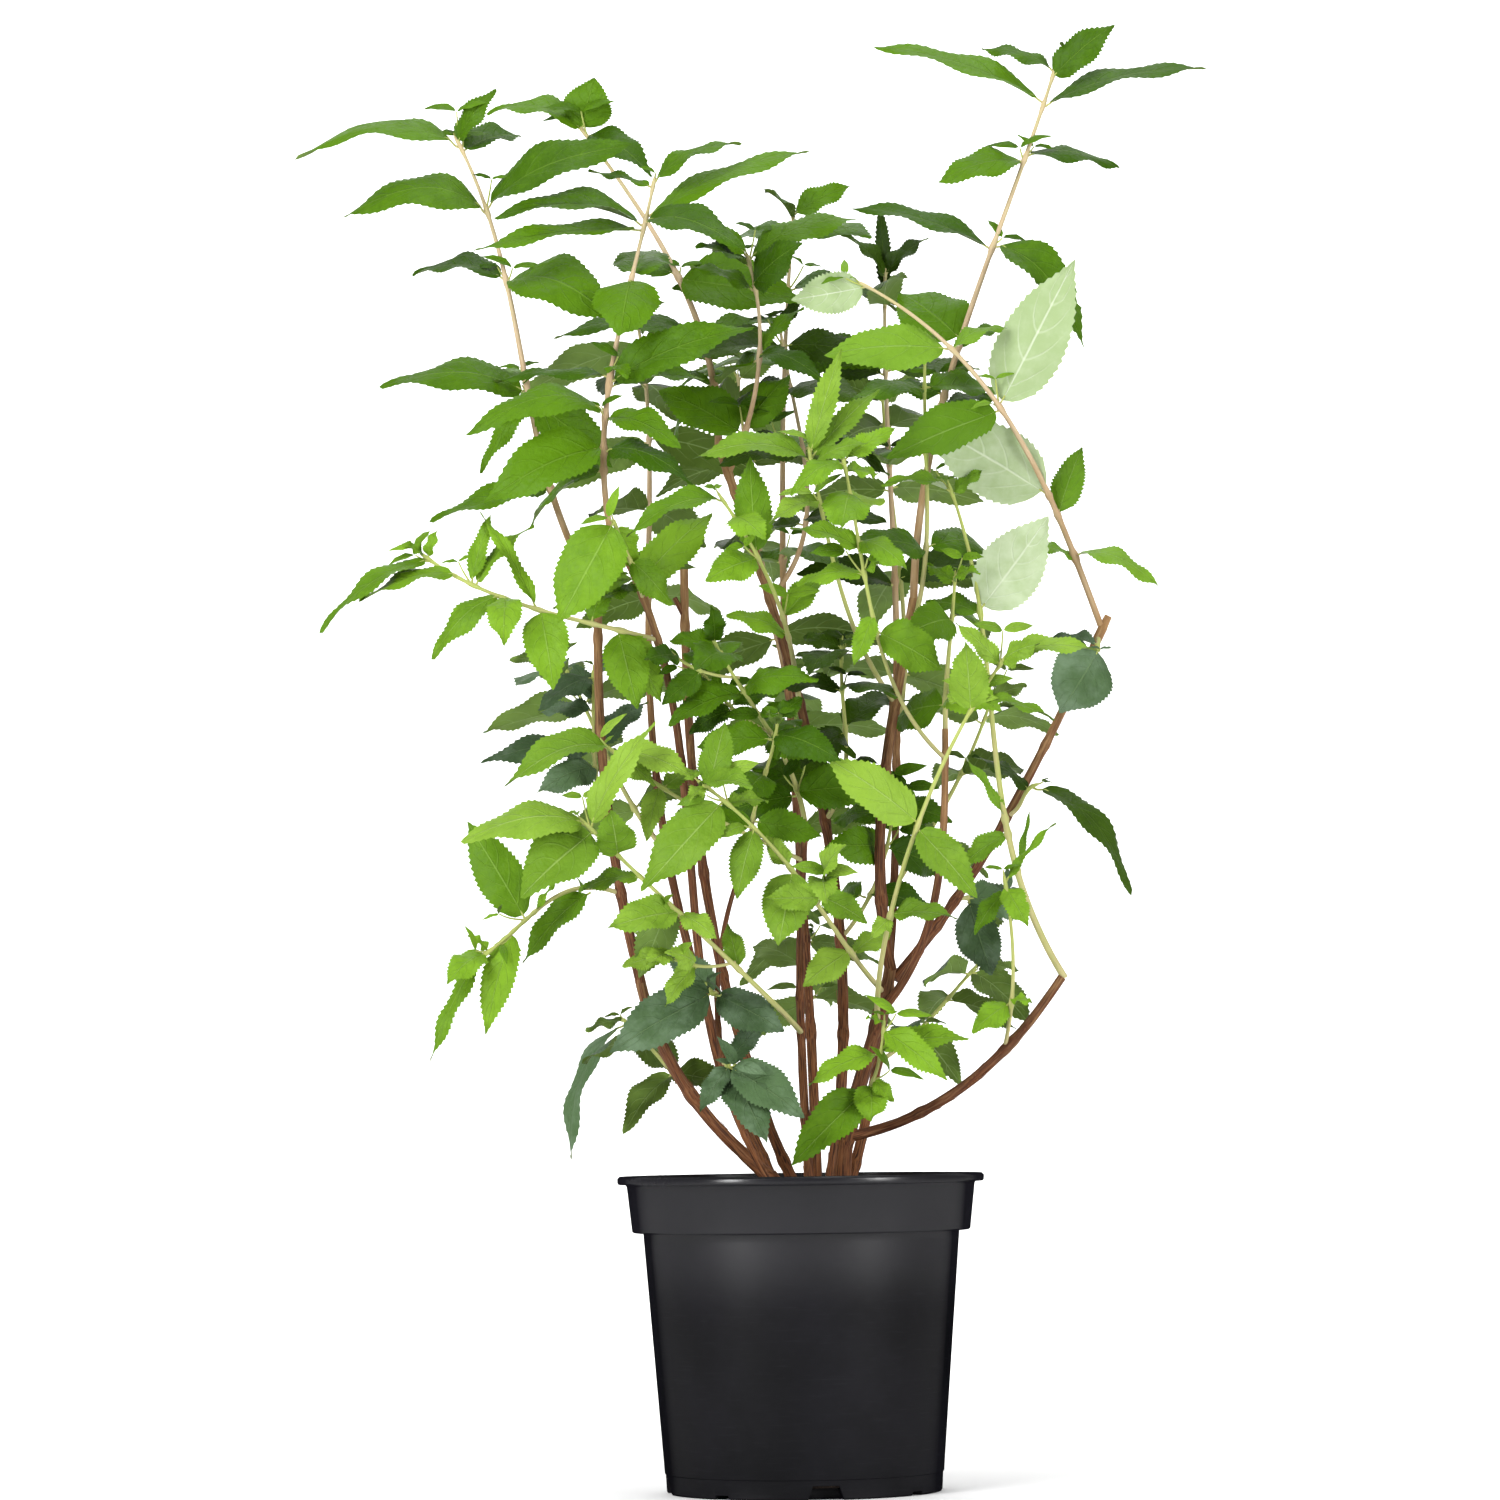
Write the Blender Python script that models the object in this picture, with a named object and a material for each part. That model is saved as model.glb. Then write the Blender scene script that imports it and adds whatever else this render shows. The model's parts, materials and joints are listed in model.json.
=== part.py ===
"""A potted deutzia shrub in leaf: a clump of brown canes in a black nursery pot.

Metres, +Z up. The origin is the middle of the pot's flat underside, +X is to the right and +Y to the back.
Woody limbs stand in the potting soil or leave one another, and each leafy spray grows on from a limb.
A limb or a spray's stem is one cubic curve, given by where it starts and ends and by its heading there.
Leaves stand in pairs on the stems, or are set one by one, and one that would touch a limb or
another spray is turned, or left out.
"""

import math
from dataclasses import dataclass
from random import Random

import bmesh
import bpy
from mathutils import Vector
from mathutils.bvhtree import BVHTree

# The pot, turned about Z
POT_HEIGHT = 0.194
RIM_RADIUS = 0.1130
LIP_DEPTH = 0.0052
BAND_TOP_RADIUS = 0.1074
BAND_FOOT_RADIUS = 0.1042
BAND_FOOT = 0.1592
BODY_TOP_RADIUS = 0.0974
FOOT_RADIUS = 0.0846
WALL = 0.0016
FLOOR_TOP = 0.0065
PAD_RADIUS = 0.029
DRAIN_RECESS = 0.0040
FOOT_RING = 0.0130
POT_SIDES = 40

# The drain slots round the foot, deep and shallow ones in turn
SLOTS = 8
FIRST_SLOT_DEG = -81.2
DEEP_SLOT = (0.0250, 0.0160, 0.0086)
SHALLOW_SLOT = (0.0125, 0.0095, 0.0026)
SLOT_INNER_RADIUS = 0.0720
SLOT_OUTER_RADIUS = 0.0950

# The potting soil
SOIL_TOP = 0.1740
CLEAR = 0.0003
JOIN_STEPS = 12
SOIL_SIDES = 32

# Limbs
HANDLE = 0.36
LIMB_SIDES = 6
RING_SPACING = 0.034
FLARE = 0.28
FLARE_HEIGHT = 0.016
TAPER_POWER = 0.85

# Sprays
TWIG_SIDES = 3
TWIG_SPACING = 0.044
TWIG_TIP = 0.0009
LAST_PAIR = 0.985
CROWDING = 1.7
TERMINAL_SIZE = 0.46
TERMINAL_SPREAD = 26
SIDE_TWIG_PAIRS = 2
SIDE_TWIG_RADIUS = 0.0010
SIDE_LEAF_SIZE = 0.55

# Leaves
PETIOLE_SHARE = 0.40
ROOT_OFF_MIDDLE = 0.00012
PAIR_STEP = 0.0026
LEVELLING = 0.5
ROLL_DEG = 20
KEEL_AT = 0.45
# Each station's share of the leaf's length, its half width and its rise, as shares of the whole
LEAF_STATIONS = ((0.28, 0.47, 1.0), (0.62, 0.38, 0.9))
LEAF_THICKNESS = 0.014
LEAST_THICKNESS = 0.0009
LOWEST_LEAF = 0.1965
KEEP_CLEAR = 0.0010
ROOMS = ((0.0, 0.0), (KEEP_CLEAR, KEEP_CLEAR), (KEEP_CLEAR, -KEEP_CLEAR))

# Turns tried for a leaf that would touch something: round its stem and off it, and its share of size
NUDGES = (
    (0, 0, 1.0),
    (17, 0, 1.0),
    (-17, 0, 1.0),
    (0, 16, 0.94),
    (32, 6, 0.9),
    (-32, 6, 0.9),
    (0, -18, 0.84),
    (50, 10, 0.76),
    (-50, 10, 0.76),
    (24, -24, 0.66),
    (-24, -24, 0.66),
)


@dataclass(frozen=True)
class Limb:
    """A woody limb. With no parent it stands in the soil at foot, or else it leaves its parent."""

    name: str
    tip: tuple
    leave: tuple
    arrive: tuple
    radii: tuple
    parent: str = ""
    at: float = 1.0
    foot: tuple = (0.0, 0.0)


@dataclass(frozen=True)
class Blade:
    """A leaf set by hand: its place up the stem, compass (0 is right, 90 back), rise and length."""

    at: float
    compass: float
    rise: float
    length: float
    width: float = 0.35
    arch: float = 0.10
    light: tuple = (0.0, -0.6, 1.0)


@dataclass(frozen=True)
class Spray:
    """A leafy shoot: its stem, the pairs of leaves on it or its set leaves, and its side twigs."""

    name: str
    parent: str
    at: float
    tip: tuple
    leave: tuple
    arrive: tuple
    pairs: int
    leaf: tuple
    tone: str
    first: float = 0.16
    face: float = 0
    swing: float = 40
    spread: float = 72
    width: float = 0.36
    arch: float = 0.10
    sag: float = 18
    light: tuple = (0.0, -1.0, 1.0)
    twigs: int = 0
    seed: int = 1
    radius: float = 0.0017
    crown: bool = True
    blades: tuple = ()


LIMBS = (
    Limb("main_stem", (0.057, 0.000, 0.320), (-0.08, 0.00, 1.00), (0.16, 0.00, 0.99), (0.0052, 0.0040),
         foot=(0.026, 0.000)),
    Limb("bough_main_upper", (0.075, 0.004, 0.550), (-0.18, 0.00, 0.98), (0.18, 0.00, 0.98),
         (0.0038, 0.0028), parent="main_stem"),
    Limb("left_cane", (-0.097, -0.020, 0.315), (-0.80, -0.02, 0.60), (-0.20, 0.00, 0.98), (0.0042, 0.0033),
         foot=(0.004, -0.010)),
    Limb("bough_left_upper", (-0.120, -0.020, 0.549), (-0.23, 0.00, 0.97), (0.03, 0.00, 1.00),
         (0.0033, 0.0026), parent="left_cane"),
    Limb("left_inner_cane", (-0.110, -0.078, 0.586), (-0.61, 0.16, 0.78), (-0.50, -0.10, 0.86),
         (0.0032, 0.0021), foot=(-0.006, 0.012)),
    Limb("centre_cane", (-0.045, 0.030, 0.649), (0.19, 0.04, 0.98), (-0.32, 0.00, 0.95), (0.0036, 0.0026),
         foot=(0.016, 0.024)),
    Limb("left_centre_cane", (0.006, -0.034, 0.405), (-0.05, -0.04, 1.00), (0.10, -0.05, 1.00),
         (0.0030, 0.0020), foot=(0.006, -0.028)),
    Limb("thin_cane", (-0.028, -0.056, 0.393), (-0.60, -0.16, 0.78), (0.42, 0.00, 0.90), (0.0021, 0.0014),
         foot=(-0.008, -0.042)),
    Limb("bough_right_low", (0.162, -0.022, 0.313), (0.94, -0.20, 0.20), (0.56, 0.00, 0.83),
         (0.0033, 0.0027), parent="main_stem", at=0.28),
    Limb("bough_right_upper", (0.197, 0.024, 0.539), (0.64, 0.22, 0.74), (0.45, 0.00, 0.89),
         (0.0032, 0.0024), parent="main_stem", at=0.91),
    Limb("bough_right_inner", (0.093, -0.014, 0.467), (0.58, -0.45, 0.70), (0.02, 0.08, 1.00),
         (0.0028, 0.0020), parent="main_stem", at=0.82),
    Limb("cut_cane", (-0.068, 0.034, 0.573), (-0.42, 0.10, 0.90), (0.00, -0.06, 1.00), (0.0034, 0.0026),
         foot=(0.002, 0.034)),
    Limb("back_left_cane", (-0.092, 0.086, 0.545), (-0.40, 0.28, 0.86), (0.02, 0.04, 1.00),
         (0.0034, 0.0021), foot=(-0.010, 0.050)),
    Limb("back_cane", (-0.006, 0.116, 0.560), (0.00, 0.45, 0.90), (-0.04, 0.00, 1.00), (0.0034, 0.0021),
         foot=(0.010, 0.050)),
    Limb("back_right_cane", (0.066, 0.106, 0.530), (0.30, 0.42, 0.86), (0.02, 0.06, 1.00),
         (0.0033, 0.0021), foot=(0.026, 0.032)),
)

# The way that blades look: up and towards the front, the back or the left, or away so that undersides show
FRONT = (0.0, -1.0, 1.0)
FRONT_STEEP = (0.0, -1.0, 0.45)
SIDE = (0.3, -1.0, 0.1)
BACK = (0.0, 0.8, 1.0)
LEFT = (-0.8, -0.4, 1.0)
AWAY = (0.1, 1.0, 0.25)

# The leaves that are set one by one, shoot by shoot
LEFT_TALL_BLADES = (
    Blade(0.241, 203, -17, 0.082, 0.25, 0.08, FRONT),
    Blade(0.420, 201, -51, 0.054, 0.22, 0.12, FRONT),
    Blade(0.435, 18, -55, 0.080, 0.47, 0.06, FRONT_STEEP), Blade(0.444, 184, 5, 0.092, 0.35, 0.14, FRONT),
    Blade(0.475, 125, 12, 0.042, 0.42, 0.10), Blade(0.681, 336, -18, 0.079, 0.57, 0.18, FRONT),
    Blade(0.690, 157, 7, 0.066, 0.39, 0.14), Blade(0.833, 189, 0, 0.089, 0.39, 0.20, FRONT),
    Blade(0.842, 342, 19, 0.102, 0.37, 0.12, FRONT), Blade(0.967, 48, 18, 0.057, 0.42, 0.10, FRONT),
    Blade(0.976, 180, -1, 0.102, 0.29, 0.15), Blade(0.985, 341, 53, 0.041, 0.39, 0.10, FRONT),
)
RIGHT_TALL_BLADES = (
    Blade(0.336, 24, 10, 0.040, 0.34, 0.10), Blade(0.355, 154, 10, 0.046, 0.37, 0.10, FRONT),
    Blade(0.447, 18, 23, 0.036, 0.37, 0.12), Blade(0.462, 140, 38, 0.060, 0.71, 0.06, FRONT_STEEP),
    Blade(0.635, 176, 20, 0.093, 0.24, 0.06), Blade(0.643, 350, -49, 0.088, 0.32, 0.22, FRONT),
    Blade(0.800, 198, -14, 0.059, 0.45, 0.10, FRONT), Blade(0.810, 18, -2, 0.063, 0.37, 0.08),
    Blade(0.899, 357, 14, 0.105, 0.24, 0.07), Blade(0.907, 178, 20, 0.113, 0.24, 0.07),
    Blade(0.951, 345, 40, 0.051, 0.42, 0.06, FRONT_STEEP), Blade(0.962, 160, 21, 0.051, 0.30, 0.10),
)
RIGHT_ARCH_BLADES = (
    Blade(0.151, 191, 15, 0.032, 0.39, 0.10), Blade(0.160, 356, -22, 0.056, 0.34, 0.16),
    Blade(0.259, 41, 65, 0.050, 0.37, 0.08, FRONT_STEEP), Blade(0.314, 204, 28, 0.095, 0.47, 0.05, AWAY),
    Blade(0.550, 160, -18, 0.087, 0.40, 0.06, FRONT_STEEP),
    Blade(0.559, 349, 60, 0.102, 0.40, 0.04, AWAY), Blade(0.734, 29, 23, 0.044, 0.32, 0.14),
    Blade(0.743, 187, -1, 0.077, 0.39, 0.06, FRONT_STEEP),
    Blade(0.982, 187, -12, 0.047, 0.52, 0.04, AWAY),
)
RIGHT_SIDE_LOW_BLADES = (
    Blade(0.86, 2, -46, 0.090, width=0.24, arch=0.16),
    Blade(0.70, 186, 32, 0.042, width=0.34),
)
RIGHT_SIDE_HIGH_BLADES = (
    Blade(0.90, 204, -55, 0.049, width=0.80, arch=0.06, light=SIDE),
    Blade(0.62, 150, 10, 0.036, width=0.38),
)
LEFT_FRONT_LARGE_BLADES = (
    Blade(0.118, 201, -21, 0.029, 0.39, 0.10, FRONT), Blade(0.160, 23, 41, 0.068, 0.40, 0.08, FRONT_STEEP),
    Blade(0.227, 153, -14, 0.055, 0.34, 0.10, FRONT),
    Blade(0.518, 22, -44, 0.038, 0.50, 0.08, FRONT_STEEP),
    Blade(0.935, 51, -39, 0.036, 0.42, 0.10, FRONT_STEEP),
    Blade(0.985, 194, -63, 0.071, 0.54, 0.06, FRONT_STEEP),
)
LEFT_SECOND_BLADES = (
    Blade(0.160, 134, -20, 0.074, 0.39, 0.10, FRONT),
    Blade(0.210, 341, -22, 0.065, 0.32, 0.16, FRONT),
    Blade(0.222, 200, -23, 0.085, 0.42, 0.14, FRONT_STEEP),
    Blade(0.304, 327, -21, 0.058, 0.39, 0.14, FRONT), Blade(0.316, 197, -8, 0.089, 0.30, 0.20, FRONT),
    Blade(0.396, 23, 8, 0.063, 0.30, 0.10), Blade(0.408, 352, 22, 0.095, 0.30, 0.10, FRONT_STEEP),
    Blade(0.426, 163, 3, 0.077, 0.17, 0.05), Blade(0.443, 306, -12, 0.030, 0.42, 0.14, FRONT),
    Blade(0.713, 260, -44, 0.056, 0.71, 0.06, FRONT), Blade(0.725, 80, 22, 0.068, 0.49, 0.06),
    Blade(0.854, 196, -8, 0.107, 0.20, 0.05), Blade(0.866, 186, 5, 0.092, 0.30, 0.13),
    Blade(0.878, 331, -17, 0.074, 0.39, 0.14, FRONT), Blade(0.890, 11, 24, 0.113, 0.22, 0.05),
    Blade(0.973, 159, 16, 0.046, 0.17, 0.05), Blade(0.985, 4, 26, 0.060, 0.32, 0.12),
)
CENTRE_TALL_BLADES = (
    Blade(0.149, 134, -34, 0.050, 0.42, 0.10, FRONT), Blade(0.160, 204, 7, 0.049, 0.30, 0.12),
    Blade(0.294, 36, 14, 0.070, 0.29, 0.10), Blade(0.305, 190, 2, 0.094, 0.25, 0.10),
    Blade(0.490, 336, -15, 0.087, 0.47, 0.06, FRONT_STEEP),
    Blade(0.501, 137, 12, 0.060, 0.42, 0.10, FRONT), Blade(0.963, 321, -29, 0.063, 0.34, 0.12, FRONT),
    Blade(0.974, 163, 16, 0.069, 0.39, 0.16), Blade(0.985, 309, 68, 0.034, 0.91, 0.05, FRONT_STEEP),
)
CENTRE_UPPER_BLADES = (
    Blade(0.170, 159, 30, 0.064, 0.50, 0.08, FRONT_STEEP),
    Blade(0.199, 22, 47, 0.047, 0.50, 0.08, FRONT_STEEP),
    Blade(0.514, 125, -11, 0.045, 0.50, 0.08, FRONT),
    Blade(0.533, 325, -21, 0.055, 0.30, 0.14, FRONT), Blade(0.552, 20, 47, 0.043, 0.24, 0.08, FRONT),
    Blade(0.834, 208, 16, 0.045, 0.34, 0.08, FRONT), Blade(0.853, 314, 25, 0.049, 0.55, 0.08, FRONT_STEEP),
    Blade(0.947, 224, 11, 0.044, 0.42, 0.08, FRONT), Blade(0.966, 12, 23, 0.076, 0.32, 0.12, FRONT),
    Blade(0.985, 205, 22, 0.066, 0.34, 0.12, FRONT),
)
UPPER_RIGHT_FRONT_BLADES = (
    Blade(0.793, 27, 10, 0.045, 0.42, 0.10, FRONT), Blade(0.826, 212, -20, 0.040, 0.39, 0.12, FRONT),
    Blade(0.943, 328, 18, 0.040, 0.37, 0.10, FRONT), Blade(0.957, 189, 4, 0.073, 0.27, 0.16, FRONT),
    Blade(0.971, 7, 45, 0.065, 0.20, 0.06, FRONT_STEEP),
    Blade(0.985, 6, 73, 0.068, 0.21, 0.06, FRONT_STEEP),
)
HEART_BLADES = (
    Blade(0.480, 14, -27, 0.047, 0.62, 0.06, FRONT_STEEP),
    Blade(0.532, 222, -64, 0.035, 0.35, 0.06, FRONT_STEEP),
    Blade(0.655, 166, -5, 0.043, 0.35, 0.12, FRONT), Blade(0.667, 340, 20, 0.019, 0.42, 0.10, FRONT),
    Blade(0.731, 193, 16, 0.045, 0.39, 0.12, FRONT), Blade(0.754, 326, -27, 0.040, 0.45, 0.12, FRONT),
    Blade(0.893, 260, -34, 0.042, 0.67, 0.06, FRONT_STEEP), Blade(0.955, 41, -1, 0.027, 0.50, 0.08, FRONT),
    Blade(0.973, 207, -29, 0.041, 0.39, 0.18, FRONT),
    Blade(0.985, 354, 38, 0.046, 0.30, 0.08, FRONT_STEEP),
)
CENTRE_FRONT_BLADES = (
    Blade(0.345, 195, 21, 0.041, 0.42, 0.10, FRONT), Blade(0.452, 20, 42, 0.039, 0.42, 0.08, FRONT_STEEP),
    Blade(0.737, 213, -21, 0.040, 0.55, 0.08, FRONT_STEEP),
    Blade(0.750, 224, 82, 0.060, 0.37, 0.05, FRONT_STEEP),
    Blade(0.903, 299, -23, 0.042, 0.50, 0.08, FRONT),
    Blade(0.970, 195, -19, 0.064, 0.27, 0.16, FRONT),
)
LEFT_MID_BLADES = (
    Blade(0.143, 23, -59, 0.050, 0.42, 0.06, FRONT_STEEP),
    Blade(0.160, 329, -76, 0.050, 0.52, 0.06, FRONT_STEEP),
    Blade(0.280, 63, 57, 0.041, 0.34, 0.10, FRONT_STEEP),
    Blade(0.491, 298, -67, 0.053, 0.50, 0.08, FRONT_STEEP), Blade(0.508, 170, 60, 0.070, 0.13, 0.05),
    Blade(0.635, 272, -46, 0.043, 0.47, 0.12, FRONT_STEEP),
    Blade(0.653, 196, -41, 0.058, 0.32, 0.14, FRONT), Blade(0.759, 23, 48, 0.054, 0.20, 0.08),
    Blade(0.776, 35, 72, 0.046, 0.22, 0.08, FRONT), Blade(0.837, 195, -16, 0.063, 0.30, 0.12),
    Blade(0.951, 191, -30, 0.082, 0.20, 0.10), Blade(0.968, 325, 68, 0.019, 0.35, 0.12, FRONT),
    Blade(0.985, 205, 28, 0.016, 0.50, 0.10, FRONT),
)
LEFT_DARK_BLADES = (
    Blade(0.439, 223, -17, 0.052, 0.42, 0.10, FRONT_STEEP),
    Blade(0.537, 196, -5, 0.073, 0.30, 0.10, FRONT), Blade(0.562, 32, 40, 0.049, 0.39, 0.10, FRONT),
    Blade(0.772, 167, 2, 0.036, 0.42, 0.10, FRONT), Blade(0.838, 122, 46, 0.034, 0.42, 0.10, FRONT),
    Blade(0.957, 218, -26, 0.048, 0.39, 0.10, FRONT), Blade(0.981, 35, 25, 0.039, 0.42, 0.10, FRONT),
)
LEFT_BRIGHT_BLADES = (
    Blade(0.566, 136, -47, 0.034, 0.42, 0.10, FRONT), Blade(0.726, 43, 23, 0.032, 0.39, 0.08, FRONT),
    Blade(0.743, 218, -68, 0.035, 0.39, 0.08, FRONT_STEEP),
    Blade(0.951, 350, -41, 0.030, 0.44, 0.08, FRONT_STEEP),
    Blade(0.968, 342, -19, 0.053, 0.39, 0.12, FRONT),
    Blade(0.985, 208, -17, 0.075, 0.32, 0.18, FRONT),
)
CENTRE_BRIGHT_BLADES = (
    Blade(0.204, 39, 27, 0.036, 0.42, 0.08, FRONT), Blade(0.227, 199, -34, 0.037, 0.54, 0.06, FRONT_STEEP),
    Blade(0.602, 250, -67, 0.049, 0.60, 0.05, FRONT_STEEP),
    Blade(0.619, 163, 54, 0.024, 0.50, 0.06, FRONT_STEEP),
    Blade(0.787, 208, -73, 0.044, 0.42, 0.08, FRONT_STEEP), Blade(0.894, 29, 7, 0.029, 0.42, 0.08, FRONT),
    Blade(0.906, 201, -47, 0.075, 0.42, 0.06, FRONT_STEEP),
    Blade(0.961, 46, 68, 0.045, 0.42, 0.06, FRONT_STEEP), Blade(0.973, 235, -25, 0.019, 0.50, 0.08, FRONT),
    Blade(0.985, 313, -4, 0.044, 0.45, 0.10, FRONT),
)
FRONT_LEFT_BLADES = (
    Blade(0.399, 120, 68, 0.030, 0.42, 0.08, FRONT), Blade(0.631, 326, -31, 0.029, 0.50, 0.10, FRONT),
    Blade(0.643, 211, -13, 0.048, 0.47, 0.10, FRONT_STEEP),
    Blade(0.676, 146, -64, 0.049, 0.47, 0.10, AWAY), Blade(0.776, 166, -8, 0.040, 0.35, 0.10, FRONT),
    Blade(0.863, 265, 43, 0.036, 0.64, 0.06, FRONT_STEEP),
    Blade(0.952, 230, -36, 0.064, 0.59, 0.08, FRONT_STEEP),
    Blade(0.964, 354, 57, 0.075, 0.25, 0.10, FRONT), Blade(0.976, 177, -7, 0.077, 0.39, 0.14, FRONT),
)
LEFT_DROOP_BLADES = (
    Blade(0.160, 200, -42, 0.063, 0.30, 0.10, FRONT), Blade(0.565, 48, 49, 0.029, 0.13, 0.05),
    Blade(0.636, 162, 57, 0.072, 0.39, 0.06, FRONT_STEEP),
    Blade(0.725, 214, -71, 0.066, 0.29, 0.10, FRONT_STEEP),
    Blade(0.896, 208, 37, 0.016, 0.42, 0.10, FRONT), Blade(0.917, 228, -29, 0.037, 0.50, 0.10, FRONT),
    Blade(0.938, 194, -63, 0.071, 0.15, 0.06),
)
FRONT_BRIGHT_BLADES = (
    Blade(0.338, 226, -34, 0.020, 0.50, 0.08, FRONT_STEEP),
    Blade(0.348, 346, -3, 0.041, 0.42, 0.10, FRONT),
    Blade(0.563, 328, -46, 0.059, 0.39, 0.06, FRONT_STEEP),
    Blade(0.573, 194, 36, 0.071, 0.40, 0.06, FRONT_STEEP),
    Blade(0.846, 264, 64, 0.045, 0.52, 0.05, FRONT_STEEP),
    Blade(0.856, 122, 26, 0.029, 0.50, 0.08, FRONT_STEEP), Blade(0.877, 343, -16, 0.049, 0.22, 0.08),
    Blade(0.965, 197, 44, 0.038, 0.30, 0.08, FRONT_STEEP),
    Blade(0.975, 317, 19, 0.031, 0.50, 0.10, FRONT_STEEP), Blade(0.985, 352, 6, 0.056, 0.29, 0.12, FRONT),
)
RIGHT_LOW_ARCH_BLADES = (
    Blade(0.224, 24, 74, 0.037, 0.10, 0.04), Blade(0.299, 156, -30, 0.039, 0.34, 0.08, FRONT_STEEP),
    Blade(0.328, 170, 59, 0.046, 0.13, 0.06, FRONT), Blade(0.741, 165, 15, 0.040, 0.42, 0.10, FRONT),
    Blade(0.749, 347, 50, 0.072, 0.54, 0.05, AWAY), Blade(0.977, 17, 37, 0.026, 0.34, 0.10, FRONT),
    Blade(0.985, 168, 11, 0.051, 0.29, 0.12),
)
LOW_LEFT_DARK_BLADES = (
    Blade(0.149, 156, 40, 0.045, 0.42, 0.08, FRONT_STEEP),
    Blade(0.294, 341, -29, 0.050, 0.50, 0.06, FRONT_STEEP),
    Blade(0.650, 195, -31, 0.073, 0.44, 0.08, FRONT_STEEP),
)
BASE_LEFT_DARK_BLADES = (
    Blade(0.595, 310, -49, 0.060, 0.44, 0.06, FRONT_STEEP),
    Blade(0.725, 44, 43, 0.040, 0.32, 0.10, FRONT_STEEP), Blade(0.855, 202, -53, 0.035, 0.37, 0.10, FRONT),
    Blade(0.985, 343, -33, 0.056, 0.47, 0.10, FRONT_STEEP),
)
BASE_RIGHT_BLADES = (
    Blade(0.359, 208, -39, 0.071, 0.37, 0.06, FRONT_STEEP),
    Blade(0.424, 272, -70, 0.034, 0.71, 0.06, FRONT_STEEP),
    Blade(0.488, 24, -36, 0.025, 0.47, 0.08, FRONT_STEEP),
    Blade(0.708, 196, -22, 0.048, 0.37, 0.12, FRONT), Blade(0.738, 350, 6, 0.056, 0.34, 0.12, FRONT),
    Blade(0.922, 330, -35, 0.054, 0.32, 0.08, FRONT_STEEP),
    Blade(0.980, 217, 15, 0.014, 0.42, 0.08, FRONT),
)
LOW_RIGHT_BLADES = (
    Blade(0.236, 210, -30, 0.032, 0.52, 0.06, FRONT_STEEP),
    Blade(0.268, 324, -8, 0.017, 0.42, 0.08, FRONT), Blade(0.911, 191, -51, 0.033, 0.35, 0.08, FRONT),
    Blade(0.935, 308, -67, 0.039, 0.45, 0.05, FRONT_STEEP), Blade(0.959, 18, 49, 0.051, 0.10, 0.04),
)
CROWN_RIGHT_BLADES = (
    Blade(0.936, 103, 80, 0.062, 0.15, 0.03, FRONT),
)
BASE_BACK_LEFT_BLADES = (
    Blade(0.957, 192, -66, 0.093, 0.29, 0.14, LEFT),
)

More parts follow.
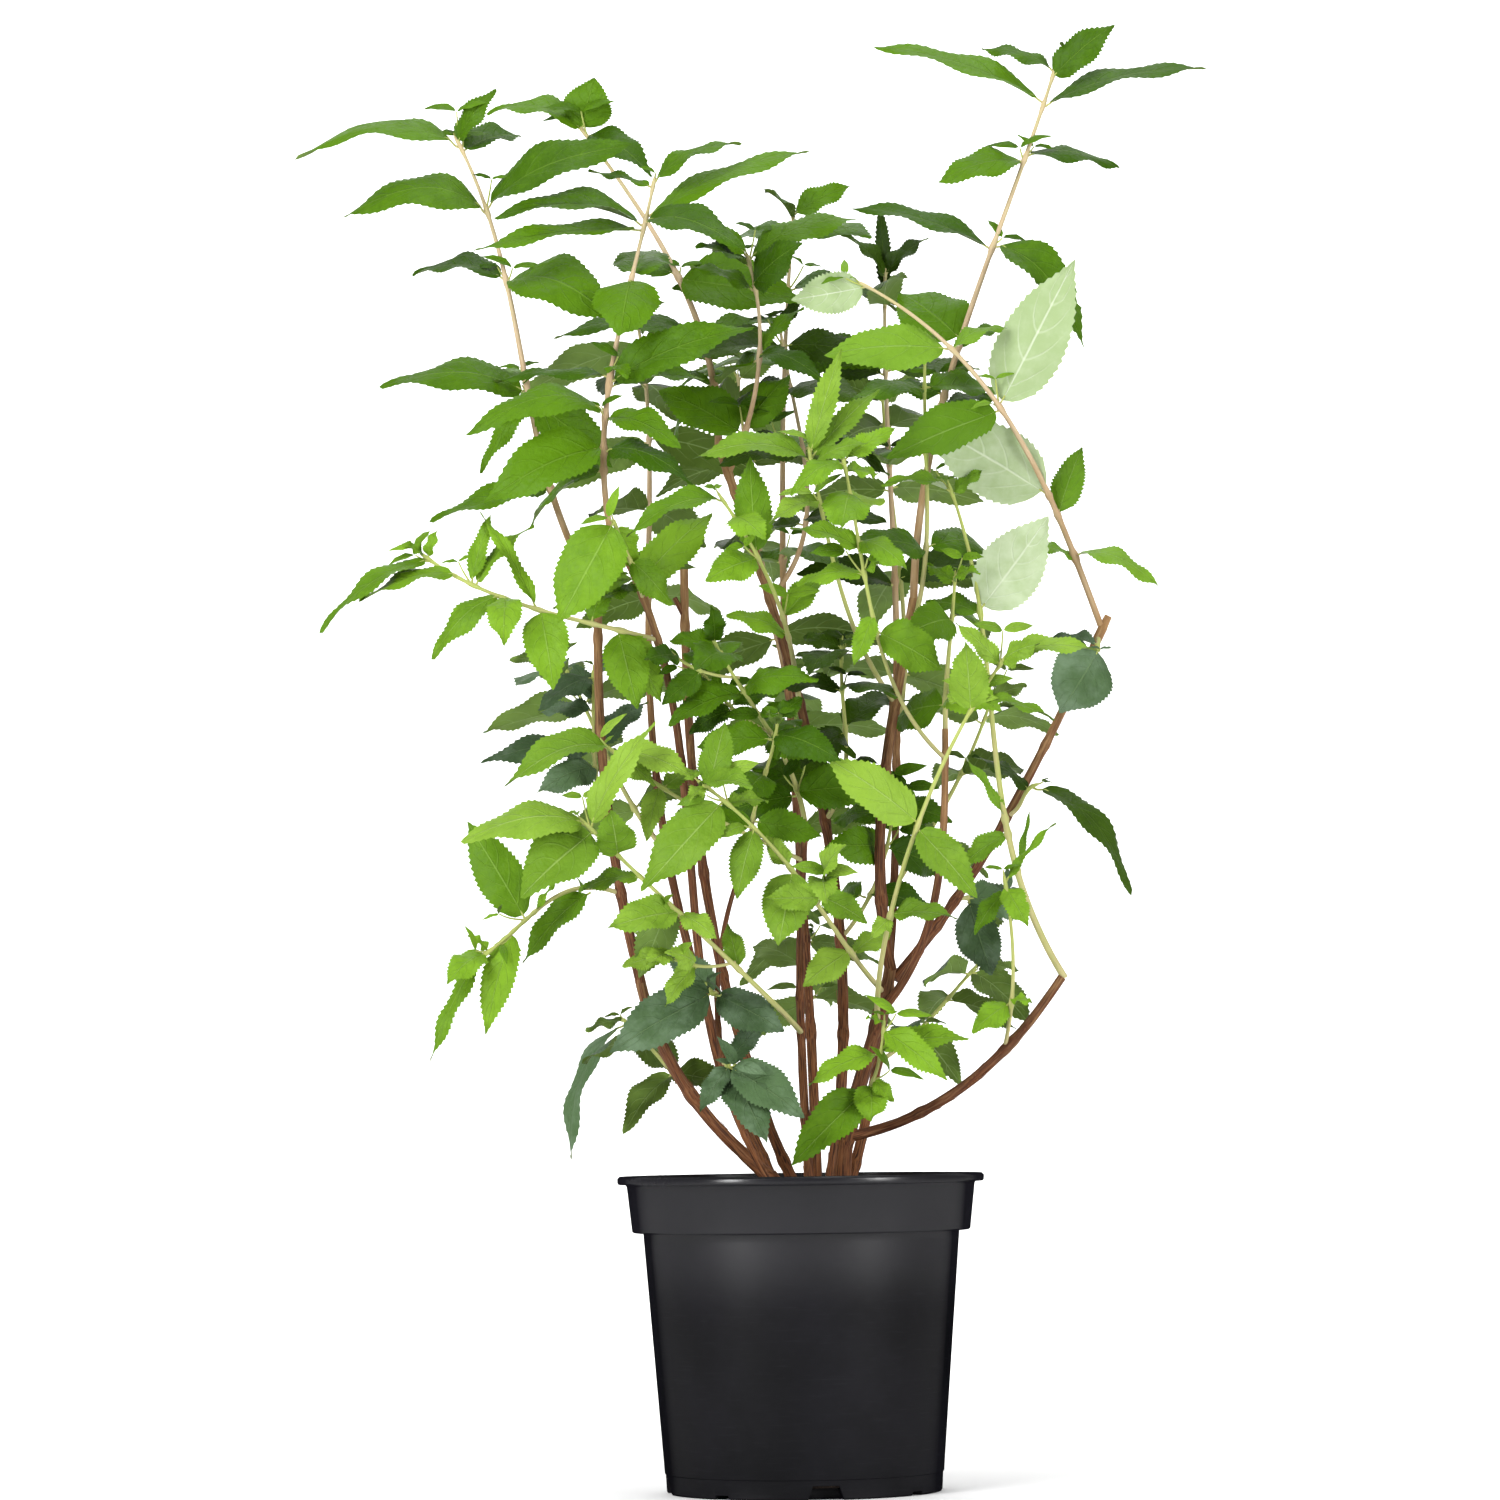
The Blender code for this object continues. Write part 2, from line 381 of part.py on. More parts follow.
SPRAYS = (
    # The crown's top
    Spray("foliage_left_tall", "bough_left_upper", 1.0, (-0.204, -0.050, 0.834), (-0.50, -0.16, 0.85),
          (-0.46, -0.02, 0.89), 0, (0.080, 0.100), "mid", seed=11, radius=0.0024, blades=LEFT_TALL_BLADES),
    Spray("foliage_left_second", "left_inner_cane", 1.0, (-0.081, -0.065, 0.804), (-0.16, 0.00, 0.98),
          (0.20, 0.05, 0.98), 0, (0.080, 0.088), "mid", width=0.40, seed=12, radius=0.0020,
          blades=LEFT_SECOND_BLADES),
    Spray("foliage_centre_tall", "centre_cane", 1.0, (-0.132, 0.060, 0.860), (0.02, 0.10, 0.99),
          (-0.58, 0.10, 0.81), 0, (0.072, 0.078), "mid", width=0.40, seed=13, radius=0.0024,
          blades=CENTRE_TALL_BLADES),
    Spray("foliage_centre_upper", "centre_cane", 0.965, (-0.026, -0.004, 0.766), (0.40, -0.46, 0.80),
          (-0.30, 0.00, 0.95), 0, (0.072, 0.076), "mid", width=0.43, seed=14, blades=CENTRE_UPPER_BLADES),
    Spray("foliage_crown_centre", "back_cane", 1.0, (0.004, 0.070, 0.806), (0, 0, 1), (0.10, -0.30, 1.00),
          6, (0.072, 0.084), "mid", first=0.10, face=-10, swing=36, sag=10, width=0.40, seed=15,
          radius=0.0021),
    Spray("foliage_crown_right", "back_right_cane", 1.0, (0.062, 0.090, 0.770), (0, 0, 1),
          (0.04, 0.00, 1.00),
          5, (0.070, 0.080), "deep", first=0.16, face=60, swing=40, sag=8, spread=60, width=0.38, seed=16,
          radius=0.0021, blades=CROWN_RIGHT_BLADES),
    Spray("foliage_right_tall", "bough_main_upper", 1.0, (0.172, 0.000, 0.892), (0.04, 0.00, 1.00),
          (0.30, 0.00, 0.95), 0, (0.074, 0.100), "mid", seed=17, radius=0.0025, blades=RIGHT_TALL_BLADES),
    Spray("foliage_right_arch", "bough_right_upper", 0.967, (0.043, -0.070, 0.737), (-0.34, -0.24, 0.91),
          (-0.88, 0.00, 0.47), 0, (0.066, 0.096), "pale", seed=18, radius=0.0021,
          blades=RIGHT_ARCH_BLADES),
    Spray("foliage_upper_right_front", "bough_main_upper", 0.72, (0.011, -0.100, 0.631),
          (-0.46, -0.66, 0.60), (-0.20, -0.06, 1.00), 0, (0.068, 0.066), "fresh", width=0.36, seed=19,
          blades=UPPER_RIGHT_FRONT_BLADES),
    Spray("foliage_upper_right_mid", "bough_main_upper", 0.86, (0.084, -0.022, 0.700), (0.30, -0.50, 0.76),
          (0.06, 0.00, 1.00), 4, (0.062, 0.066), "mid", first=0.34, face=65, swing=40, spread=64,
          width=0.40, seed=25),
    Spray("foliage_heart", "bough_right_inner", 0.90, (0.031, -0.112, 0.626), (-0.60, -0.60, 0.52),
          (-0.20, 0.05, 0.98), 0, (0.056, 0.050), "bright", width=0.53, light=FRONT_STEEP, seed=20,
          radius=0.0014, blades=HEART_BLADES),
    Spray("foliage_centre_front", "centre_cane", 0.66, (-0.044, -0.112, 0.604), (-0.06, -0.86, 0.50),
          (-0.56, -0.06, 0.82), 0, (0.066, 0.072), "bright", width=0.45, light=FRONT_STEEP, seed=21,
          blades=CENTRE_FRONT_BLADES),
    Spray("foliage_upper_core", "centre_cane", 0.80, (-0.006, 0.048, 0.730), (0.66, 0.10, 0.74),
          (-0.10, 0.05, 1.00), 5, (0.070, 0.074), "deep", first=0.30, face=0, swing=40, width=0.41,
          seed=26),
    Spray("foliage_back_left_upper", "back_left_cane", 1.0, (-0.098, 0.128, 0.744), (0, 0, 1),
          (-0.16, 0.10, 1.00), 6, (0.070, 0.084), "deep", first=0.08, face=20, swing=45, width=0.40,
          seed=22, radius=0.0021, light=BACK),
    Spray("foliage_back_upper", "back_cane", 0.86, (-0.034, 0.186, 0.716), (-0.15, 0.62, 0.76),
          (-0.06, 0.10, 1.00), 5, (0.070, 0.084), "deep", first=0.18, face=30, swing=45, width=0.40,
          seed=23, light=BACK),
    Spray("foliage_back_right_upper", "back_right_cane", 0.84, (0.060, 0.162, 0.700), (0.16, 0.50, 0.80),
          (-0.04, 0.08, 1.00), 5, (0.070, 0.084), "deep", first=0.18, face=70, swing=45, width=0.40,
          seed=24, light=BACK),
    # The middle of the crown
    Spray("foliage_left_mid", "left_inner_cane", 0.84, (-0.225, -0.084, 0.573), (-0.72, -0.66, 0.16),
          (-0.78, -0.02, 0.62), 0, (0.054, 0.076), "bright", width=0.34, seed=31, radius=0.0015,
          blades=LEFT_MID_BLADES),
    Spray("foliage_left_front_large", "left_inner_cane", 0.90, (-0.107, -0.116, 0.588),
          (-0.10, -0.90, 0.50), (-0.30, -0.50, 0.80), 0, (0.080, 0.084), "bright", seed=32, radius=0.0014,
          blades=LEFT_FRONT_LARGE_BLADES),
    Spray("foliage_left_dark", "bough_left_upper", 0.40, (-0.125, 0.020, 0.509), (-0.30, 0.80, 0.50),
          (0.00, 0.00, 1.00), 0, (0.056, 0.066), "blue", width=0.40, seed=33, radius=0.0015,
          light=LEFT, blades=LEFT_DARK_BLADES),
    Spray("foliage_left_bright", "left_centre_cane", 0.92, (-0.112, -0.112, 0.452), (-0.66, -0.62, 0.30),
          (-0.72, -0.02, 0.62), 0, (0.058, 0.070), "fresh", width=0.34, seed=34, radius=0.0014,
          blades=LEFT_BRIGHT_BLADES),
    Spray("foliage_centre_bright", "main_stem", 0.90, (-0.058, -0.128, 0.430), (-0.41, -0.82, 0.40),
          (-0.81, -0.05, 0.58), 0, (0.060, 0.054), "fresh", width=0.46, light=FRONT_STEEP, seed=35,
          radius=0.0017, twigs=1, blades=CENTRE_BRIGHT_BLADES),
    Spray("foliage_centre_mid", "left_centre_cane", 1.0, (-0.049, -0.070, 0.520), (-0.10, 0.00, 1.00),
          (-0.44, -0.10, 0.90), 5, (0.054, 0.060), "mid", first=0.18, face=35, swing=45, spread=66,
          width=0.46, seed=36, twigs=2, light=FRONT_STEEP),
    Spray("foliage_right_inner", "bough_right_inner", 1.0, (0.100, -0.030, 0.560), (0, 0, 1),
          (0.06, -0.10, 1.00), 3, (0.056, 0.054), "bright", first=0.18, face=0, swing=45, spread=66,
          width=0.48, light=FRONT_STEEP, seed=37),
    Spray("foliage_front_bright", "main_stem", 0.78, (0.130, -0.094, 0.507), (-0.04, -0.90, 0.44),
          (0.62, 0.00, 0.78), 0, (0.064, 0.056), "fresh", width=0.41, light=FRONT_STEEP, seed=38,
          radius=0.0018, blades=FRONT_BRIGHT_BLADES),
    Spray("foliage_right_back_mid", "back_right_cane", 0.58, (0.128, 0.126, 0.500), (0.50, 0.40, 0.76),
          (0.30, 0.10, 0.94), 4, (0.058, 0.064), "deep", first=0.22, face=70, swing=45, spread=64,
          width=0.40, seed=39, light=BACK),
    Spray("foliage_back_left_mid", "back_left_cane", 0.62, (-0.152, 0.112, 0.528), (-0.60, 0.20, 0.74),
          (-0.50, 0.10, 0.84), 5, (0.060, 0.072), "blue", first=0.20, face=50, swing=45, spread=64,
          width=0.40, seed=40, light=BACK),
    Spray("foliage_back_mid", "back_cane", 0.56, (-0.004, 0.206, 0.520), (0.06, 0.76, 0.64),
          (0.00, 0.40, 0.90), 5, (0.060, 0.072), "deep", first=0.24, face=30, swing=45, spread=64,
          width=0.40, seed=41, light=BACK),
    Spray("foliage_right_side_low", "bough_right_upper", 0.46, (0.150, 0.000, 0.433), (0.70, -0.50, 0.50),
          (0.90, -0.10, 0.20), 0, (0.096, 0.096), "deep", seed=42, radius=0.0014,
          blades=RIGHT_SIDE_LOW_BLADES),
    Spray("foliage_right_side_high", "bough_right_upper", 0.94, (0.189, -0.008, 0.515),
          (0.10, -0.90, 0.10), (0.10, -0.95, 0.00), 0, (0.050, 0.050), "blue", seed=43, radius=0.0014,
          blades=RIGHT_SIDE_HIGH_BLADES),
    Spray("foliage_mid_core", "centre_cane", 0.50, (0.030, -0.040, 0.520), (0.45, -0.55, 0.62),
          (0.10, -0.10, 1.00), 5, (0.058, 0.062), "deep", first=0.26, face=10, swing=45, spread=66,
          width=0.43, seed=44),
    # The foot of the crown
    Spray("foliage_front_left", "left_centre_cane", 0.46, (-0.128, -0.132, 0.408), (-0.20, -0.95, 0.24),
          (-0.70, 0.04, 0.71), 0, (0.054, 0.062), "fresh", width=0.43, twigs=1, seed=51, radius=0.0018,
          light=FRONT_STEEP, blades=FRONT_LEFT_BLADES),
    Spray("foliage_left_droop", "bough_left_upper", 0.22, (-0.196, -0.092, 0.324), (-0.88, -0.36, 0.29),
          (-0.84, -0.10, -0.52), 0, (0.058, 0.064), "bright", width=0.29, seed=52, radius=0.0015,
          blades=LEFT_DROOP_BLADES),
    Spray("foliage_low_left_dark", "thin_cane", 0.60, (-0.053, -0.074, 0.306), (-0.30, -0.86, 0.40),
          (-0.20, -0.80, 0.50), 0, (0.086, 0.092), "blue", width=0.31, seed=53, radius=0.0015,
          blades=LOW_LEFT_DARK_BLADES),
    Spray("foliage_base_left_dark", "thin_cane", 0.42, (-0.042, -0.074, 0.260), (0.20, -0.90, 0.36),
          (0.20, -0.80, 0.50), 0, (0.062, 0.054), "blue", width=0.41, light=FRONT_STEEP, seed=54,
          radius=0.0014, blades=BASE_LEFT_DARK_BLADES),
    Spray("foliage_thin_top", "thin_cane", 1.0, (-0.010, -0.084, 0.470), (0, 0, 1), (0.10, -0.20, 1.00),
          4, (0.050, 0.052), "mid", first=0.20, face=20, swing=45, spread=66, width=0.43, seed=55,
          radius=0.0013, light=FRONT_STEEP),
    Spray("foliage_base_right", "main_stem", 0.36, (0.052, -0.062, 0.287), (0.30, -0.86, 0.40),
          (0.06, -0.10, 1.00), 0, (0.046, 0.044), "bright", width=0.40, seed=56, radius=0.0013,
          blades=BASE_RIGHT_BLADES),
    Spray("foliage_low_right", "bough_right_low", 0.66, (0.126, -0.060, 0.374), (0.16, -0.55, 0.82),
          (-0.16, 0.00, 0.98), 0, (0.044, 0.050), "bright", width=0.34, seed=57, radius=0.0013,
          blades=LOW_RIGHT_BLADES),
    Spray("foliage_right_low_arch", "bough_right_low", 1.0, (0.097, -0.024, 0.618), (-0.52, 0.00, 0.86),
          (-0.34, 0.00, 0.94), 0, (0.044, 0.066), "pale", width=0.33, seed=58, radius=0.0022,
          blades=RIGHT_LOW_ARCH_BLADES),
    Spray("foliage_low_right_dark", "bough_right_upper", 0.22, (0.122, 0.036, 0.366), (0.50, 0.62, 0.20),
          (0.66, 0.30, 0.30), 4, (0.056, 0.056), "blue", first=0.30, face=40, swing=45, spread=64,
          width=0.48, light=FRONT_STEEP, sag=28, seed=59, radius=0.0014),
    Spray("foliage_low_centre", "centre_cane", 0.34, (0.062, 0.030, 0.430), (0.60, -0.20, 0.70),
          (0.10, 0.00, 1.00), 4, (0.052, 0.056), "mid", first=0.30, face=10, swing=45, spread=66,
          width=0.43, seed=63, radius=0.0014, light=FRONT_STEEP),
    Spray("foliage_base_back_left", "left_cane", 0.56, (-0.110, 0.058, 0.292), (-0.40, 0.80, 0.40),
          (-0.50, 0.10, 0.50), 3, (0.054, 0.060), "blue", first=0.30, face=30, swing=45, spread=64,
          width=0.40, sag=28, seed=60, radius=0.0015, light=BACK, blades=BASE_BACK_LEFT_BLADES),
    Spray("foliage_base_back_right", "back_right_cane", 0.26, (0.118, 0.102, 0.328), (0.76, 0.20, 0.50),
          (0.60, 0.20, 0.60), 4, (0.054, 0.060), "blue", first=0.30, face=80, swing=45, spread=64,
          width=0.40, sag=28, seed=61, radius=0.0015, light=BACK),
    Spray("foliage_low_back", "back_cane", 0.30, (0.006, 0.160, 0.350), (0.00, 0.90, 0.42),
          (0.00, 0.60, 0.60), 4, (0.054, 0.060), "blue", first=0.30, face=30, swing=45, spread=64,
          width=0.40, sag=28, seed=62, radius=0.0015, light=BACK),
)

LEAF_TONES = {
    "fresh": (0.150, 0.380, 0.045),
    "bright": (0.110, 0.290, 0.040),
    "mid": (0.070, 0.210, 0.030),
    "deep": (0.045, 0.140, 0.028),
    "blue": (0.045, 0.125, 0.050),
    "pale": (0.300, 0.460, 0.190),
}
BARK_COLOUR = (0.190, 0.075, 0.035)
POT_COLOUR = (0.012, 0.012, 0.014)
SOIL_COLOUR = (0.045, 0.028, 0.018)

# A leaf's corners: its root (above, below), two stations (left, right in turn), its tip and the keel below
LEAF_FACES = ((0, 3, 2), (2, 3, 5), (2, 5, 4), (4, 5, 6), (0, 2, 1), (1, 2, 7), (2, 4, 7), (4, 6, 7),
              (0, 1, 3), (1, 7, 3), (3, 7, 5), (5, 7, 6))


def unit(vector):
    return Vector(vector).normalized()


def across(heading):
    """Two directions square to a heading; the first lies in the plane seen face on from the front."""
    side = Vector((0, 1, 0)).cross(heading).normalized()
    return side, heading.cross(side).normalized()


class Route:
    """A cubic curve from a foot to a tip, with a heading at each end."""

    def __init__(self, foot, leave, tip, arrive):
        self.foot, self.tip = Vector(foot), Vector(tip)
        span = (self.tip - self.foot).length * HANDLE
        self.bend_low = self.foot + unit(leave) * span
        self.bend_high = self.tip - unit(arrive) * span

    def point(self, t):
        s = 1 - t
        low, high = self.bend_low, self.bend_high
        return self.foot * s**3 + low * (3 * s * s * t) + high * (3 * s * t * t) + self.tip * t**3

    def heading(self, t):
        s = 1 - t
        first, second = self.bend_low - self.foot, self.bend_high - self.bend_low
        third = self.tip - self.bend_high
        return (first * s * s + second * (2 * s * t) + third * t * t).normalized()

    def length(self):
        steps = 16
        marks = [self.point(i / steps) for i in range(steps + 1)]
        return sum((b - a).length for a, b in zip(marks, marks[1:]))


class Branch:
    """A tube along a route, made of straight lengths: a limb, a spray's stem or a side twig."""

    def __init__(self, route, radii, sides, spacing, ground=None):
        self.route, self.sides, self.ground = route, sides, ground
        self.foot_radius, self.tip_radius = radii
        self.length = route.length()
        lengths = max(2, round(self.length / spacing))
        self.shares = [i / lengths for i in range(lengths + 1)]
        if ground is not None:
            self.shares.insert(1, min(FLARE_HEIGHT / self.length, self.shares[1] / 2))

    def radius(self, t):
        taper = self.tip_radius + (self.foot_radius - self.tip_radius) * (1 - t) ** TAPER_POWER
        if self.ground is None:
            return taper
        return taper * (1 + FLARE * math.exp(-t * self.length / FLARE_HEIGHT))

    def centre(self, t):
        """The middle of the tube, on its straight lengths rather than on the curve."""
        for low, high in zip(self.shares, self.shares[1:]):
            if t <= high:
                share = (t - low) / (high - low)
                return self.route.point(low).lerp(self.route.point(high), share)
        return self.route.tip.copy()

    def solid(self):
        """Points and faces of the closed tube. With a ground height its foot is cut level there."""
        points, sides = [], self.sides
        for t in self.shares:
            centre, heading = self.route.point(t), self.route.heading(t)
            side, other = across(heading)
            for k in range(sides):
                turn = 2 * math.pi * k / sides
                point = centre + (side * math.cos(turn) + other * math.sin(turn)) * self.radius(t)
                if self.ground is not None and t == 0:
                    point += heading * ((self.ground - point.z) / heading.z)
                points.append(point)
        faces = [tuple(reversed(range(sides)))]
        for i in range(len(self.shares) - 1):
            for k in range(sides):
                a, b = i * sides + k, i * sides + (k + 1) % sides
                faces.append((a, b, b + sides, a + sides))
        last = (len(self.shares) - 1) * sides
        faces.append(tuple(range(last, last + sides)))
        return points, faces


def foot_marks(foot, heading, radius, sides):
    """Points spread over the flat foot of a branch."""
    side, other = across(heading)
    turns = [2 * math.pi * k / sides for k in range(sides)]
    ring = [side * math.cos(turn) + other * math.sin(turn) for turn in turns]
    marks = [foot]
    for one, next_one in zip(ring, ring[1:] + ring[:1]):
        for share in (0.0, 0.25, 0.5, 0.75):
            edge = one.lerp(next_one, share) * radius
            marks += [foot + edge, foot + edge * 0.5]
    return marks


def join(parent, surface, at, leave, radius, sides):
    """Foot and heading of a branch that leaves its parent, a little clear of the parent's surface."""
    heading = unit(leave)
    way = parent.route.heading(at) if at == 1.0 else heading
    foot = parent.centre(at) + way * (2 * parent.radius(at) + 2 * radius)
    for _ in range(JOIN_STEPS):
        gap = min(surface.find_nearest(mark)[3] for mark in foot_marks(foot, heading, radius, sides))
        foot -= way * (gap - CLEAR)
    return foot, heading


class Crowd:
    """The solids placed so far, to tell whether a new twig or leaf would touch one."""

    def __init__(self):
        self.taken = []

    def add(self, owner, points, faces):
        low = [min(p[k] for p in points) for k in range(3)]
        high = [max(p[k] for p in points) for k in range(3)]
        tree = BVHTree.FromPolygons(points, faces)
        self.taken.append((owner, low, high, tree))
        return tree

    def free(self, points, faces, ignore=()):
        low = [min(p[k] for p in points) for k in range(3)]
        high = [max(p[k] for p in points) for k in range(3)]
        tree = None
        for owner, other_low, other_high, other in self.taken:
            if owner in ignore or any(low[k] > other_high[k] or high[k] < other_low[k] for k in range(3)):
                continue
            tree = tree or BVHTree.FromPolygons(points, faces)
            if tree.overlap(other):
                return False
        return True


def leaf_points(root, along, up, length, width, arch, petiole, grow=0.0, lift=0.0):
    """The eight corners of one leaf, or of a larger one moved up or down to keep room round it."""
    left = up.cross(along)
    thick = max(LEAST_THICKNESS, length * LEAF_THICKNESS)
    corners = [root + up * petiole, root - up * petiole]
    for share, half, rise in LEAF_STATIONS:
        middle = root + along * (share * length) + up * (rise * arch * length + lift)
        spread = left * (half * width * length + grow)
        corners += [middle + spread, middle - spread]
    tip = root + along * (length + grow) + up * lift
    below = root + along * (KEEL_AT * length) + up * (arch * length - thick + lift)
    return corners + [tip, below]


def way_off_stem(heading, turn, spread, sag):
    """The direction of a leaf that stands off its stem, levelled a little and then sagging."""
    turn, spread, sag = (math.radians(angle) for angle in (turn, spread, sag))
    side, other = across(heading)
    out = side * math.cos(turn) + other * math.sin(turn)
    along = out * math.sin(spread) + heading * math.cos(spread)
    along.z = along.z * LEVELLING - math.sin(sag)
    return along.normalized()


def way_by_compass(compass, rise):
    """The direction of a leaf that is set by its compass and its rise."""
    compass, rise = math.radians(compass), math.radians(rise)
    return Vector((math.cos(rise) * math.cos(compass), math.cos(rise) * math.sin(compass), math.sin(rise)))


def face_of(along, heading, light, roll):
    """The direction that a leaf's upper face looks: as near the light as it can, then rolled."""
    facing = unit(light)
    up = facing - along * facing.dot(along)
    if up.length < 0.15:
        up = heading - along * heading.dot(along)
    up.normalize()
    return up * math.cos(roll) + along.cross(up) * math.sin(roll)


class Growth:
    """Grows the limbs, the stems and twigs of the sprays and then their leaves, in one fixed order."""

    def __init__(self):
        self.crowd = Crowd()
        self.limbs = {}
        self.twigs = {}
        self.leaves = {}

    def grow_limb(self, limb):
        if limb.parent:
            parent, surface = self.limbs[limb.parent]
            foot, heading = join(parent, surface, limb.at, limb.leave, limb.radii[0], LIMB_SIDES)
            ground = None
        else:
            foot, heading = (*limb.foot, SOIL_TOP + CLEAR), limb.leave
            ground = SOIL_TOP + CLEAR
        route = Route(foot, heading, limb.tip, limb.arrive)
        branch = Branch(route, limb.radii, LIMB_SIDES, RING_SPACING, ground)
        solid = branch.solid()
        self.limbs[limb.name] = (branch, self.crowd.add(limb.name, *solid))
        return solid

    def grow_stems(self, spray):
        """The spray's own stem and its side twigs, each with the pairs that it carries."""
        rng = Random(spray.seed)
        parent, surface = self.limbs[spray.parent]
        thickness = min(spray.radius, parent.radius(spray.at))
        foot, heading = join(parent, surface, spray.at, spray.leave, thickness, TWIG_SIDES)
        route = Route(foot, heading, spray.tip, spray.arrive)
        stem = Branch(route, (thickness, TWIG_TIP), TWIG_SIDES, TWIG_SPACING)
        grown = [(stem, self.pairs_on_stem(spray, rng))]
        self.crowd.add((spray.name, 0), *stem.solid())
        for number in range(spray.twigs):
            at = 0.45 + 0.32 * number / max(1, spray.twigs - 1) + rng.uniform(-0.05, 0.05)
            turn = rng.uniform(0, 2 * math.pi)
            reach = rng.uniform(0.040, 0.060)
            twig = self.side_twig(stem, at, turn, reach)
            solid = twig.solid()
            if self.crowd.free(*solid, ignore=((spray.name, 0),)):
                self.crowd.add((spray.name, number + 1), *solid)
                grown.append((twig, self.pairs_on_twig(spray, rng)))
        self.twigs[spray.name] = grown

    def side_twig(self, stem, at, turn, reach):
        root, heading = stem.centre(at), stem.route.heading(at)
        side, other = across(heading)
        out = side * math.cos(turn) + other * math.sin(turn)
        leave = (out + heading * 0.7).normalized()
        arrive = (out * 0.6 + heading * 0.4 + Vector((0, 0, 0.6))).normalized()
        tip = root + (leave + arrive).normalized() * reach
        route = Route(root, leave, tip, arrive)
        return Branch(route, (SIDE_TWIG_RADIUS, TWIG_TIP), TWIG_SIDES, TWIG_SPACING)

    def pairs_on_stem(self, spray, rng):
        """For each pair up the stem: its place, turn, spread and leaf length."""
        pairs = []
        for k in range(spray.pairs):
            climb = k / max(1, spray.pairs - 1)
            at = spray.first + (LAST_PAIR - spray.first) * (1 - (1 - climb) ** CROWDING)
            length = spray.leaf[0] + (spray.leaf[1] - spray.leaf[0]) * min(1.0, climb * 1.25)
            spread = spray.spread + rng.uniform(-9, 9)
            if spray.crown and k == spray.pairs - 1:
                length *= TERMINAL_SIZE
                spread = TERMINAL_SPREAD
            sway = spray.swing if k % 2 else -spray.swing
            turn = spray.face + sway + rng.uniform(-12, 12)
            pairs.append((at, turn, spread, length * rng.uniform(0.90, 1.06)))
        return pairs

    def pairs_on_twig(self, spray, rng):
        pairs = []
        for k in range(SIDE_TWIG_PAIRS):
            length = spray.leaf[0] * SIDE_LEAF_SIZE * rng.uniform(0.85, 1.15)
            pairs.append(((0.55, 0.97)[k], 90 * k + rng.uniform(-20, 20), (66, 40)[k], length))
        return pairs

    def grow_leaves(self, spray):
        """The set leaves and both of every pair, each in its first turn in which it touches nothing."""
        rng = Random(spray.seed + 500)
        stem = self.twigs[spray.name][0][0]
        found = [self.place_blade(spray, stem, number) for number in range(len(spray.blades))]
        for number, (branch, pairs) in enumerate(self.twigs[spray.name]):
            for pair, (at, turn, spread, length) in enumerate(pairs):
                for half in (0, 180):
                    size = length * rng.uniform(0.93, 1.07)
                    shape = (spray.width, spray.arch * rng.uniform(0.6, 1.4))
                    sag, roll = spray.sag + rng.uniform(-7, 7), rng.uniform(-ROLL_DEG, ROLL_DEG)
                    step = half / 180 * PAIR_STEP / branch.length
                    node = (branch, at - step, (spray.name, number, pair))
                    heading = branch.route.heading(at)
                    ways = [(way_off_stem(heading, turn + half + more, spread + lean, sag), share)
                            for more, lean, share in NUDGES]
                    found.append(self.place(node, ways, size, shape, spray.light, roll))
        self.leaves[spray.name] = [leaf for leaf in found if leaf]

    def place_blade(self, spray, stem, number):
        blade = spray.blades[number]
        ways = [(way_by_compass(blade.compass + more, blade.rise - lean), share)
                for more, lean, share in NUDGES]
        node = (stem, blade.at, (spray.name, 0, f"blade {number}"))
        return self.place(node, ways, blade.length, (blade.width, blade.arch), blade.light, 0.0)

    def place(self, node, ways, size, shape, light, roll):
        branch, at, owner = node
        middle, heading = branch.centre(at), branch.route.heading(at)
        petiole = PETIOLE_SHARE * branch.radius(at)
        for along, share in ways:
            up = face_of(along, heading, light, math.radians(roll))
            root = middle + (along - heading * along.dot(heading)).normalized() * ROOT_OFF_MIDDLE
            leaf = (root, along, up, size * share, *shape, petiole)
            if self.has_room(leaf, (owner[:2], owner)):
                self.crowd.add(owner, leaf_points(*leaf), LEAF_FACES)
                return leaf
        return None

    def has_room(self, leaf, own):
        """Whether a leaf stays above the pot's rim and, with some room round it, touches nothing."""
        if min(corner.z for corner in leaf_points(*leaf)) < LOWEST_LEAF:
            return False
        return all(self.crowd.free(leaf_points(*leaf, *room), LEAF_FACES, own) for room in ROOMS)


def material(name, colour, roughness, metallic=0.0):
    made = bpy.data.materials.new(name)
    made.use_nodes = True
    shader = made.node_tree.nodes["Principled BSDF"]
    shader.inputs["Base Color"].default_value = (*colour, 1.0)
    shader.inputs["Roughness"].default_value = roughness
    shader.inputs["Metallic"].default_value = metallic
    return made


def put_object(name, points, faces, finish=None, collection=None):
    mesh = bpy.data.meshes.new(name)
    mesh.from_pydata([tuple(p) for p in points], [], faces)
    if finish:
        mesh.materials.append(finish)
    obj = bpy.data.objects.new(name, mesh)
    (collection or bpy.context.scene.collection).objects.link(obj)
    return obj


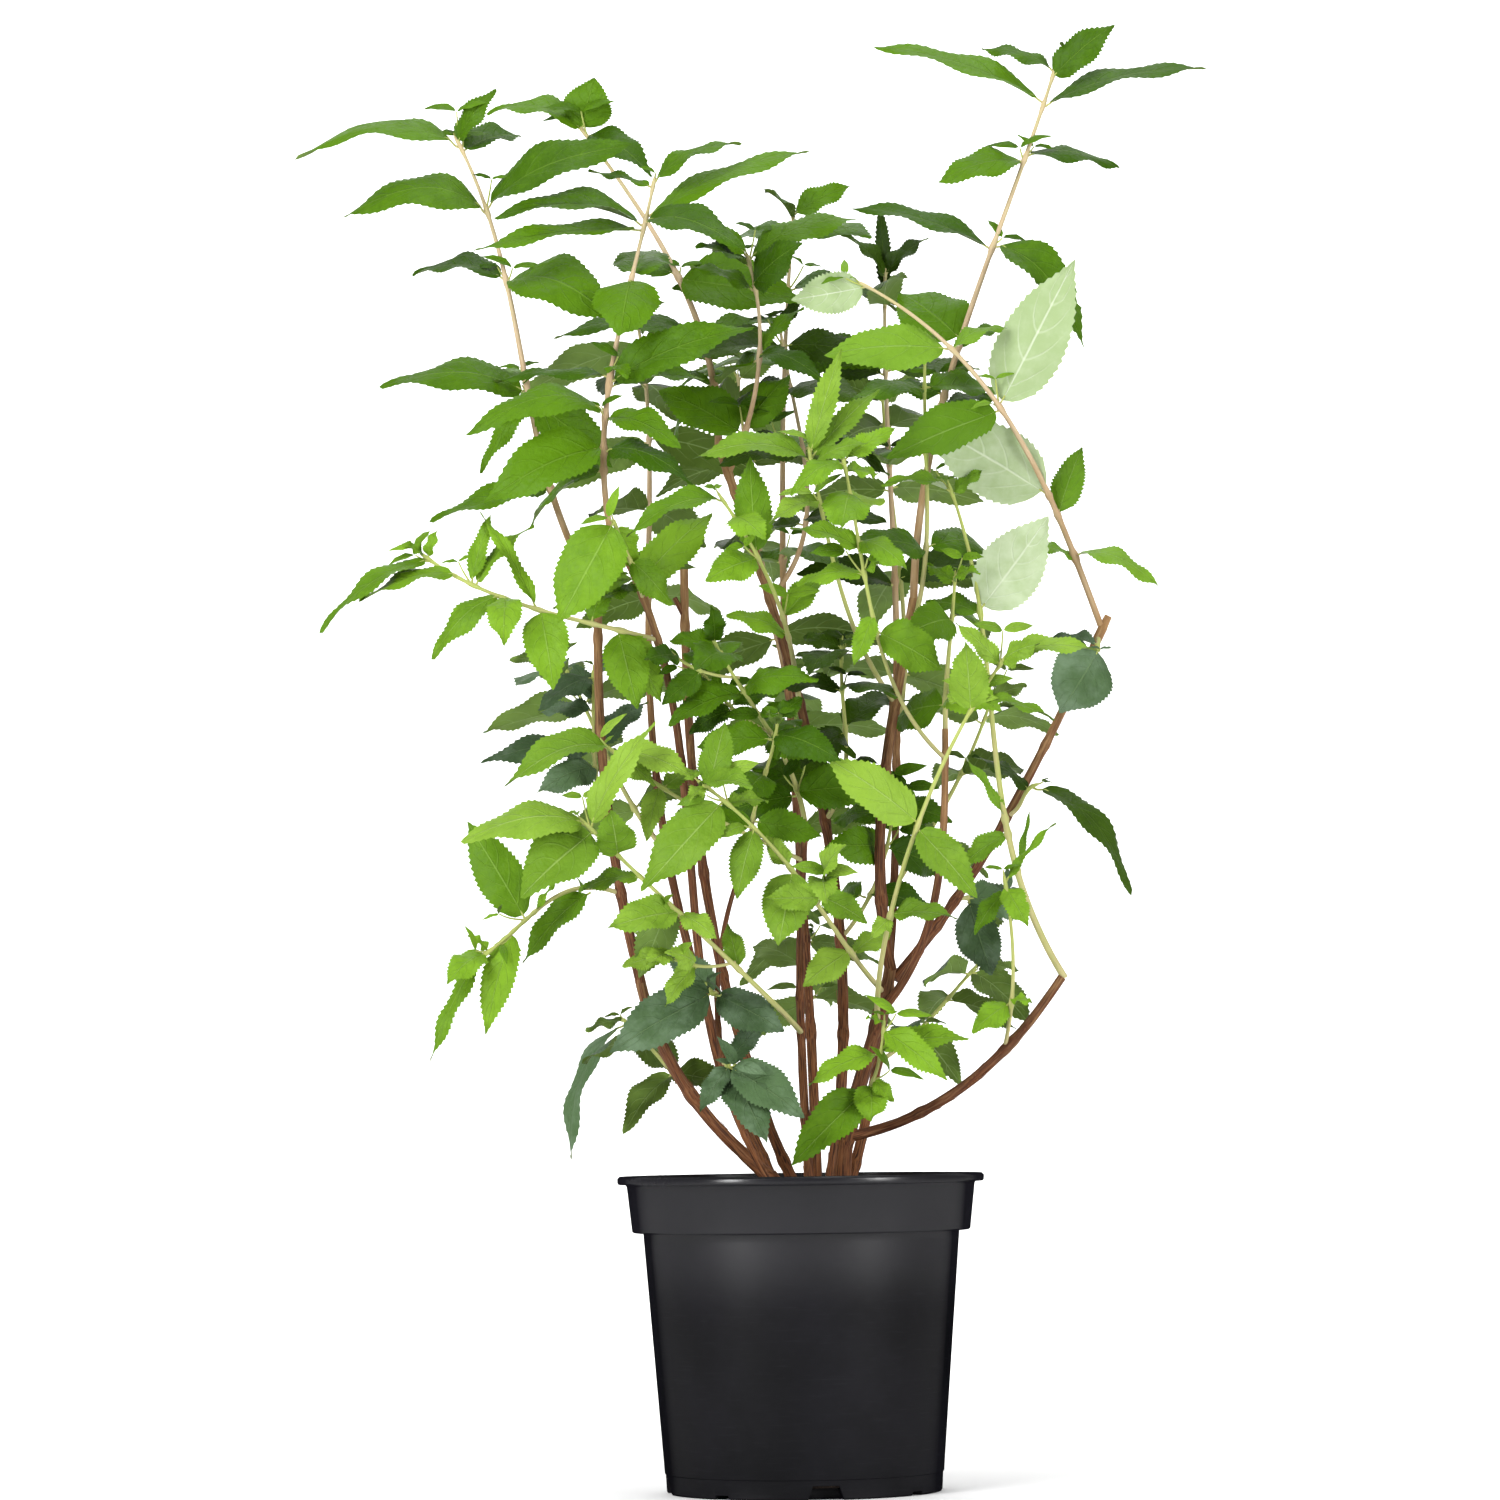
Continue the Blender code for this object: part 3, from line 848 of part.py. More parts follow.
def turned(name, profile, sides, finish):
    """A closed solid turned about Z from a profile of radius and height that starts and ends on Z."""
    shape = bmesh.new()
    verts = [shape.verts.new((r, 0, z)) for r, z in profile]
    edges = [shape.edges.new(pair) for pair in zip(verts, verts[1:])]
    bmesh.ops.spin(shape, geom=verts + edges, cent=(0, 0, 0), axis=(0, 0, 1), angle=2 * math.pi,
                   steps=sides)
    bmesh.ops.remove_doubles(shape, verts=shape.verts, dist=1e-5)
    bmesh.ops.recalc_face_normals(shape, faces=shape.faces)
    mesh = bpy.data.meshes.new(name)
    shape.to_mesh(mesh)
    shape.free()
    mesh.materials.append(finish)
    obj = bpy.data.objects.new(name, mesh)
    bpy.context.scene.collection.objects.link(obj)
    return obj


def pot_profile():
    lip_foot = POT_HEIGHT - LIP_DEPTH
    return [
        (0, 0),
        (PAD_RADIUS, 0),
        (PAD_RADIUS + 0.003, DRAIN_RECESS),
        (FOOT_RADIUS - FOOT_RING - 0.002, DRAIN_RECESS),
        (FOOT_RADIUS - FOOT_RING, 0),
        (FOOT_RADIUS - 0.0008, 0),
        (FOOT_RADIUS, 0.0010),
        (FOOT_RADIUS + 0.0006, 0.0118),
        (FOOT_RADIUS + 0.0012, 0.0122),
        (BODY_TOP_RADIUS, BAND_FOOT),
        (BAND_FOOT_RADIUS, BAND_FOOT + 0.0006),
        (BAND_TOP_RADIUS, lip_foot),
        (RIM_RADIUS - 0.0005, lip_foot + 0.0003),
        (RIM_RADIUS, POT_HEIGHT - 0.0010),
        (RIM_RADIUS - 0.0010, POT_HEIGHT),
        (BAND_TOP_RADIUS - WALL, POT_HEIGHT),
        (BAND_FOOT_RADIUS - WALL, BAND_FOOT + 0.0030),
        (BODY_TOP_RADIUS - WALL, BAND_FOOT + 0.0020),
        (FOOT_RADIUS - WALL, FLOOR_TOP),
        (0, FLOOR_TOP),
    ]


def slot_cutter(number, collection):
    """A trapezoid prism that cuts one drain slot through the foot ring."""
    low_width, high_width, height = SHALLOW_SLOT if number % 2 else DEEP_SLOT
    turn = math.radians(FIRST_SLOT_DEG + 360 * number / SLOTS)
    outward = Vector((math.cos(turn), math.sin(turn), 0))
    sideways = Vector((-math.sin(turn), math.cos(turn), 0))
    under = 0.004
    flank = (low_width - high_width) / 2 / height
    outline = [(-low_width / 2 - flank * under, -under), (low_width / 2 + flank * under, -under),
               (high_width / 2, height), (-high_width / 2, height)]
    points = []
    for reach in (SLOT_INNER_RADIUS, SLOT_OUTER_RADIUS):
        for along, rise in outline:
            points.append(outward * reach + sideways * along + Vector((0, 0, rise)))
    faces = [(3, 2, 1, 0), (4, 5, 6, 7)]
    faces += [(k, (k + 1) % 4, 4 + (k + 1) % 4, 4 + k) for k in range(4)]
    return put_object(f"slot_{number}", points, faces, collection=collection)


def make_pot(finish):
    pot = turned("pot", pot_profile(), POT_SIDES, finish)
    cutters = bpy.data.collections.new("slot cutters")
    bpy.context.scene.collection.children.link(cutters)
    for number in range(SLOTS):
        slot_cutter(number, cutters)
    combine(pot, cutters, "DIFFERENCE")


def make_soil(finish):
    gap = CLEAR + 0.0004
    step = BAND_FOOT + 0.0020 + gap + 0.0012
    inner_foot = FOOT_RADIUS - WALL - gap
    inner_body = BODY_TOP_RADIUS - WALL - gap
    share = (SOIL_TOP - BAND_FOOT) / (POT_HEIGHT - LIP_DEPTH - BAND_FOOT)
    top = BAND_FOOT_RADIUS + (BAND_TOP_RADIUS - BAND_FOOT_RADIUS) * share - WALL - gap - 0.0008
    profile = [(0, FLOOR_TOP + CLEAR), (inner_foot - 0.0006, FLOOR_TOP + CLEAR),
               (inner_body, step - 0.0010), (inner_body + 0.0040, step + 0.0006), (top, SOIL_TOP),
               (0, SOIL_TOP)]
    turned("potting_soil", profile, SOIL_SIDES, finish)


def combine(target, collection, operation):
    """Applies one Boolean of a collection's objects to the target, and removes those objects."""
    step = target.modifiers.new("combine", "BOOLEAN")
    step.operand_type = "COLLECTION"
    step.collection = collection
    step.operation = operation
    step.solver = "EXACT" if operation == "DIFFERENCE" else "MANIFOLD"
    bpy.context.view_layer.objects.active = target
    with bpy.context.temp_override(object=target, active_object=target):
        bpy.ops.object.modifier_apply(modifier=step.name)
    for obj in list(collection.objects):
        bpy.data.objects.remove(obj)
    bpy.data.collections.remove(collection)


def make_spray(spray, growth, finish):
    """One solid of a spray's stem, its side twigs and its leaves."""
    (stem, _), *others = growth.twigs[spray.name]
    target = put_object(spray.name, *stem.solid(), finish)
    parts = bpy.data.collections.new(spray.name + " parts")
    bpy.context.scene.collection.children.link(parts)
    for twig, _ in others:
        put_object("twig", *twig.solid(), collection=parts)
    for leaf in growth.leaves[spray.name]:
        put_object("leaf", leaf_points(*leaf), LEAF_FACES, collection=parts)
    combine(target, parts, "UNION")
    return target


def main():
    for obj in list(bpy.data.objects):
        bpy.data.objects.remove(obj)
    bark = material("bark", BARK_COLOUR, 0.75)
    tones = {name: material(f"leaf_{name}", colour, 0.5) for name, colour in LEAF_TONES.items()}
    make_pot(material("pot_plastic", POT_COLOUR, 0.42))
    make_soil(material("soil", SOIL_COLOUR, 0.95))
    growth = Growth()
    for limb in LIMBS:
        put_object(limb.name, *growth.grow_limb(limb), bark)
    for spray in SPRAYS:
        growth.grow_stems(spray)
    for spray in SPRAYS:
        growth.grow_leaves(spray)
    for spray in SPRAYS:
        make_spray(spray, growth, tones[spray.tone])
    return growth


if __name__ == "__main__":
    main()
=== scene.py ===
"""The looks of a potted deutzia shrub: barked canes, paired toothed leaves, a black pot and its compost.

Metres, +Z up. The origin is the middle of the pot's flat underside, +X is to the right and +Y to the back.
The canes and shoots follow the same named curves as the solids, so each finer piece stays where its solid is.
Leaves stand in pairs at the nodes of the shoots, and finer twigs in their axils carry young pairs.
"""

import json
import logging
import math
from dataclasses import dataclass
from enum import Enum
from random import Random
from typing import Callable, Iterable, Optional, Sequence

import bpy
from mathutils import Matrix, Vector, noise
from mathutils.bvhtree import BVHTree

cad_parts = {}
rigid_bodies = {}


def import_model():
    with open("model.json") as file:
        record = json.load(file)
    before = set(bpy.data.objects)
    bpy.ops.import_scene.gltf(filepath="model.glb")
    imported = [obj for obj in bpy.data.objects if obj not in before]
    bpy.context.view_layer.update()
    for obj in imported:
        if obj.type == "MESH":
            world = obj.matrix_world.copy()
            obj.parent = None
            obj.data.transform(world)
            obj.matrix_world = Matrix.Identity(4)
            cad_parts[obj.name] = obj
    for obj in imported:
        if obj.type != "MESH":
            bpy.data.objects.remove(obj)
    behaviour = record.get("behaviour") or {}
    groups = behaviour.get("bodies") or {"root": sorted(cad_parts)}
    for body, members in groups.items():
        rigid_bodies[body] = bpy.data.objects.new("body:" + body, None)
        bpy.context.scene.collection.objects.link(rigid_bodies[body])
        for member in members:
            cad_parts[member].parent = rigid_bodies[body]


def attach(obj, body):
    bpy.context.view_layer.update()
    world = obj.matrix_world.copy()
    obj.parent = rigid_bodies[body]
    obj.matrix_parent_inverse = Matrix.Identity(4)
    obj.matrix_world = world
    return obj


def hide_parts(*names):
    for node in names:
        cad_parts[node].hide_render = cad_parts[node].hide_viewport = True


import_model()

log = logging.getLogger("deutzia")

Triple = tuple[float, float, float]
Face = tuple[int, ...]
Solid = tuple[list[Vector], list[Face]]

BODY = "root"

# The way that limbs and shoots are built, as in the solids
HANDLE = 0.36
LIMB_SIDES = 6
RING_SPACING = 0.034
FLARE = 0.28
FLARE_HEIGHT = 0.016
TAPER_POWER = 0.85
CLEAR = 0.0003
JOIN_STEPS = 12
TWIG_SIDES = 3
TWIG_SPACING = 0.044
TWIG_TIP = 0.0009
LAST_PAIR = 0.985
CROWDING = 1.7
TERMINAL_SIZE = 0.46
TERMINAL_SPREAD = 26
SIDE_TWIG_PAIRS = 2
SIDE_TWIG_RADIUS = 0.0010
SIDE_LEAF_SIZE = 0.55

# The way that leaves are set, as in the solids
PETIOLE_SHARE = 0.40
ROOT_OFF_MIDDLE = 0.00012
PAIR_STEP = 0.0026
LEVELLING = 0.5
ROLL_DEG = 20
KEEL_AT = 0.45
LEAF_STATIONS = ((0.28, 0.47, 1.0), (0.62, 0.38, 0.9))
LEAF_THICKNESS = 0.014
LEAST_THICKNESS = 0.0009
LOWEST_LEAF = 0.1965
KEEP_CLEAR = 0.0010
ROOMS = ((0.0, 0.0), (KEEP_CLEAR, KEEP_CLEAR), (KEEP_CLEAR, -KEEP_CLEAR))
LEAF_FACES = (
    (0, 3, 2), (2, 3, 5), (2, 5, 4), (4, 5, 6), (0, 2, 1), (1, 2, 7), (2, 4, 7), (4, 6, 7), (0, 1, 3),
    (1, 7, 3), (3, 7, 5), (5, 7, 6),
)

# Turns tried for a leaf that would touch something: round its stem and off it, and its share of size
NUDGES = (
    (0, 0, 1.0), (17, 0, 1.0), (-17, 0, 1.0), (0, 16, 0.94), (32, 6, 0.9), (-32, 6, 0.9), (0, -18, 0.84),
    (50, 10, 0.76), (-50, 10, 0.76), (24, -24, 0.66), (-24, -24, 0.66),
)

# The finer twigs
YOUNG_SHARE = 0.28
YOUNG_TWIG = (0.005, 0.018)
YOUNG_LEAF = (0.010, 0.024)
YOUNG_TWIG_RADIUS = 0.0007
YOUNG_SPREAD = 58
BUD_LEAF = (0.007, 0.013)
WOODY_SHOOT_HEIGHT = 0.70

# What is added to a seed for each kind of draw
LEAF_DRAW = 500
YOUNG_DRAW = 900
MOOD_DRAW = 1300
KNOT_DRAW = 3000
PEEL_DRAW = 4000


class Light(Enum):
    """The way that the upper faces of leaves look, or away from the viewer so that undersides show."""

    OPEN = (0.0, -0.6, 1.0)
    EVEN = (0.0, -1.0, 1.0)
    STEEP = (0.0, -1.0, 0.45)
    SIDE = (0.3, -1.0, 0.1)
    BACK = (0.0, 0.8, 1.0)
    LEFT = (-0.8, -0.4, 1.0)
    AWAY = (0.1, 1.0, 0.25)


OPEN, EVEN, STEEP, SIDE, BACK, LEFT, AWAY = Light


class Tone(Enum):
    """The six tones of leaf, each with the name of its material slot."""

    FRESH = "leaf_fresh"
    BRIGHT = "leaf_bright"
    MID = "leaf_mid"
    # painted shade: a darker copy of the mid green, for the leaves inside and at the back of the crown
    DEEP = "leaf_deep"
    BLUE = "leaf_blue"
    PALE = "leaf_pale"


FRESH, BRIGHT, MID, DEEP, BLUE, PALE = Tone


@dataclass(frozen=True)
class Limb:
    """A woody limb. With no parent it stands in the soil at foot, or else it leaves its parent."""

    name: str
    tip: Triple
    leave: Triple
    arrive: Triple
    radii: tuple[float, float]
    parent: str = ""
    at: float = 1.0
    foot: tuple[float, float] = (0.0, 0.0)


@dataclass(frozen=True)
class Blade:
    """A listed leaf: its place up the stem, compass (0 is right, 90 back), rise, length and shape."""

    at: float
    compass: float
    rise: float
    length: float
    width: float = 0.42
    arch: float = 0.10
    light: Light = EVEN


@dataclass(frozen=True)
class Spray:
    """A leafy shoot: its stem, the pairs of leaves on it or its set leaves, and its side twigs."""

    place: str
    parent: str
    at: float
    tip: Triple
    leave: Triple
    arrive: Triple
    tone: Tone
    seed: int
    pairs: int = 0
    leaf: tuple[float, float] = (0.05, 0.05)
    first: float = 0.30
    face: float = 0
    swing: float = 45
    spread: float = 64
    width: float = 0.40
    arch: float = 0.10
    sag: float = 18
    light: Light = EVEN
    twigs: int = 0
    radius: float = 0.0014

    @property
    def name(self) -> str:
        """The name of the mass of foliage that it makes."""
        return f"foliage_{self.place}"

    @property
    def blades(self) -> tuple[Blade, ...]:
        """Its listed leaves."""
        return tuple(Blade(*row) for row in SET_LEAVES.get(self.place, ()))


@dataclass(frozen=True)
class LeafPlace:
    """Where one leaf stands: its root, its direction, its upper side, its size and its shape."""

    root: Vector
    along: Vector
    up: Vector
    length: float
    width: float
    arch: float
    petiole: float

    def corners(self, grow: float = 0.0, lift: float = 0.0) -> list[Vector]:
        """The eight corners of the leaf's solid, or of a larger one moved up or down.

        Args:
            grow: how much wider and longer the leaf is made all round.
            lift: how far it is moved to its upper side.

        Returns:
            The corners, in the order that LEAF_FACES reads.
        """
        left = self.up.cross(self.along)
        thick = max(LEAST_THICKNESS, self.length * LEAF_THICKNESS)
        corners = [self.root + self.up * self.petiole, self.root - self.up * self.petiole]
        for share, half, rise in LEAF_STATIONS:
            high = rise * self.arch * self.length + lift
            middle = self.root + self.along * (share * self.length) + self.up * high
            spread = left * (half * self.width * self.length + grow)
            corners += [middle + spread, middle - spread]
        tip = self.root + self.along * (self.length + grow) + self.up * lift
        keel = self.arch * self.length - thick + lift
        return corners + [tip, self.root + self.along * (KEEL_AT * self.length) + self.up * keel]


LIMBS = (
    Limb("main_stem", (0.057, 0, 0.32), (-0.08, 0, 1), (0.16, 0, 0.99), (0.0052, 0.004), foot=(0.026, 0)),
    Limb("bough_main_upper", (0.075, 0.004, 0.55), (-0.18, 0, 0.98), (0.18, 0, 0.98), (0.0038, 0.0028),
         parent="main_stem"),
    Limb("left_cane", (-0.097, -0.02, 0.315), (-0.8, -0.02, 0.6), (-0.2, 0, 0.98), (0.0042, 0.0033),
         foot=(0.004, -0.01)),
    Limb("bough_left_upper", (-0.12, -0.02, 0.549), (-0.23, 0, 0.97), (0.03, 0, 1), (0.0033, 0.0026),
         parent="left_cane"),
    Limb("left_inner_cane", (-0.11, -0.078, 0.586), (-0.61, 0.16, 0.78), (-0.5, -0.1, 0.86),
         (0.0032, 0.0021), foot=(-0.006, 0.012)),
    Limb("centre_cane", (-0.045, 0.03, 0.649), (0.19, 0.04, 0.98), (-0.32, 0, 0.95), (0.0036, 0.0026),
         foot=(0.016, 0.024)),
    Limb("left_centre_cane", (0.006, -0.034, 0.405), (-0.05, -0.04, 1), (0.1, -0.05, 1), (0.003, 0.002),
         foot=(0.006, -0.028)),
    Limb("thin_cane", (-0.028, -0.056, 0.393), (-0.6, -0.16, 0.78), (0.42, 0, 0.9), (0.0021, 0.0014),
         foot=(-0.008, -0.042)),
    Limb("bough_right_low", (0.162, -0.022, 0.313), (0.94, -0.2, 0.2), (0.56, 0, 0.83), (0.0033, 0.0027),
         parent="main_stem", at=0.28),
    Limb("bough_right_upper", (0.197, 0.024, 0.539), (0.64, 0.22, 0.74), (0.45, 0, 0.89), (0.0032, 0.0024),
         parent="main_stem", at=0.91),
    Limb("bough_right_inner", (0.093, -0.014, 0.467), (0.58, -0.45, 0.7), (0.02, 0.08, 1), (0.0028, 0.002),
         parent="main_stem", at=0.82),
    Limb("cut_cane", (-0.068, 0.034, 0.573), (-0.42, 0.1, 0.9), (0, -0.06, 1), (0.0034, 0.0026),
         foot=(0.002, 0.034)),
    Limb("back_left_cane", (-0.092, 0.086, 0.545), (-0.4, 0.28, 0.86), (0.02, 0.04, 1), (0.0034, 0.0021),
         foot=(-0.01, 0.05)),
    Limb("back_cane", (-0.006, 0.116, 0.56), (0, 0.45, 0.9), (-0.04, 0, 1), (0.0034, 0.0021),
         foot=(0.01, 0.05)),
    Limb("back_right_cane", (0.066, 0.106, 0.53), (0.3, 0.42, 0.86), (0.02, 0.06, 1), (0.0033, 0.0021),
         foot=(0.026, 0.032)),
)

# The leaves listed one by one for each shoot, read as a Blade
SET_LEAVES = {
    "left_tall": (
        (0.241, 203, -17, 0.082, 0.25, 0.08), (0.42, 201, -51, 0.054, 0.22, 0.12),
        (0.435, 18, -55, 0.08, 0.47, 0.06, STEEP), (0.444, 184, 5, 0.092, 0.35, 0.14),
        (0.475, 125, 12, 0.042, 0.42, 0.1, OPEN), (0.681, 336, -18, 0.079, 0.57, 0.18),
        (0.69, 157, 7, 0.066, 0.39, 0.14, OPEN), (0.833, 189, 0, 0.089, 0.39, 0.2),
        (0.842, 342, 19, 0.102, 0.37, 0.12), (0.967, 48, 18, 0.057),
        (0.976, 180, -1, 0.102, 0.29, 0.15, OPEN), (0.985, 341, 53, 0.041, 0.39),
    ),
    "left_second": (
        (0.16, 134, -20, 0.074, 0.39), (0.21, 341, -22, 0.065, 0.32, 0.16),
        (0.222, 200, -23, 0.085, 0.42, 0.14, STEEP), (0.304, 327, -21, 0.058, 0.39, 0.14),
        (0.316, 197, -8, 0.089, 0.3, 0.2), (0.396, 23, 8, 0.063, 0.3, 0.1, OPEN),
        (0.408, 352, 22, 0.095, 0.3, 0.1, STEEP), (0.426, 163, 3, 0.077, 0.17, 0.05, OPEN),
        (0.443, 306, -12, 0.03, 0.42, 0.14), (0.713, 260, -44, 0.056, 0.71, 0.06),
        (0.725, 80, 22, 0.068, 0.49, 0.06, OPEN), (0.854, 196, -8, 0.107, 0.2, 0.05, OPEN),
        (0.866, 186, 5, 0.092, 0.3, 0.13, OPEN), (0.878, 331, -17, 0.074, 0.39, 0.14),
        (0.89, 11, 24, 0.113, 0.22, 0.05, OPEN), (0.973, 159, 16, 0.046, 0.17, 0.05, OPEN),
        (0.985, 4, 26, 0.06, 0.32, 0.12, OPEN),
    ),
    "centre_tall": (
        (0.149, 134, -34, 0.05), (0.16, 204, 7, 0.049, 0.3, 0.12, OPEN),
        (0.294, 36, 14, 0.07, 0.29, 0.1, OPEN), (0.305, 190, 2, 0.094, 0.25, 0.1, OPEN),
        (0.49, 336, -15, 0.087, 0.47, 0.06, STEEP), (0.501, 137, 12, 0.06),
        (0.963, 321, -29, 0.063, 0.34, 0.12), (0.974, 163, 16, 0.069, 0.39, 0.16, OPEN),
        (0.985, 309, 68, 0.034, 0.91, 0.05, STEEP),
    ),
    "centre_upper": (
        (0.17, 159, 30, 0.064, 0.5, 0.08, STEEP), (0.199, 22, 47, 0.047, 0.5, 0.08, STEEP),
        (0.514, 125, -11, 0.045, 0.5, 0.08), (0.533, 325, -21, 0.055, 0.3, 0.14),
        (0.552, 20, 47, 0.043, 0.24, 0.08), (0.834, 208, 16, 0.045, 0.34, 0.08),
        (0.853, 314, 25, 0.049, 0.55, 0.08, STEEP), (0.947, 224, 11, 0.044, 0.42, 0.08),
        (0.966, 12, 23, 0.076, 0.32, 0.12), (0.985, 205, 22, 0.066, 0.34, 0.12),
    ),
    "crown_right": (
        (0.936, 103, 80, 0.062, 0.15, 0.03),
    ),
    "right_tall": (
        (0.336, 24, 10, 0.04, 0.34, 0.1, OPEN), (0.355, 154, 10, 0.046, 0.37),
        (0.447, 18, 23, 0.036, 0.37, 0.12, OPEN), (0.462, 140, 38, 0.06, 0.71, 0.06, STEEP),
        (0.635, 176, 20, 0.093, 0.24, 0.06, OPEN), (0.643, 350, -49, 0.088, 0.32, 0.22),
        (0.8, 198, -14, 0.059, 0.45), (0.81, 18, -2, 0.063, 0.37, 0.08, OPEN),
        (0.899, 357, 14, 0.105, 0.24, 0.07, OPEN), (0.907, 178, 20, 0.113, 0.24, 0.07, OPEN),
        (0.951, 345, 40, 0.051, 0.42, 0.06, STEEP), (0.962, 160, 21, 0.051, 0.3, 0.1, OPEN),
    ),
    "right_arch": (
        (0.151, 191, 15, 0.032, 0.39, 0.1, OPEN), (0.16, 356, -22, 0.056, 0.34, 0.16, OPEN),
        (0.259, 41, 65, 0.05, 0.37, 0.08, STEEP), (0.314, 204, 28, 0.095, 0.47, 0.05, AWAY),
        (0.55, 160, -18, 0.087, 0.4, 0.06, STEEP), (0.559, 349, 60, 0.102, 0.4, 0.04, AWAY),
        (0.734, 29, 23, 0.044, 0.32, 0.14, OPEN), (0.743, 187, -1, 0.077, 0.39, 0.06, STEEP),
        (0.982, 187, -12, 0.047, 0.52, 0.04, AWAY),
    ),
    "upper_right_front": (
        (0.793, 27, 10, 0.045), (0.826, 212, -20, 0.04, 0.39, 0.12), (0.943, 328, 18, 0.04, 0.37),
        (0.957, 189, 4, 0.073, 0.27, 0.16), (0.971, 7, 45, 0.065, 0.2, 0.06, STEEP),
        (0.985, 6, 73, 0.068, 0.21, 0.06, STEEP),
    ),
    "heart": (
        (0.48, 14, -27, 0.047, 0.62, 0.06, STEEP), (0.532, 222, -64, 0.035, 0.35, 0.06, STEEP),
        (0.655, 166, -5, 0.043, 0.35, 0.12), (0.667, 340, 20, 0.019), (0.731, 193, 16, 0.045, 0.39, 0.12),
        (0.754, 326, -27, 0.04, 0.45, 0.12), (0.893, 260, -34, 0.042, 0.67, 0.06, STEEP),
        (0.955, 41, -1, 0.027, 0.5, 0.08), (0.973, 207, -29, 0.041, 0.39, 0.18),
        (0.985, 354, 38, 0.046, 0.3, 0.08, STEEP),
    ),
    "centre_front": (
        (0.345, 195, 21, 0.041), (0.452, 20, 42, 0.039, 0.42, 0.08, STEEP),
        (0.737, 213, -21, 0.04, 0.55, 0.08, STEEP), (0.75, 224, 82, 0.06, 0.37, 0.05, STEEP),
        (0.903, 299, -23, 0.042, 0.5, 0.08), (0.97, 195, -19, 0.064, 0.27, 0.16),
    ),
    "left_mid": (
        (0.143, 23, -59, 0.05, 0.42, 0.06, STEEP), (0.16, 329, -76, 0.05, 0.52, 0.06, STEEP),
        (0.28, 63, 57, 0.041, 0.34, 0.1, STEEP), (0.491, 298, -67, 0.053, 0.5, 0.08, STEEP),
        (0.508, 170, 60, 0.07, 0.13, 0.05, OPEN), (0.635, 272, -46, 0.043, 0.47, 0.12, STEEP),
        (0.653, 196, -41, 0.058, 0.32, 0.14), (0.759, 23, 48, 0.054, 0.2, 0.08, OPEN),
        (0.776, 35, 72, 0.046, 0.22, 0.08), (0.837, 195, -16, 0.063, 0.3, 0.12, OPEN),
        (0.951, 191, -30, 0.082, 0.2, 0.1, OPEN), (0.968, 325, 68, 0.019, 0.35, 0.12),
        (0.985, 205, 28, 0.016, 0.5),
    ),
    "left_front_large": (
        (0.118, 201, -21, 0.029, 0.39), (0.16, 23, 41, 0.068, 0.4, 0.08, STEEP),
        (0.227, 153, -14, 0.055, 0.34), (0.518, 22, -44, 0.038, 0.5, 0.08, STEEP),
        (0.935, 51, -39, 0.036, 0.42, 0.1, STEEP), (0.985, 194, -63, 0.071, 0.54, 0.06, STEEP),
    ),
    "left_dark": (
        (0.439, 223, -17, 0.052, 0.42, 0.1, STEEP), (0.537, 196, -5, 0.073, 0.3),
        (0.562, 32, 40, 0.049, 0.39), (0.772, 167, 2, 0.036), (0.838, 122, 46, 0.034),
        (0.957, 218, -26, 0.048, 0.39), (0.981, 35, 25, 0.039),
    ),
    "left_bright": (
        (0.566, 136, -47, 0.034), (0.726, 43, 23, 0.032, 0.39, 0.08),
        (0.743, 218, -68, 0.035, 0.39, 0.08, STEEP), (0.951, 350, -41, 0.03, 0.44, 0.08, STEEP),
        (0.968, 342, -19, 0.053, 0.39, 0.12), (0.985, 208, -17, 0.075, 0.32, 0.18),
    ),
    "centre_bright": (
        (0.204, 39, 27, 0.036, 0.42, 0.08), (0.227, 199, -34, 0.037, 0.54, 0.06, STEEP),
        (0.602, 250, -67, 0.049, 0.6, 0.05, STEEP), (0.619, 163, 54, 0.024, 0.5, 0.06, STEEP),
        (0.787, 208, -73, 0.044, 0.42, 0.08, STEEP), (0.894, 29, 7, 0.029, 0.42, 0.08),
        (0.906, 201, -47, 0.075, 0.42, 0.06, STEEP), (0.961, 46, 68, 0.045, 0.42, 0.06, STEEP),
        (0.973, 235, -25, 0.019, 0.5, 0.08), (0.985, 313, -4, 0.044, 0.45),
    ),
    "front_bright": (
        (0.338, 226, -34, 0.02, 0.5, 0.08, STEEP), (0.348, 346, -3, 0.041),
        (0.563, 328, -46, 0.059, 0.39, 0.06, STEEP), (0.573, 194, 36, 0.071, 0.4, 0.06, STEEP),
        (0.846, 264, 64, 0.045, 0.52, 0.05, STEEP), (0.856, 122, 26, 0.029, 0.5, 0.08, STEEP),
        (0.877, 343, -16, 0.049, 0.22, 0.08, OPEN), (0.965, 197, 44, 0.038, 0.3, 0.08, STEEP),
        (0.975, 317, 19, 0.031, 0.5, 0.1, STEEP), (0.985, 352, 6, 0.056, 0.29, 0.12),
    ),
    "right_side_low": (
        (0.86, 2, -46, 0.09, 0.24, 0.16, OPEN), (0.7, 186, 32, 0.042, 0.34, 0.1, OPEN),
    ),
    "right_side_high": (
        (0.9, 204, -55, 0.049, 0.8, 0.06, SIDE), (0.62, 150, 10, 0.036, 0.38, 0.1, OPEN),
    ),
    "front_left": (
        (0.399, 120, 68, 0.03, 0.42, 0.08), (0.631, 326, -31, 0.029, 0.5),
        (0.643, 211, -13, 0.048, 0.47, 0.1, STEEP), (0.676, 146, -64, 0.049, 0.47, 0.1, AWAY),
        (0.776, 166, -8, 0.04, 0.35), (0.863, 265, 43, 0.036, 0.64, 0.06, STEEP),
        (0.952, 230, -36, 0.064, 0.59, 0.08, STEEP), (0.964, 354, 57, 0.075, 0.25),
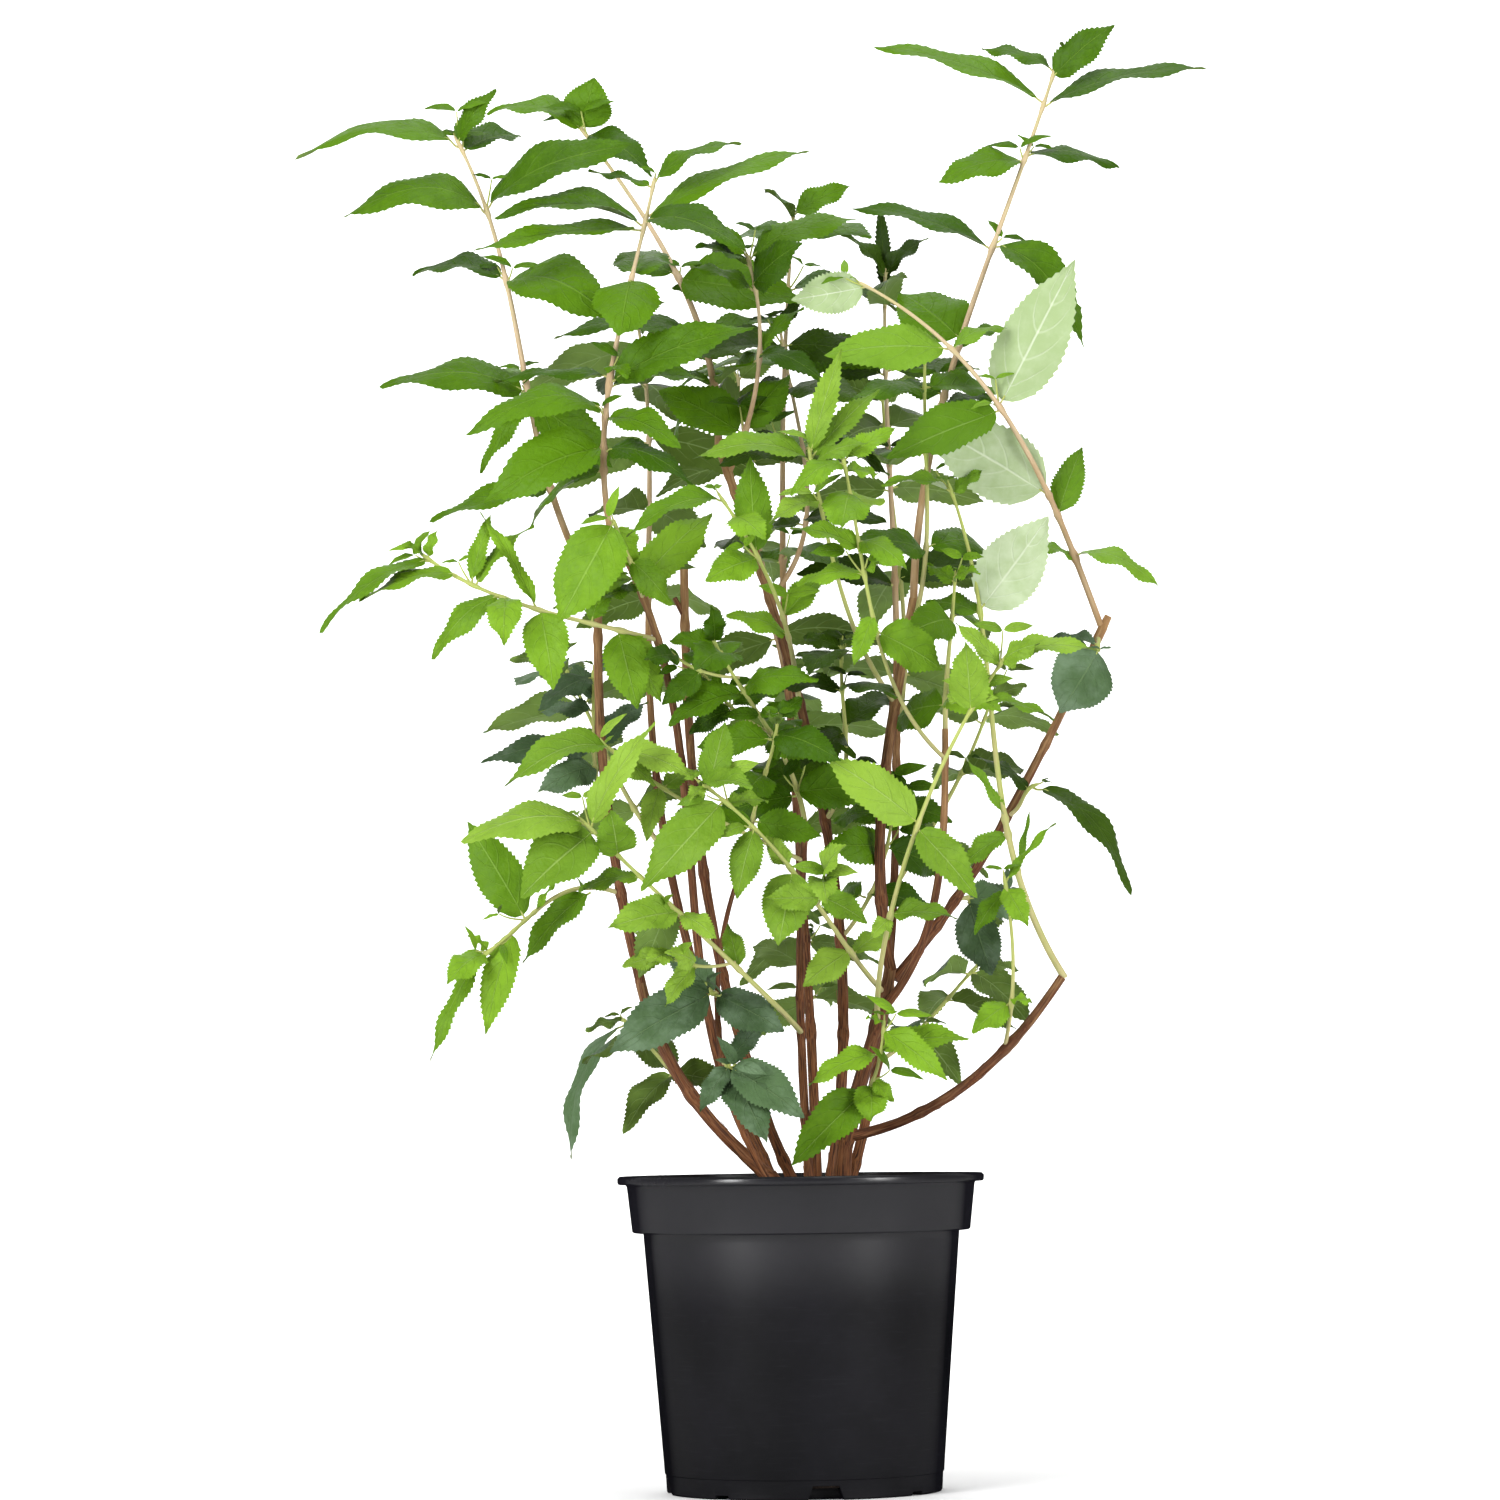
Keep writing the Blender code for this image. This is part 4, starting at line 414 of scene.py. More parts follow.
        (0.976, 177, -7, 0.077, 0.39, 0.14),
    ),
    "left_droop": (
        (0.16, 200, -42, 0.063, 0.3), (0.565, 48, 49, 0.029, 0.13, 0.05, OPEN),
        (0.636, 162, 57, 0.072, 0.39, 0.06, STEEP), (0.725, 214, -71, 0.066, 0.29, 0.1, STEEP),
        (0.896, 208, 37, 0.016), (0.917, 228, -29, 0.037, 0.5), (0.938, 194, -63, 0.071, 0.15, 0.06, OPEN),
    ),
    "low_left_dark": (
        (0.149, 156, 40, 0.045, 0.42, 0.08, STEEP), (0.294, 341, -29, 0.05, 0.5, 0.06, STEEP),
        (0.65, 195, -31, 0.073, 0.44, 0.08, STEEP),
    ),
    "base_left_dark": (
        (0.595, 310, -49, 0.06, 0.44, 0.06, STEEP), (0.725, 44, 43, 0.04, 0.32, 0.1, STEEP),
        (0.855, 202, -53, 0.035, 0.37), (0.985, 343, -33, 0.056, 0.47, 0.1, STEEP),
    ),
    "base_right": (
        (0.359, 208, -39, 0.071, 0.37, 0.06, STEEP), (0.424, 272, -70, 0.034, 0.71, 0.06, STEEP),
        (0.488, 24, -36, 0.025, 0.47, 0.08, STEEP), (0.708, 196, -22, 0.048, 0.37, 0.12),
        (0.738, 350, 6, 0.056, 0.34, 0.12), (0.922, 330, -35, 0.054, 0.32, 0.08, STEEP),
        (0.98, 217, 15, 0.014, 0.42, 0.08),
    ),
    "low_right": (
        (0.236, 210, -30, 0.032, 0.52, 0.06, STEEP), (0.268, 324, -8, 0.017, 0.42, 0.08),
        (0.911, 191, -51, 0.033, 0.35, 0.08), (0.935, 308, -67, 0.039, 0.45, 0.05, STEEP),
        (0.959, 18, 49, 0.051, 0.1, 0.04, OPEN),
    ),
    "right_low_arch": (
        (0.224, 24, 74, 0.037, 0.1, 0.04, OPEN), (0.299, 156, -30, 0.039, 0.34, 0.08, STEEP),
        (0.328, 170, 59, 0.046, 0.13, 0.06), (0.741, 165, 15, 0.04),
        (0.749, 347, 50, 0.072, 0.54, 0.05, AWAY), (0.977, 17, 37, 0.026, 0.34),
        (0.985, 168, 11, 0.051, 0.29, 0.12, OPEN),
    ),
    "base_back_left": (
        (0.957, 192, -66, 0.093, 0.29, 0.14, LEFT),
    ),
}

SPRAYS = (
    # The crown's top
    Spray("left_tall", "bough_left_upper", 1, (-0.204, -0.05, 0.834), (-0.5, -0.16, 0.85),
          (-0.46, -0.02, 0.89), MID, 11, width=0.36, radius=0.0024),
    Spray("left_second", "left_inner_cane", 1, (-0.081, -0.065, 0.804), (-0.16, 0, 0.98), (0.2, 0.05, 0.98),
          MID, 12, radius=0.002),
    Spray("centre_tall", "centre_cane", 1, (-0.132, 0.06, 0.86), (0.02, 0.1, 0.99), (-0.58, 0.1, 0.81), MID,
          13, radius=0.0024),
    Spray("centre_upper", "centre_cane", 0.965, (-0.026, -0.004, 0.766), (0.4, -0.46, 0.8), (-0.3, 0, 0.95),
          MID, 14, width=0.43, radius=0.0017),
    Spray("crown_centre", "back_cane", 1, (0.004, 0.07, 0.806), (0, 0, 1), (0.1, -0.3, 1), MID, 15, 6,
          (0.072, 0.084), first=0.1, face=-10, swing=36, spread=72, sag=10, radius=0.0021),
    Spray("crown_right", "back_right_cane", 1, (0.062, 0.09, 0.77), (0, 0, 1), (0.04, 0, 1), DEEP, 16, 5,
          (0.07, 0.08), first=0.16, face=60, swing=40, spread=60, width=0.38, sag=8, radius=0.0021),
    Spray("right_tall", "bough_main_upper", 1, (0.172, 0, 0.892), (0.04, 0, 1), (0.3, 0, 0.95), MID, 17,
          width=0.36, radius=0.0025),
    Spray("right_arch", "bough_right_upper", 0.967, (0.043, -0.07, 0.737), (-0.34, -0.24, 0.91),
          (-0.88, 0, 0.47), PALE, 18, width=0.36, radius=0.0021),
    Spray("upper_right_front", "bough_main_upper", 0.72, (0.011, -0.1, 0.631), (-0.46, -0.66, 0.6),
          (-0.2, -0.06, 1), FRESH, 19, width=0.36, radius=0.0017),
    Spray("upper_right_mid", "bough_main_upper", 0.86, (0.084, -0.022, 0.7), (0.3, -0.5, 0.76),
          (0.06, 0, 1), MID, 25, 4, (0.062, 0.066), first=0.34, face=65, swing=40, radius=0.0017),
    Spray("heart", "bough_right_inner", 0.9, (0.031, -0.112, 0.626), (-0.6, -0.6, 0.52), (-0.2, 0.05, 0.98),
          BRIGHT, 20, width=0.53, light=STEEP),
    Spray("centre_front", "centre_cane", 0.66, (-0.044, -0.112, 0.604), (-0.06, -0.86, 0.5),
          (-0.56, -0.06, 0.82), BRIGHT, 21, width=0.45, light=STEEP, radius=0.0017),
    Spray("upper_core", "centre_cane", 0.8, (-0.006, 0.048, 0.73), (0.66, 0.1, 0.74), (-0.1, 0.05, 1), DEEP,
          26, 5, (0.07, 0.074), swing=40, spread=72, width=0.41, radius=0.0017),
    Spray("back_left_upper", "back_left_cane", 1, (-0.098, 0.128, 0.744), (0, 0, 1), (-0.16, 0.1, 1), DEEP,
          22, 6, (0.07, 0.084), first=0.08, face=20, spread=72, light=BACK, radius=0.0021),
    Spray("back_upper", "back_cane", 0.86, (-0.034, 0.186, 0.716), (-0.15, 0.62, 0.76), (-0.06, 0.1, 1),
          DEEP, 23, 5, (0.07, 0.084), first=0.18, face=30, spread=72, light=BACK, radius=0.0017),
    Spray("back_right_upper", "back_right_cane", 0.84, (0.06, 0.162, 0.7), (0.16, 0.5, 0.8),
          (-0.04, 0.08, 1), DEEP, 24, 5, (0.07, 0.084), first=0.18, face=70, spread=72, light=BACK,
          radius=0.0017),
    # The middle of the crown
    Spray("left_mid", "left_inner_cane", 0.84, (-0.225, -0.084, 0.573), (-0.72, -0.66, 0.16),
          (-0.78, -0.02, 0.62), BRIGHT, 31, width=0.34, radius=0.0015),
    Spray("left_front_large", "left_inner_cane", 0.9, (-0.107, -0.116, 0.588), (-0.1, -0.9, 0.5),
          (-0.3, -0.5, 0.8), BRIGHT, 32, width=0.36),
    Spray("left_dark", "bough_left_upper", 0.4, (-0.125, 0.02, 0.509), (-0.3, 0.8, 0.5), (0, 0, 1), BLUE,
          33, light=LEFT, radius=0.0015),
    Spray("left_bright", "left_centre_cane", 0.92, (-0.112, -0.112, 0.452), (-0.66, -0.62, 0.3),
          (-0.72, -0.02, 0.62), FRESH, 34, width=0.34),
    Spray("centre_bright", "main_stem", 0.9, (-0.058, -0.128, 0.43), (-0.41, -0.82, 0.4),
          (-0.81, -0.05, 0.58), FRESH, 35, leaf=(0.06, 0.054), width=0.46, light=STEEP, twigs=1,
          radius=0.0017),
    Spray("centre_mid", "left_centre_cane", 1, (-0.049, -0.07, 0.52), (-0.1, 0, 1), (-0.44, -0.1, 0.9), MID,
          36, 5, (0.054, 0.06), first=0.18, face=35, spread=66, width=0.46, light=STEEP, twigs=2,
          radius=0.0017),
    Spray("right_inner", "bough_right_inner", 1, (0.1, -0.03, 0.56), (0, 0, 1), (0.06, -0.1, 1), BRIGHT, 37,
          3, (0.056, 0.054), first=0.18, spread=66, width=0.48, light=STEEP, radius=0.0017),
    Spray("front_bright", "main_stem", 0.78, (0.13, -0.094, 0.507), (-0.04, -0.9, 0.44), (0.62, 0, 0.78),
          FRESH, 38, width=0.41, light=STEEP, radius=0.0018),
    Spray("right_back_mid", "back_right_cane", 0.58, (0.128, 0.126, 0.5), (0.5, 0.4, 0.76),
          (0.3, 0.1, 0.94), DEEP, 39, 4, (0.058, 0.064), first=0.22, face=70, light=BACK, radius=0.0017),
    Spray("back_left_mid", "back_left_cane", 0.62, (-0.152, 0.112, 0.528), (-0.6, 0.2, 0.74),
          (-0.5, 0.1, 0.84), BLUE, 40, 5, (0.06, 0.072), first=0.2, face=50, light=BACK, radius=0.0017),
    Spray("back_mid", "back_cane", 0.56, (-0.004, 0.206, 0.52), (0.06, 0.76, 0.64), (0, 0.4, 0.9), DEEP, 41,
          5, (0.06, 0.072), first=0.24, face=30, light=BACK, radius=0.0017),
    Spray("right_side_low", "bough_right_upper", 0.46, (0.15, 0, 0.433), (0.7, -0.5, 0.5), (0.9, -0.1, 0.2),
          DEEP, 42, width=0.36),
    Spray("right_side_high", "bough_right_upper", 0.94, (0.189, -0.008, 0.515), (0.1, -0.9, 0.1),
          (0.1, -0.95, 0), BLUE, 43, width=0.36),
    Spray("mid_core", "centre_cane", 0.5, (0.03, -0.04, 0.52), (0.45, -0.55, 0.62), (0.1, -0.1, 1), DEEP,
          44, 5, (0.058, 0.062), first=0.26, face=10, spread=66, width=0.43, radius=0.0017),
    # The foot of the crown
    Spray("front_left", "left_centre_cane", 0.46, (-0.128, -0.132, 0.408), (-0.2, -0.95, 0.24),
          (-0.7, 0.04, 0.71), FRESH, 51, leaf=(0.054, 0.062), width=0.43, light=STEEP, twigs=1,
          radius=0.0018),
    Spray("left_droop", "bough_left_upper", 0.22, (-0.196, -0.092, 0.324), (-0.88, -0.36, 0.29),
          (-0.84, -0.1, -0.52), BRIGHT, 52, width=0.29, radius=0.0015),
    Spray("low_left_dark", "thin_cane", 0.6, (-0.053, -0.074, 0.306), (-0.3, -0.86, 0.4), (-0.2, -0.8, 0.5),
          BLUE, 53, width=0.31, radius=0.0015),
    Spray("base_left_dark", "thin_cane", 0.42, (-0.042, -0.074, 0.26), (0.2, -0.9, 0.36), (0.2, -0.8, 0.5),
          BLUE, 54, width=0.41, light=STEEP),
    Spray("thin_top", "thin_cane", 1, (-0.01, -0.084, 0.47), (0, 0, 1), (0.1, -0.2, 1), MID, 55, 4,
          (0.05, 0.052), first=0.2, face=20, spread=66, width=0.43, light=STEEP, radius=0.0013),
    Spray("base_right", "main_stem", 0.36, (0.052, -0.062, 0.287), (0.3, -0.86, 0.4), (0.06, -0.1, 1),
          BRIGHT, 56, radius=0.0013),
    Spray("low_right", "bough_right_low", 0.66, (0.126, -0.06, 0.374), (0.16, -0.55, 0.82),
          (-0.16, 0, 0.98), BRIGHT, 57, width=0.34, radius=0.0013),
    Spray("right_low_arch", "bough_right_low", 1, (0.097, -0.024, 0.618), (-0.52, 0, 0.86),
          (-0.34, 0, 0.94), PALE, 58, width=0.33, radius=0.0022),
    Spray("low_right_dark", "bough_right_upper", 0.22, (0.122, 0.036, 0.366), (0.5, 0.62, 0.2),
          (0.66, 0.3, 0.3), BLUE, 59, 4, (0.056, 0.056), face=40, width=0.48, sag=28, light=STEEP),
    Spray("low_centre", "centre_cane", 0.34, (0.062, 0.03, 0.43), (0.6, -0.2, 0.7), (0.1, 0, 1), MID, 63, 4,
          (0.052, 0.056), face=10, spread=66, width=0.43, light=STEEP),
    Spray("base_back_left", "left_cane", 0.56, (-0.11, 0.058, 0.292), (-0.4, 0.8, 0.4), (-0.5, 0.1, 0.5),
          BLUE, 60, 3, (0.054, 0.06), face=30, sag=28, light=BACK, radius=0.0015),
    Spray("base_back_right", "back_right_cane", 0.26, (0.118, 0.102, 0.328), (0.76, 0.2, 0.5),
          (0.6, 0.2, 0.6), BLUE, 61, 4, (0.054, 0.06), face=80, sag=28, light=BACK, radius=0.0015),
    Spray("low_back", "back_cane", 0.3, (0.006, 0.16, 0.35), (0, 0.9, 0.42), (0, 0.6, 0.6), BLUE, 62, 4,
          (0.054, 0.06), face=30, sag=28, light=BACK, radius=0.0015),
)


def unit(vector: Iterable[float]) -> Vector:
    """A vector of length one."""
    return Vector(vector).normalized()


def across(heading: Vector) -> tuple[Vector, Vector]:
    """Two directions square to a heading.

    Args:
        heading: the direction of a stem.

    Returns:
        The direction that a viewer in front sees face on, and the one square to it.
    """
    side = Vector((0, 1, 0)).cross(heading).normalized()
    return side, heading.cross(side).normalized()


def smooth(low: float, high: float, value: float) -> float:
    """A share that goes softly from 0 at low to 1 at high."""
    share = min(1.0, max(0.0, (value - low) / (high - low)))
    return share * share * (3 - 2 * share)


class Route:
    """A cubic curve from a foot to a tip, with a heading at each end."""

    def __init__(self, foot: Iterable[float], leave: Iterable[float], tip: Iterable[float],
                 arrive: Iterable[float]) -> None:
        """Sets the curve's two end points and its two bends.

        Args:
            foot: where it starts.
            leave: its heading there.
            tip: where it ends.
            arrive: its heading there.
        """
        self.foot, self.tip = Vector(foot), Vector(tip)
        span = (self.tip - self.foot).length * HANDLE
        self.bend_low = self.foot + unit(leave) * span
        self.bend_high = self.tip - unit(arrive) * span

    def point(self, t: float) -> Vector:
        """The point at a share t of the curve."""
        s = 1 - t
        low, high = self.bend_low, self.bend_high
        return self.foot * s**3 + low * (3 * s * s * t) + high * (3 * s * t * t) + self.tip * t**3

    def heading(self, t: float) -> Vector:
        """The heading at a share t of the curve."""
        s = 1 - t
        first, second = self.bend_low - self.foot, self.bend_high - self.bend_low
        third = self.tip - self.bend_high
        return (first * s * s + second * (2 * s * t) + third * t * t).normalized()

    def length(self) -> float:
        """The curve's length, from sixteen straight steps."""
        steps = 16
        marks = [self.point(i / steps) for i in range(steps + 1)]
        return sum((b - a).length for a, b in zip(marks, marks[1:]))


def tube_faces(rings: int, sides: int) -> list[Face]:
    """The faces of a closed tube.

    Args:
        rings: how many rings of points it has.
        sides: how many points each ring has.

    Returns:
        Its two ends and the faces between its rings.
    """
    faces: list[Face] = [tuple(reversed(range(sides)))]
    for i in range(rings - 1):
        for k in range(sides):
            a, b = i * sides + k, i * sides + (k + 1) % sides
            faces.append((a, b, b + sides, a + sides))
    return faces + [tuple(range((rings - 1) * sides, rings * sides))]


class Branch:
    """A tube along a route: a limb, a spray's stem or a side twig."""

    def __init__(self, route: Route, radii: tuple[float, float], sides: int, spacing: float,
                 ground: Optional[float] = None) -> None:
        """Sets the tube's radii and where its straight lengths meet.

        Args:
            route: the curve that it follows.
            radii: its radius at the foot and at the tip.
            sides: the sides of its solid.
            spacing: about how long each straight length is.
            ground: the height at which its foot is cut level, where it stands in the soil.
        """
        self.route, self.sides, self.ground = route, sides, ground
        self.foot_radius, self.tip_radius = radii
        self.length = route.length()
        lengths = max(2, round(self.length / spacing))
        self.shares = [i / lengths for i in range(lengths + 1)]
        if ground is not None:
            self.shares.insert(1, min(FLARE_HEIGHT / self.length, self.shares[1] / 2))

    def radius(self, t: float) -> float:
        """The radius at a share t, with the flare of a limb that stands in the soil."""
        taper = self.tip_radius + (self.foot_radius - self.tip_radius) * (1 - t) ** TAPER_POWER
        if self.ground is None:
            return taper
        return taper * (1 + FLARE * math.exp(-t * self.length / FLARE_HEIGHT))

    def centre(self, t: float) -> Vector:
        """The middle of the solid tube, on its straight lengths rather than on the curve."""
        for low, high in zip(self.shares, self.shares[1:]):
            if t <= high:
                share = (t - low) / (high - low)
                return self.route.point(low).lerp(self.route.point(high), share)
        return self.route.tip.copy()

    def solid(self) -> Solid:
        """Points and faces of the closed tube. With a ground height its foot is cut level there."""
        points, sides = [], self.sides
        for t in self.shares:
            centre, heading = self.route.point(t), self.route.heading(t)
            side, other = across(heading)
            for k in range(sides):
                turn = 2 * math.pi * k / sides
                point = centre + (side * math.cos(turn) + other * math.sin(turn)) * self.radius(t)
                if self.ground is not None and t == 0:
                    point += heading * ((self.ground - point.z) / heading.z)
                points.append(point)
        return points, tube_faces(len(self.shares), sides)


def foot_marks(foot: Vector, heading: Vector, radius: float, sides: int) -> list[Vector]:
    """Points spread over the flat foot of a branch.

    Args:
        foot: the middle of the foot.
        heading: the way that the branch leaves.
        radius: its radius there.
        sides: its sides.

    Returns:
        The middle and points on and half way to the edge.
    """
    side, other = across(heading)
    turns = [2 * math.pi * k / sides for k in range(sides)]
    ring = [side * math.cos(turn) + other * math.sin(turn) for turn in turns]
    marks = [foot]
    for one, next_one in zip(ring, ring[1:] + ring[:1]):
        for share in (0.0, 0.25, 0.5, 0.75):
            edge = one.lerp(next_one, share) * radius
            marks += [foot + edge, foot + edge * 0.5]
    return marks


def join(parent: Branch, surface: BVHTree, at: float, leave: Triple, radius: float,
         sides: int) -> tuple[Vector, Vector]:
    """Seats a branch on its parent, a little clear of the parent's surface.

    Args:
        parent: the branch that it leaves.
        surface: the parent's solid.
        at: the place up the parent.
        leave: the way that the branch leaves.
        radius: the branch's radius at its foot.
        sides: the branch's sides.

    Returns:
        The branch's foot and its heading there.
    """
    heading = unit(leave)
    way = parent.route.heading(at) if at == 1.0 else heading
    foot = parent.centre(at) + way * (2 * parent.radius(at) + 2 * radius)
    for _ in range(JOIN_STEPS):
        gap = min(surface.find_nearest(mark)[3] for mark in foot_marks(foot, heading, radius, sides))
        foot -= way * (gap - CLEAR)
    return foot, heading


class Crowd:
    """The solids placed so far, to tell whether a new twig or leaf would touch one."""

    def __init__(self) -> None:
        """Starts with nothing placed."""
        self.taken: list[tuple[object, list[float], list[float], BVHTree]] = []

    def add(self, owner: object, points: Sequence[Vector], faces: Sequence[Face]) -> BVHTree:
        """Takes a solid in.

        Args:
            owner: what the solid belongs to.
            points: its points.
            faces: its faces.

        Returns:
            The solid's search tree.
        """
        low = [min(p[k] for p in points) for k in range(3)]
        high = [max(p[k] for p in points) for k in range(3)]
        tree = BVHTree.FromPolygons(points, faces)
        self.taken.append((owner, low, high, tree))
        return tree

    def free(self, points: Sequence[Vector], faces: Sequence[Face], ignore: Sequence[object] = ()) -> bool:
        """Tells whether a solid would touch nothing.

        Args:
            points: its points.
            faces: its faces.
            ignore: owners that it may touch.

        Returns:
            True where it touches none of the others.
        """
        low = [min(p[k] for p in points) for k in range(3)]
        high = [max(p[k] for p in points) for k in range(3)]
        tree = None
        for owner, other_low, other_high, other in self.taken:
            if owner in ignore or any(low[k] > other_high[k] or high[k] < other_low[k] for k in range(3)):
                continue
            tree = tree or BVHTree.FromPolygons(points, faces)
            if tree.overlap(other):
                return False
        return True


def way_off_stem(heading: Vector, turn: float, spread: float, sag: float) -> Vector:
    """The direction of a leaf that stands off its stem, levelled a little and then sagging.

    Args:
        heading: the stem's heading there.
        turn: degrees round the stem.
        spread: degrees off the stem.
        sag: degrees that it hangs.

    Returns:
        The leaf's direction.
    """
    turn, spread, sag = (math.radians(angle) for angle in (turn, spread, sag))
    side, other = across(heading)
    out = side * math.cos(turn) + other * math.sin(turn)
    along = out * math.sin(spread) + heading * math.cos(spread)
    along.z = along.z * LEVELLING - math.sin(sag)
    return along.normalized()


def way_by_compass(compass: float, rise: float) -> Vector:
    """The direction of a leaf that is set by its compass and its rise, in degrees."""
    compass, rise = math.radians(compass), math.radians(rise)
    return Vector((math.cos(rise) * math.cos(compass), math.cos(rise) * math.sin(compass), math.sin(rise)))


def face_of(along: Vector, heading: Vector, light: Triple, roll: float) -> Vector:
    """The direction that a leaf's upper face looks: as near the light as it can, then rolled.

    Args:
        along: the leaf's direction.
        heading: its stem's heading, used where the leaf points at the light.
        light: the way that it would look.
        roll: its roll about its own direction, in radians.

    Returns:
        The direction of its upper face.
    """
    facing = unit(light)
    up = facing - along * facing.dot(along)
    if up.length < 0.15:
        up = heading - along * heading.dot(along)
    up.normalize()
    return up * math.cos(roll) + along.cross(up) * math.sin(roll)


@dataclass
class Axil:
    """A node of a shoot from which a young twig may grow."""

    branch: Branch
    at: float
    way: Vector
    owner: tuple


@dataclass
class YoungTwig:
    """A short twig in a leaf's axil or at a shoot's tip, with the leaves on it."""

    route: Route
    leaves: list[LeafPlace]


class Growth:
    """Grows the limbs, the stems and twigs of the sprays and then their leaves, in one fixed order."""

    def __init__(self) -> None:
        """Starts with bare soil."""
        self.crowd = Crowd()
        self.limbs: dict[str, tuple[Branch, BVHTree]] = {}
        self.twigs: dict[str, list[tuple[Branch, list[tuple[float, float, float, float]]]]] = {}
        self.leaves: dict[str, list[LeafPlace]] = {}
        self.young: dict[str, list[YoungTwig]] = {}
        self.axils: dict[str, list[Axil]] = {}

    def grow_limb(self, limb: Limb) -> None:
        """Grows one woody limb, from the soil or from its parent."""
        if limb.parent:
            parent, surface = self.limbs[limb.parent]
            foot, heading = join(parent, surface, limb.at, limb.leave, limb.radii[0], LIMB_SIDES)
            ground = None
        else:
            foot, heading = (*limb.foot, Pot.soil_top + CLEAR), limb.leave
            ground = Pot.soil_top + CLEAR
        route = Route(foot, heading, limb.tip, limb.arrive)
        branch = Branch(route, limb.radii, LIMB_SIDES, RING_SPACING, ground)
        self.limbs[limb.name] = (branch, self.crowd.add(limb.name, *branch.solid()))

    def grow_stems(self, spray: Spray) -> None:
        """Grows a spray's own stem and its side twigs, each with the pairs that it carries."""
        rng = Random(spray.seed)
        parent, surface = self.limbs[spray.parent]
        thickness = min(spray.radius, parent.radius(spray.at))
        foot, heading = join(parent, surface, spray.at, spray.leave, thickness, TWIG_SIDES)
        route = Route(foot, heading, spray.tip, spray.arrive)
        stem = Branch(route, (thickness, TWIG_TIP), TWIG_SIDES, TWIG_SPACING)
        grown = [(stem, self.pairs_on_stem(spray, rng))]
        self.crowd.add((spray.name, 0), *stem.solid())
        for number in range(spray.twigs):
            at = 0.45 + 0.32 * number / max(1, spray.twigs - 1) + rng.uniform(-0.05, 0.05)
            turn = rng.uniform(0, 2 * math.pi)
            reach = rng.uniform(0.040, 0.060)
            twig = self.side_twig(stem, at, turn, reach)
            solid = twig.solid()
            if self.crowd.free(*solid, ignore=((spray.name, 0),)):
                self.crowd.add((spray.name, number + 1), *solid)
                grown.append((twig, self.pairs_on_twig(spray, rng)))
        self.twigs[spray.name] = grown

    def side_twig(self, stem: Branch, at: float, turn: float, reach: float) -> Branch:
        """A side twig of a stem.

        Args:
            stem: the stem that it leaves.
            at: the place up the stem.
            turn: the way round the stem, in radians.
            reach: how far it grows.

        Returns:
            The twig.
        """
        root, heading = stem.centre(at), stem.route.heading(at)
        side, other = across(heading)
        out = side * math.cos(turn) + other * math.sin(turn)
        leave = (out + heading * 0.7).normalized()
        arrive = (out * 0.6 + heading * 0.4 + Vector((0, 0, 0.6))).normalized()
        tip = root + (leave + arrive).normalized() * reach
        route = Route(root, leave, tip, arrive)
        return Branch(route, (SIDE_TWIG_RADIUS, TWIG_TIP), TWIG_SIDES, TWIG_SPACING)

    def pairs_on_stem(self, spray: Spray, rng: Random) -> list[tuple[float, float, float, float]]:
        """For each pair up the stem: its place, turn, spread and leaf length."""
        pairs = []
        for k in range(spray.pairs):
            climb = k / max(1, spray.pairs - 1)
            at = spray.first + (LAST_PAIR - spray.first) * (1 - (1 - climb) ** CROWDING)
            length = spray.leaf[0] + (spray.leaf[1] - spray.leaf[0]) * min(1.0, climb * 1.25)
            spread = spray.spread + rng.uniform(-9, 9)
            if k == spray.pairs - 1:
                length *= TERMINAL_SIZE
                spread = TERMINAL_SPREAD
            sway = spray.swing if k % 2 else -spray.swing
            turn = spray.face + sway + rng.uniform(-12, 12)
            pairs.append((at, turn, spread, length * rng.uniform(0.90, 1.06)))
        return pairs

    def pairs_on_twig(self, spray: Spray, rng: Random) -> list[tuple[float, float, float, float]]:
        """For each pair on a side twig: its place, turn, spread and leaf length."""
        pairs = []
        for k in range(SIDE_TWIG_PAIRS):
            length = spray.leaf[0] * SIDE_LEAF_SIZE * rng.uniform(0.85, 1.15)
            pairs.append(((0.55, 0.97)[k], 90 * k + rng.uniform(-20, 20), (66, 40)[k], length))
        return pairs

    def grow_leaves(self, spray: Spray) -> None:
        """Grows the set leaves and both leaves of every pair, each in its first turn that touches nothing."""
        rng = Random(spray.seed + LEAF_DRAW)
        stem = self.twigs[spray.name][0][0]
        self.axils[spray.name] = []
        found = [self.place_blade(spray, stem, number) for number in range(len(spray.blades))]
        for number, (branch, pairs) in enumerate(self.twigs[spray.name]):
            for pair, (at, turn, spread, length) in enumerate(pairs):
                for half in (0, 180):
                    size = length * rng.uniform(0.93, 1.07)
                    shape = (spray.width, spray.arch * rng.uniform(0.6, 1.4))
                    sag, roll = spray.sag + rng.uniform(-7, 7), rng.uniform(-ROLL_DEG, ROLL_DEG)
                    node = (branch, at - half / 180 * PAIR_STEP / branch.length, (spray.name, number, pair))
                    heading = branch.route.heading(at)
                    ways = [(way_off_stem(heading, turn + half + more, spread + lean, sag), share)
                            for more, lean, share in NUDGES]
                    found.append(self.place(node, ways, size, shape, spray.light.value, roll))
                    self.axils[spray.name].append(Axil(branch, at, ways[0][0], node[2]))
        self.leaves[spray.name] = [leaf for leaf in found if leaf]

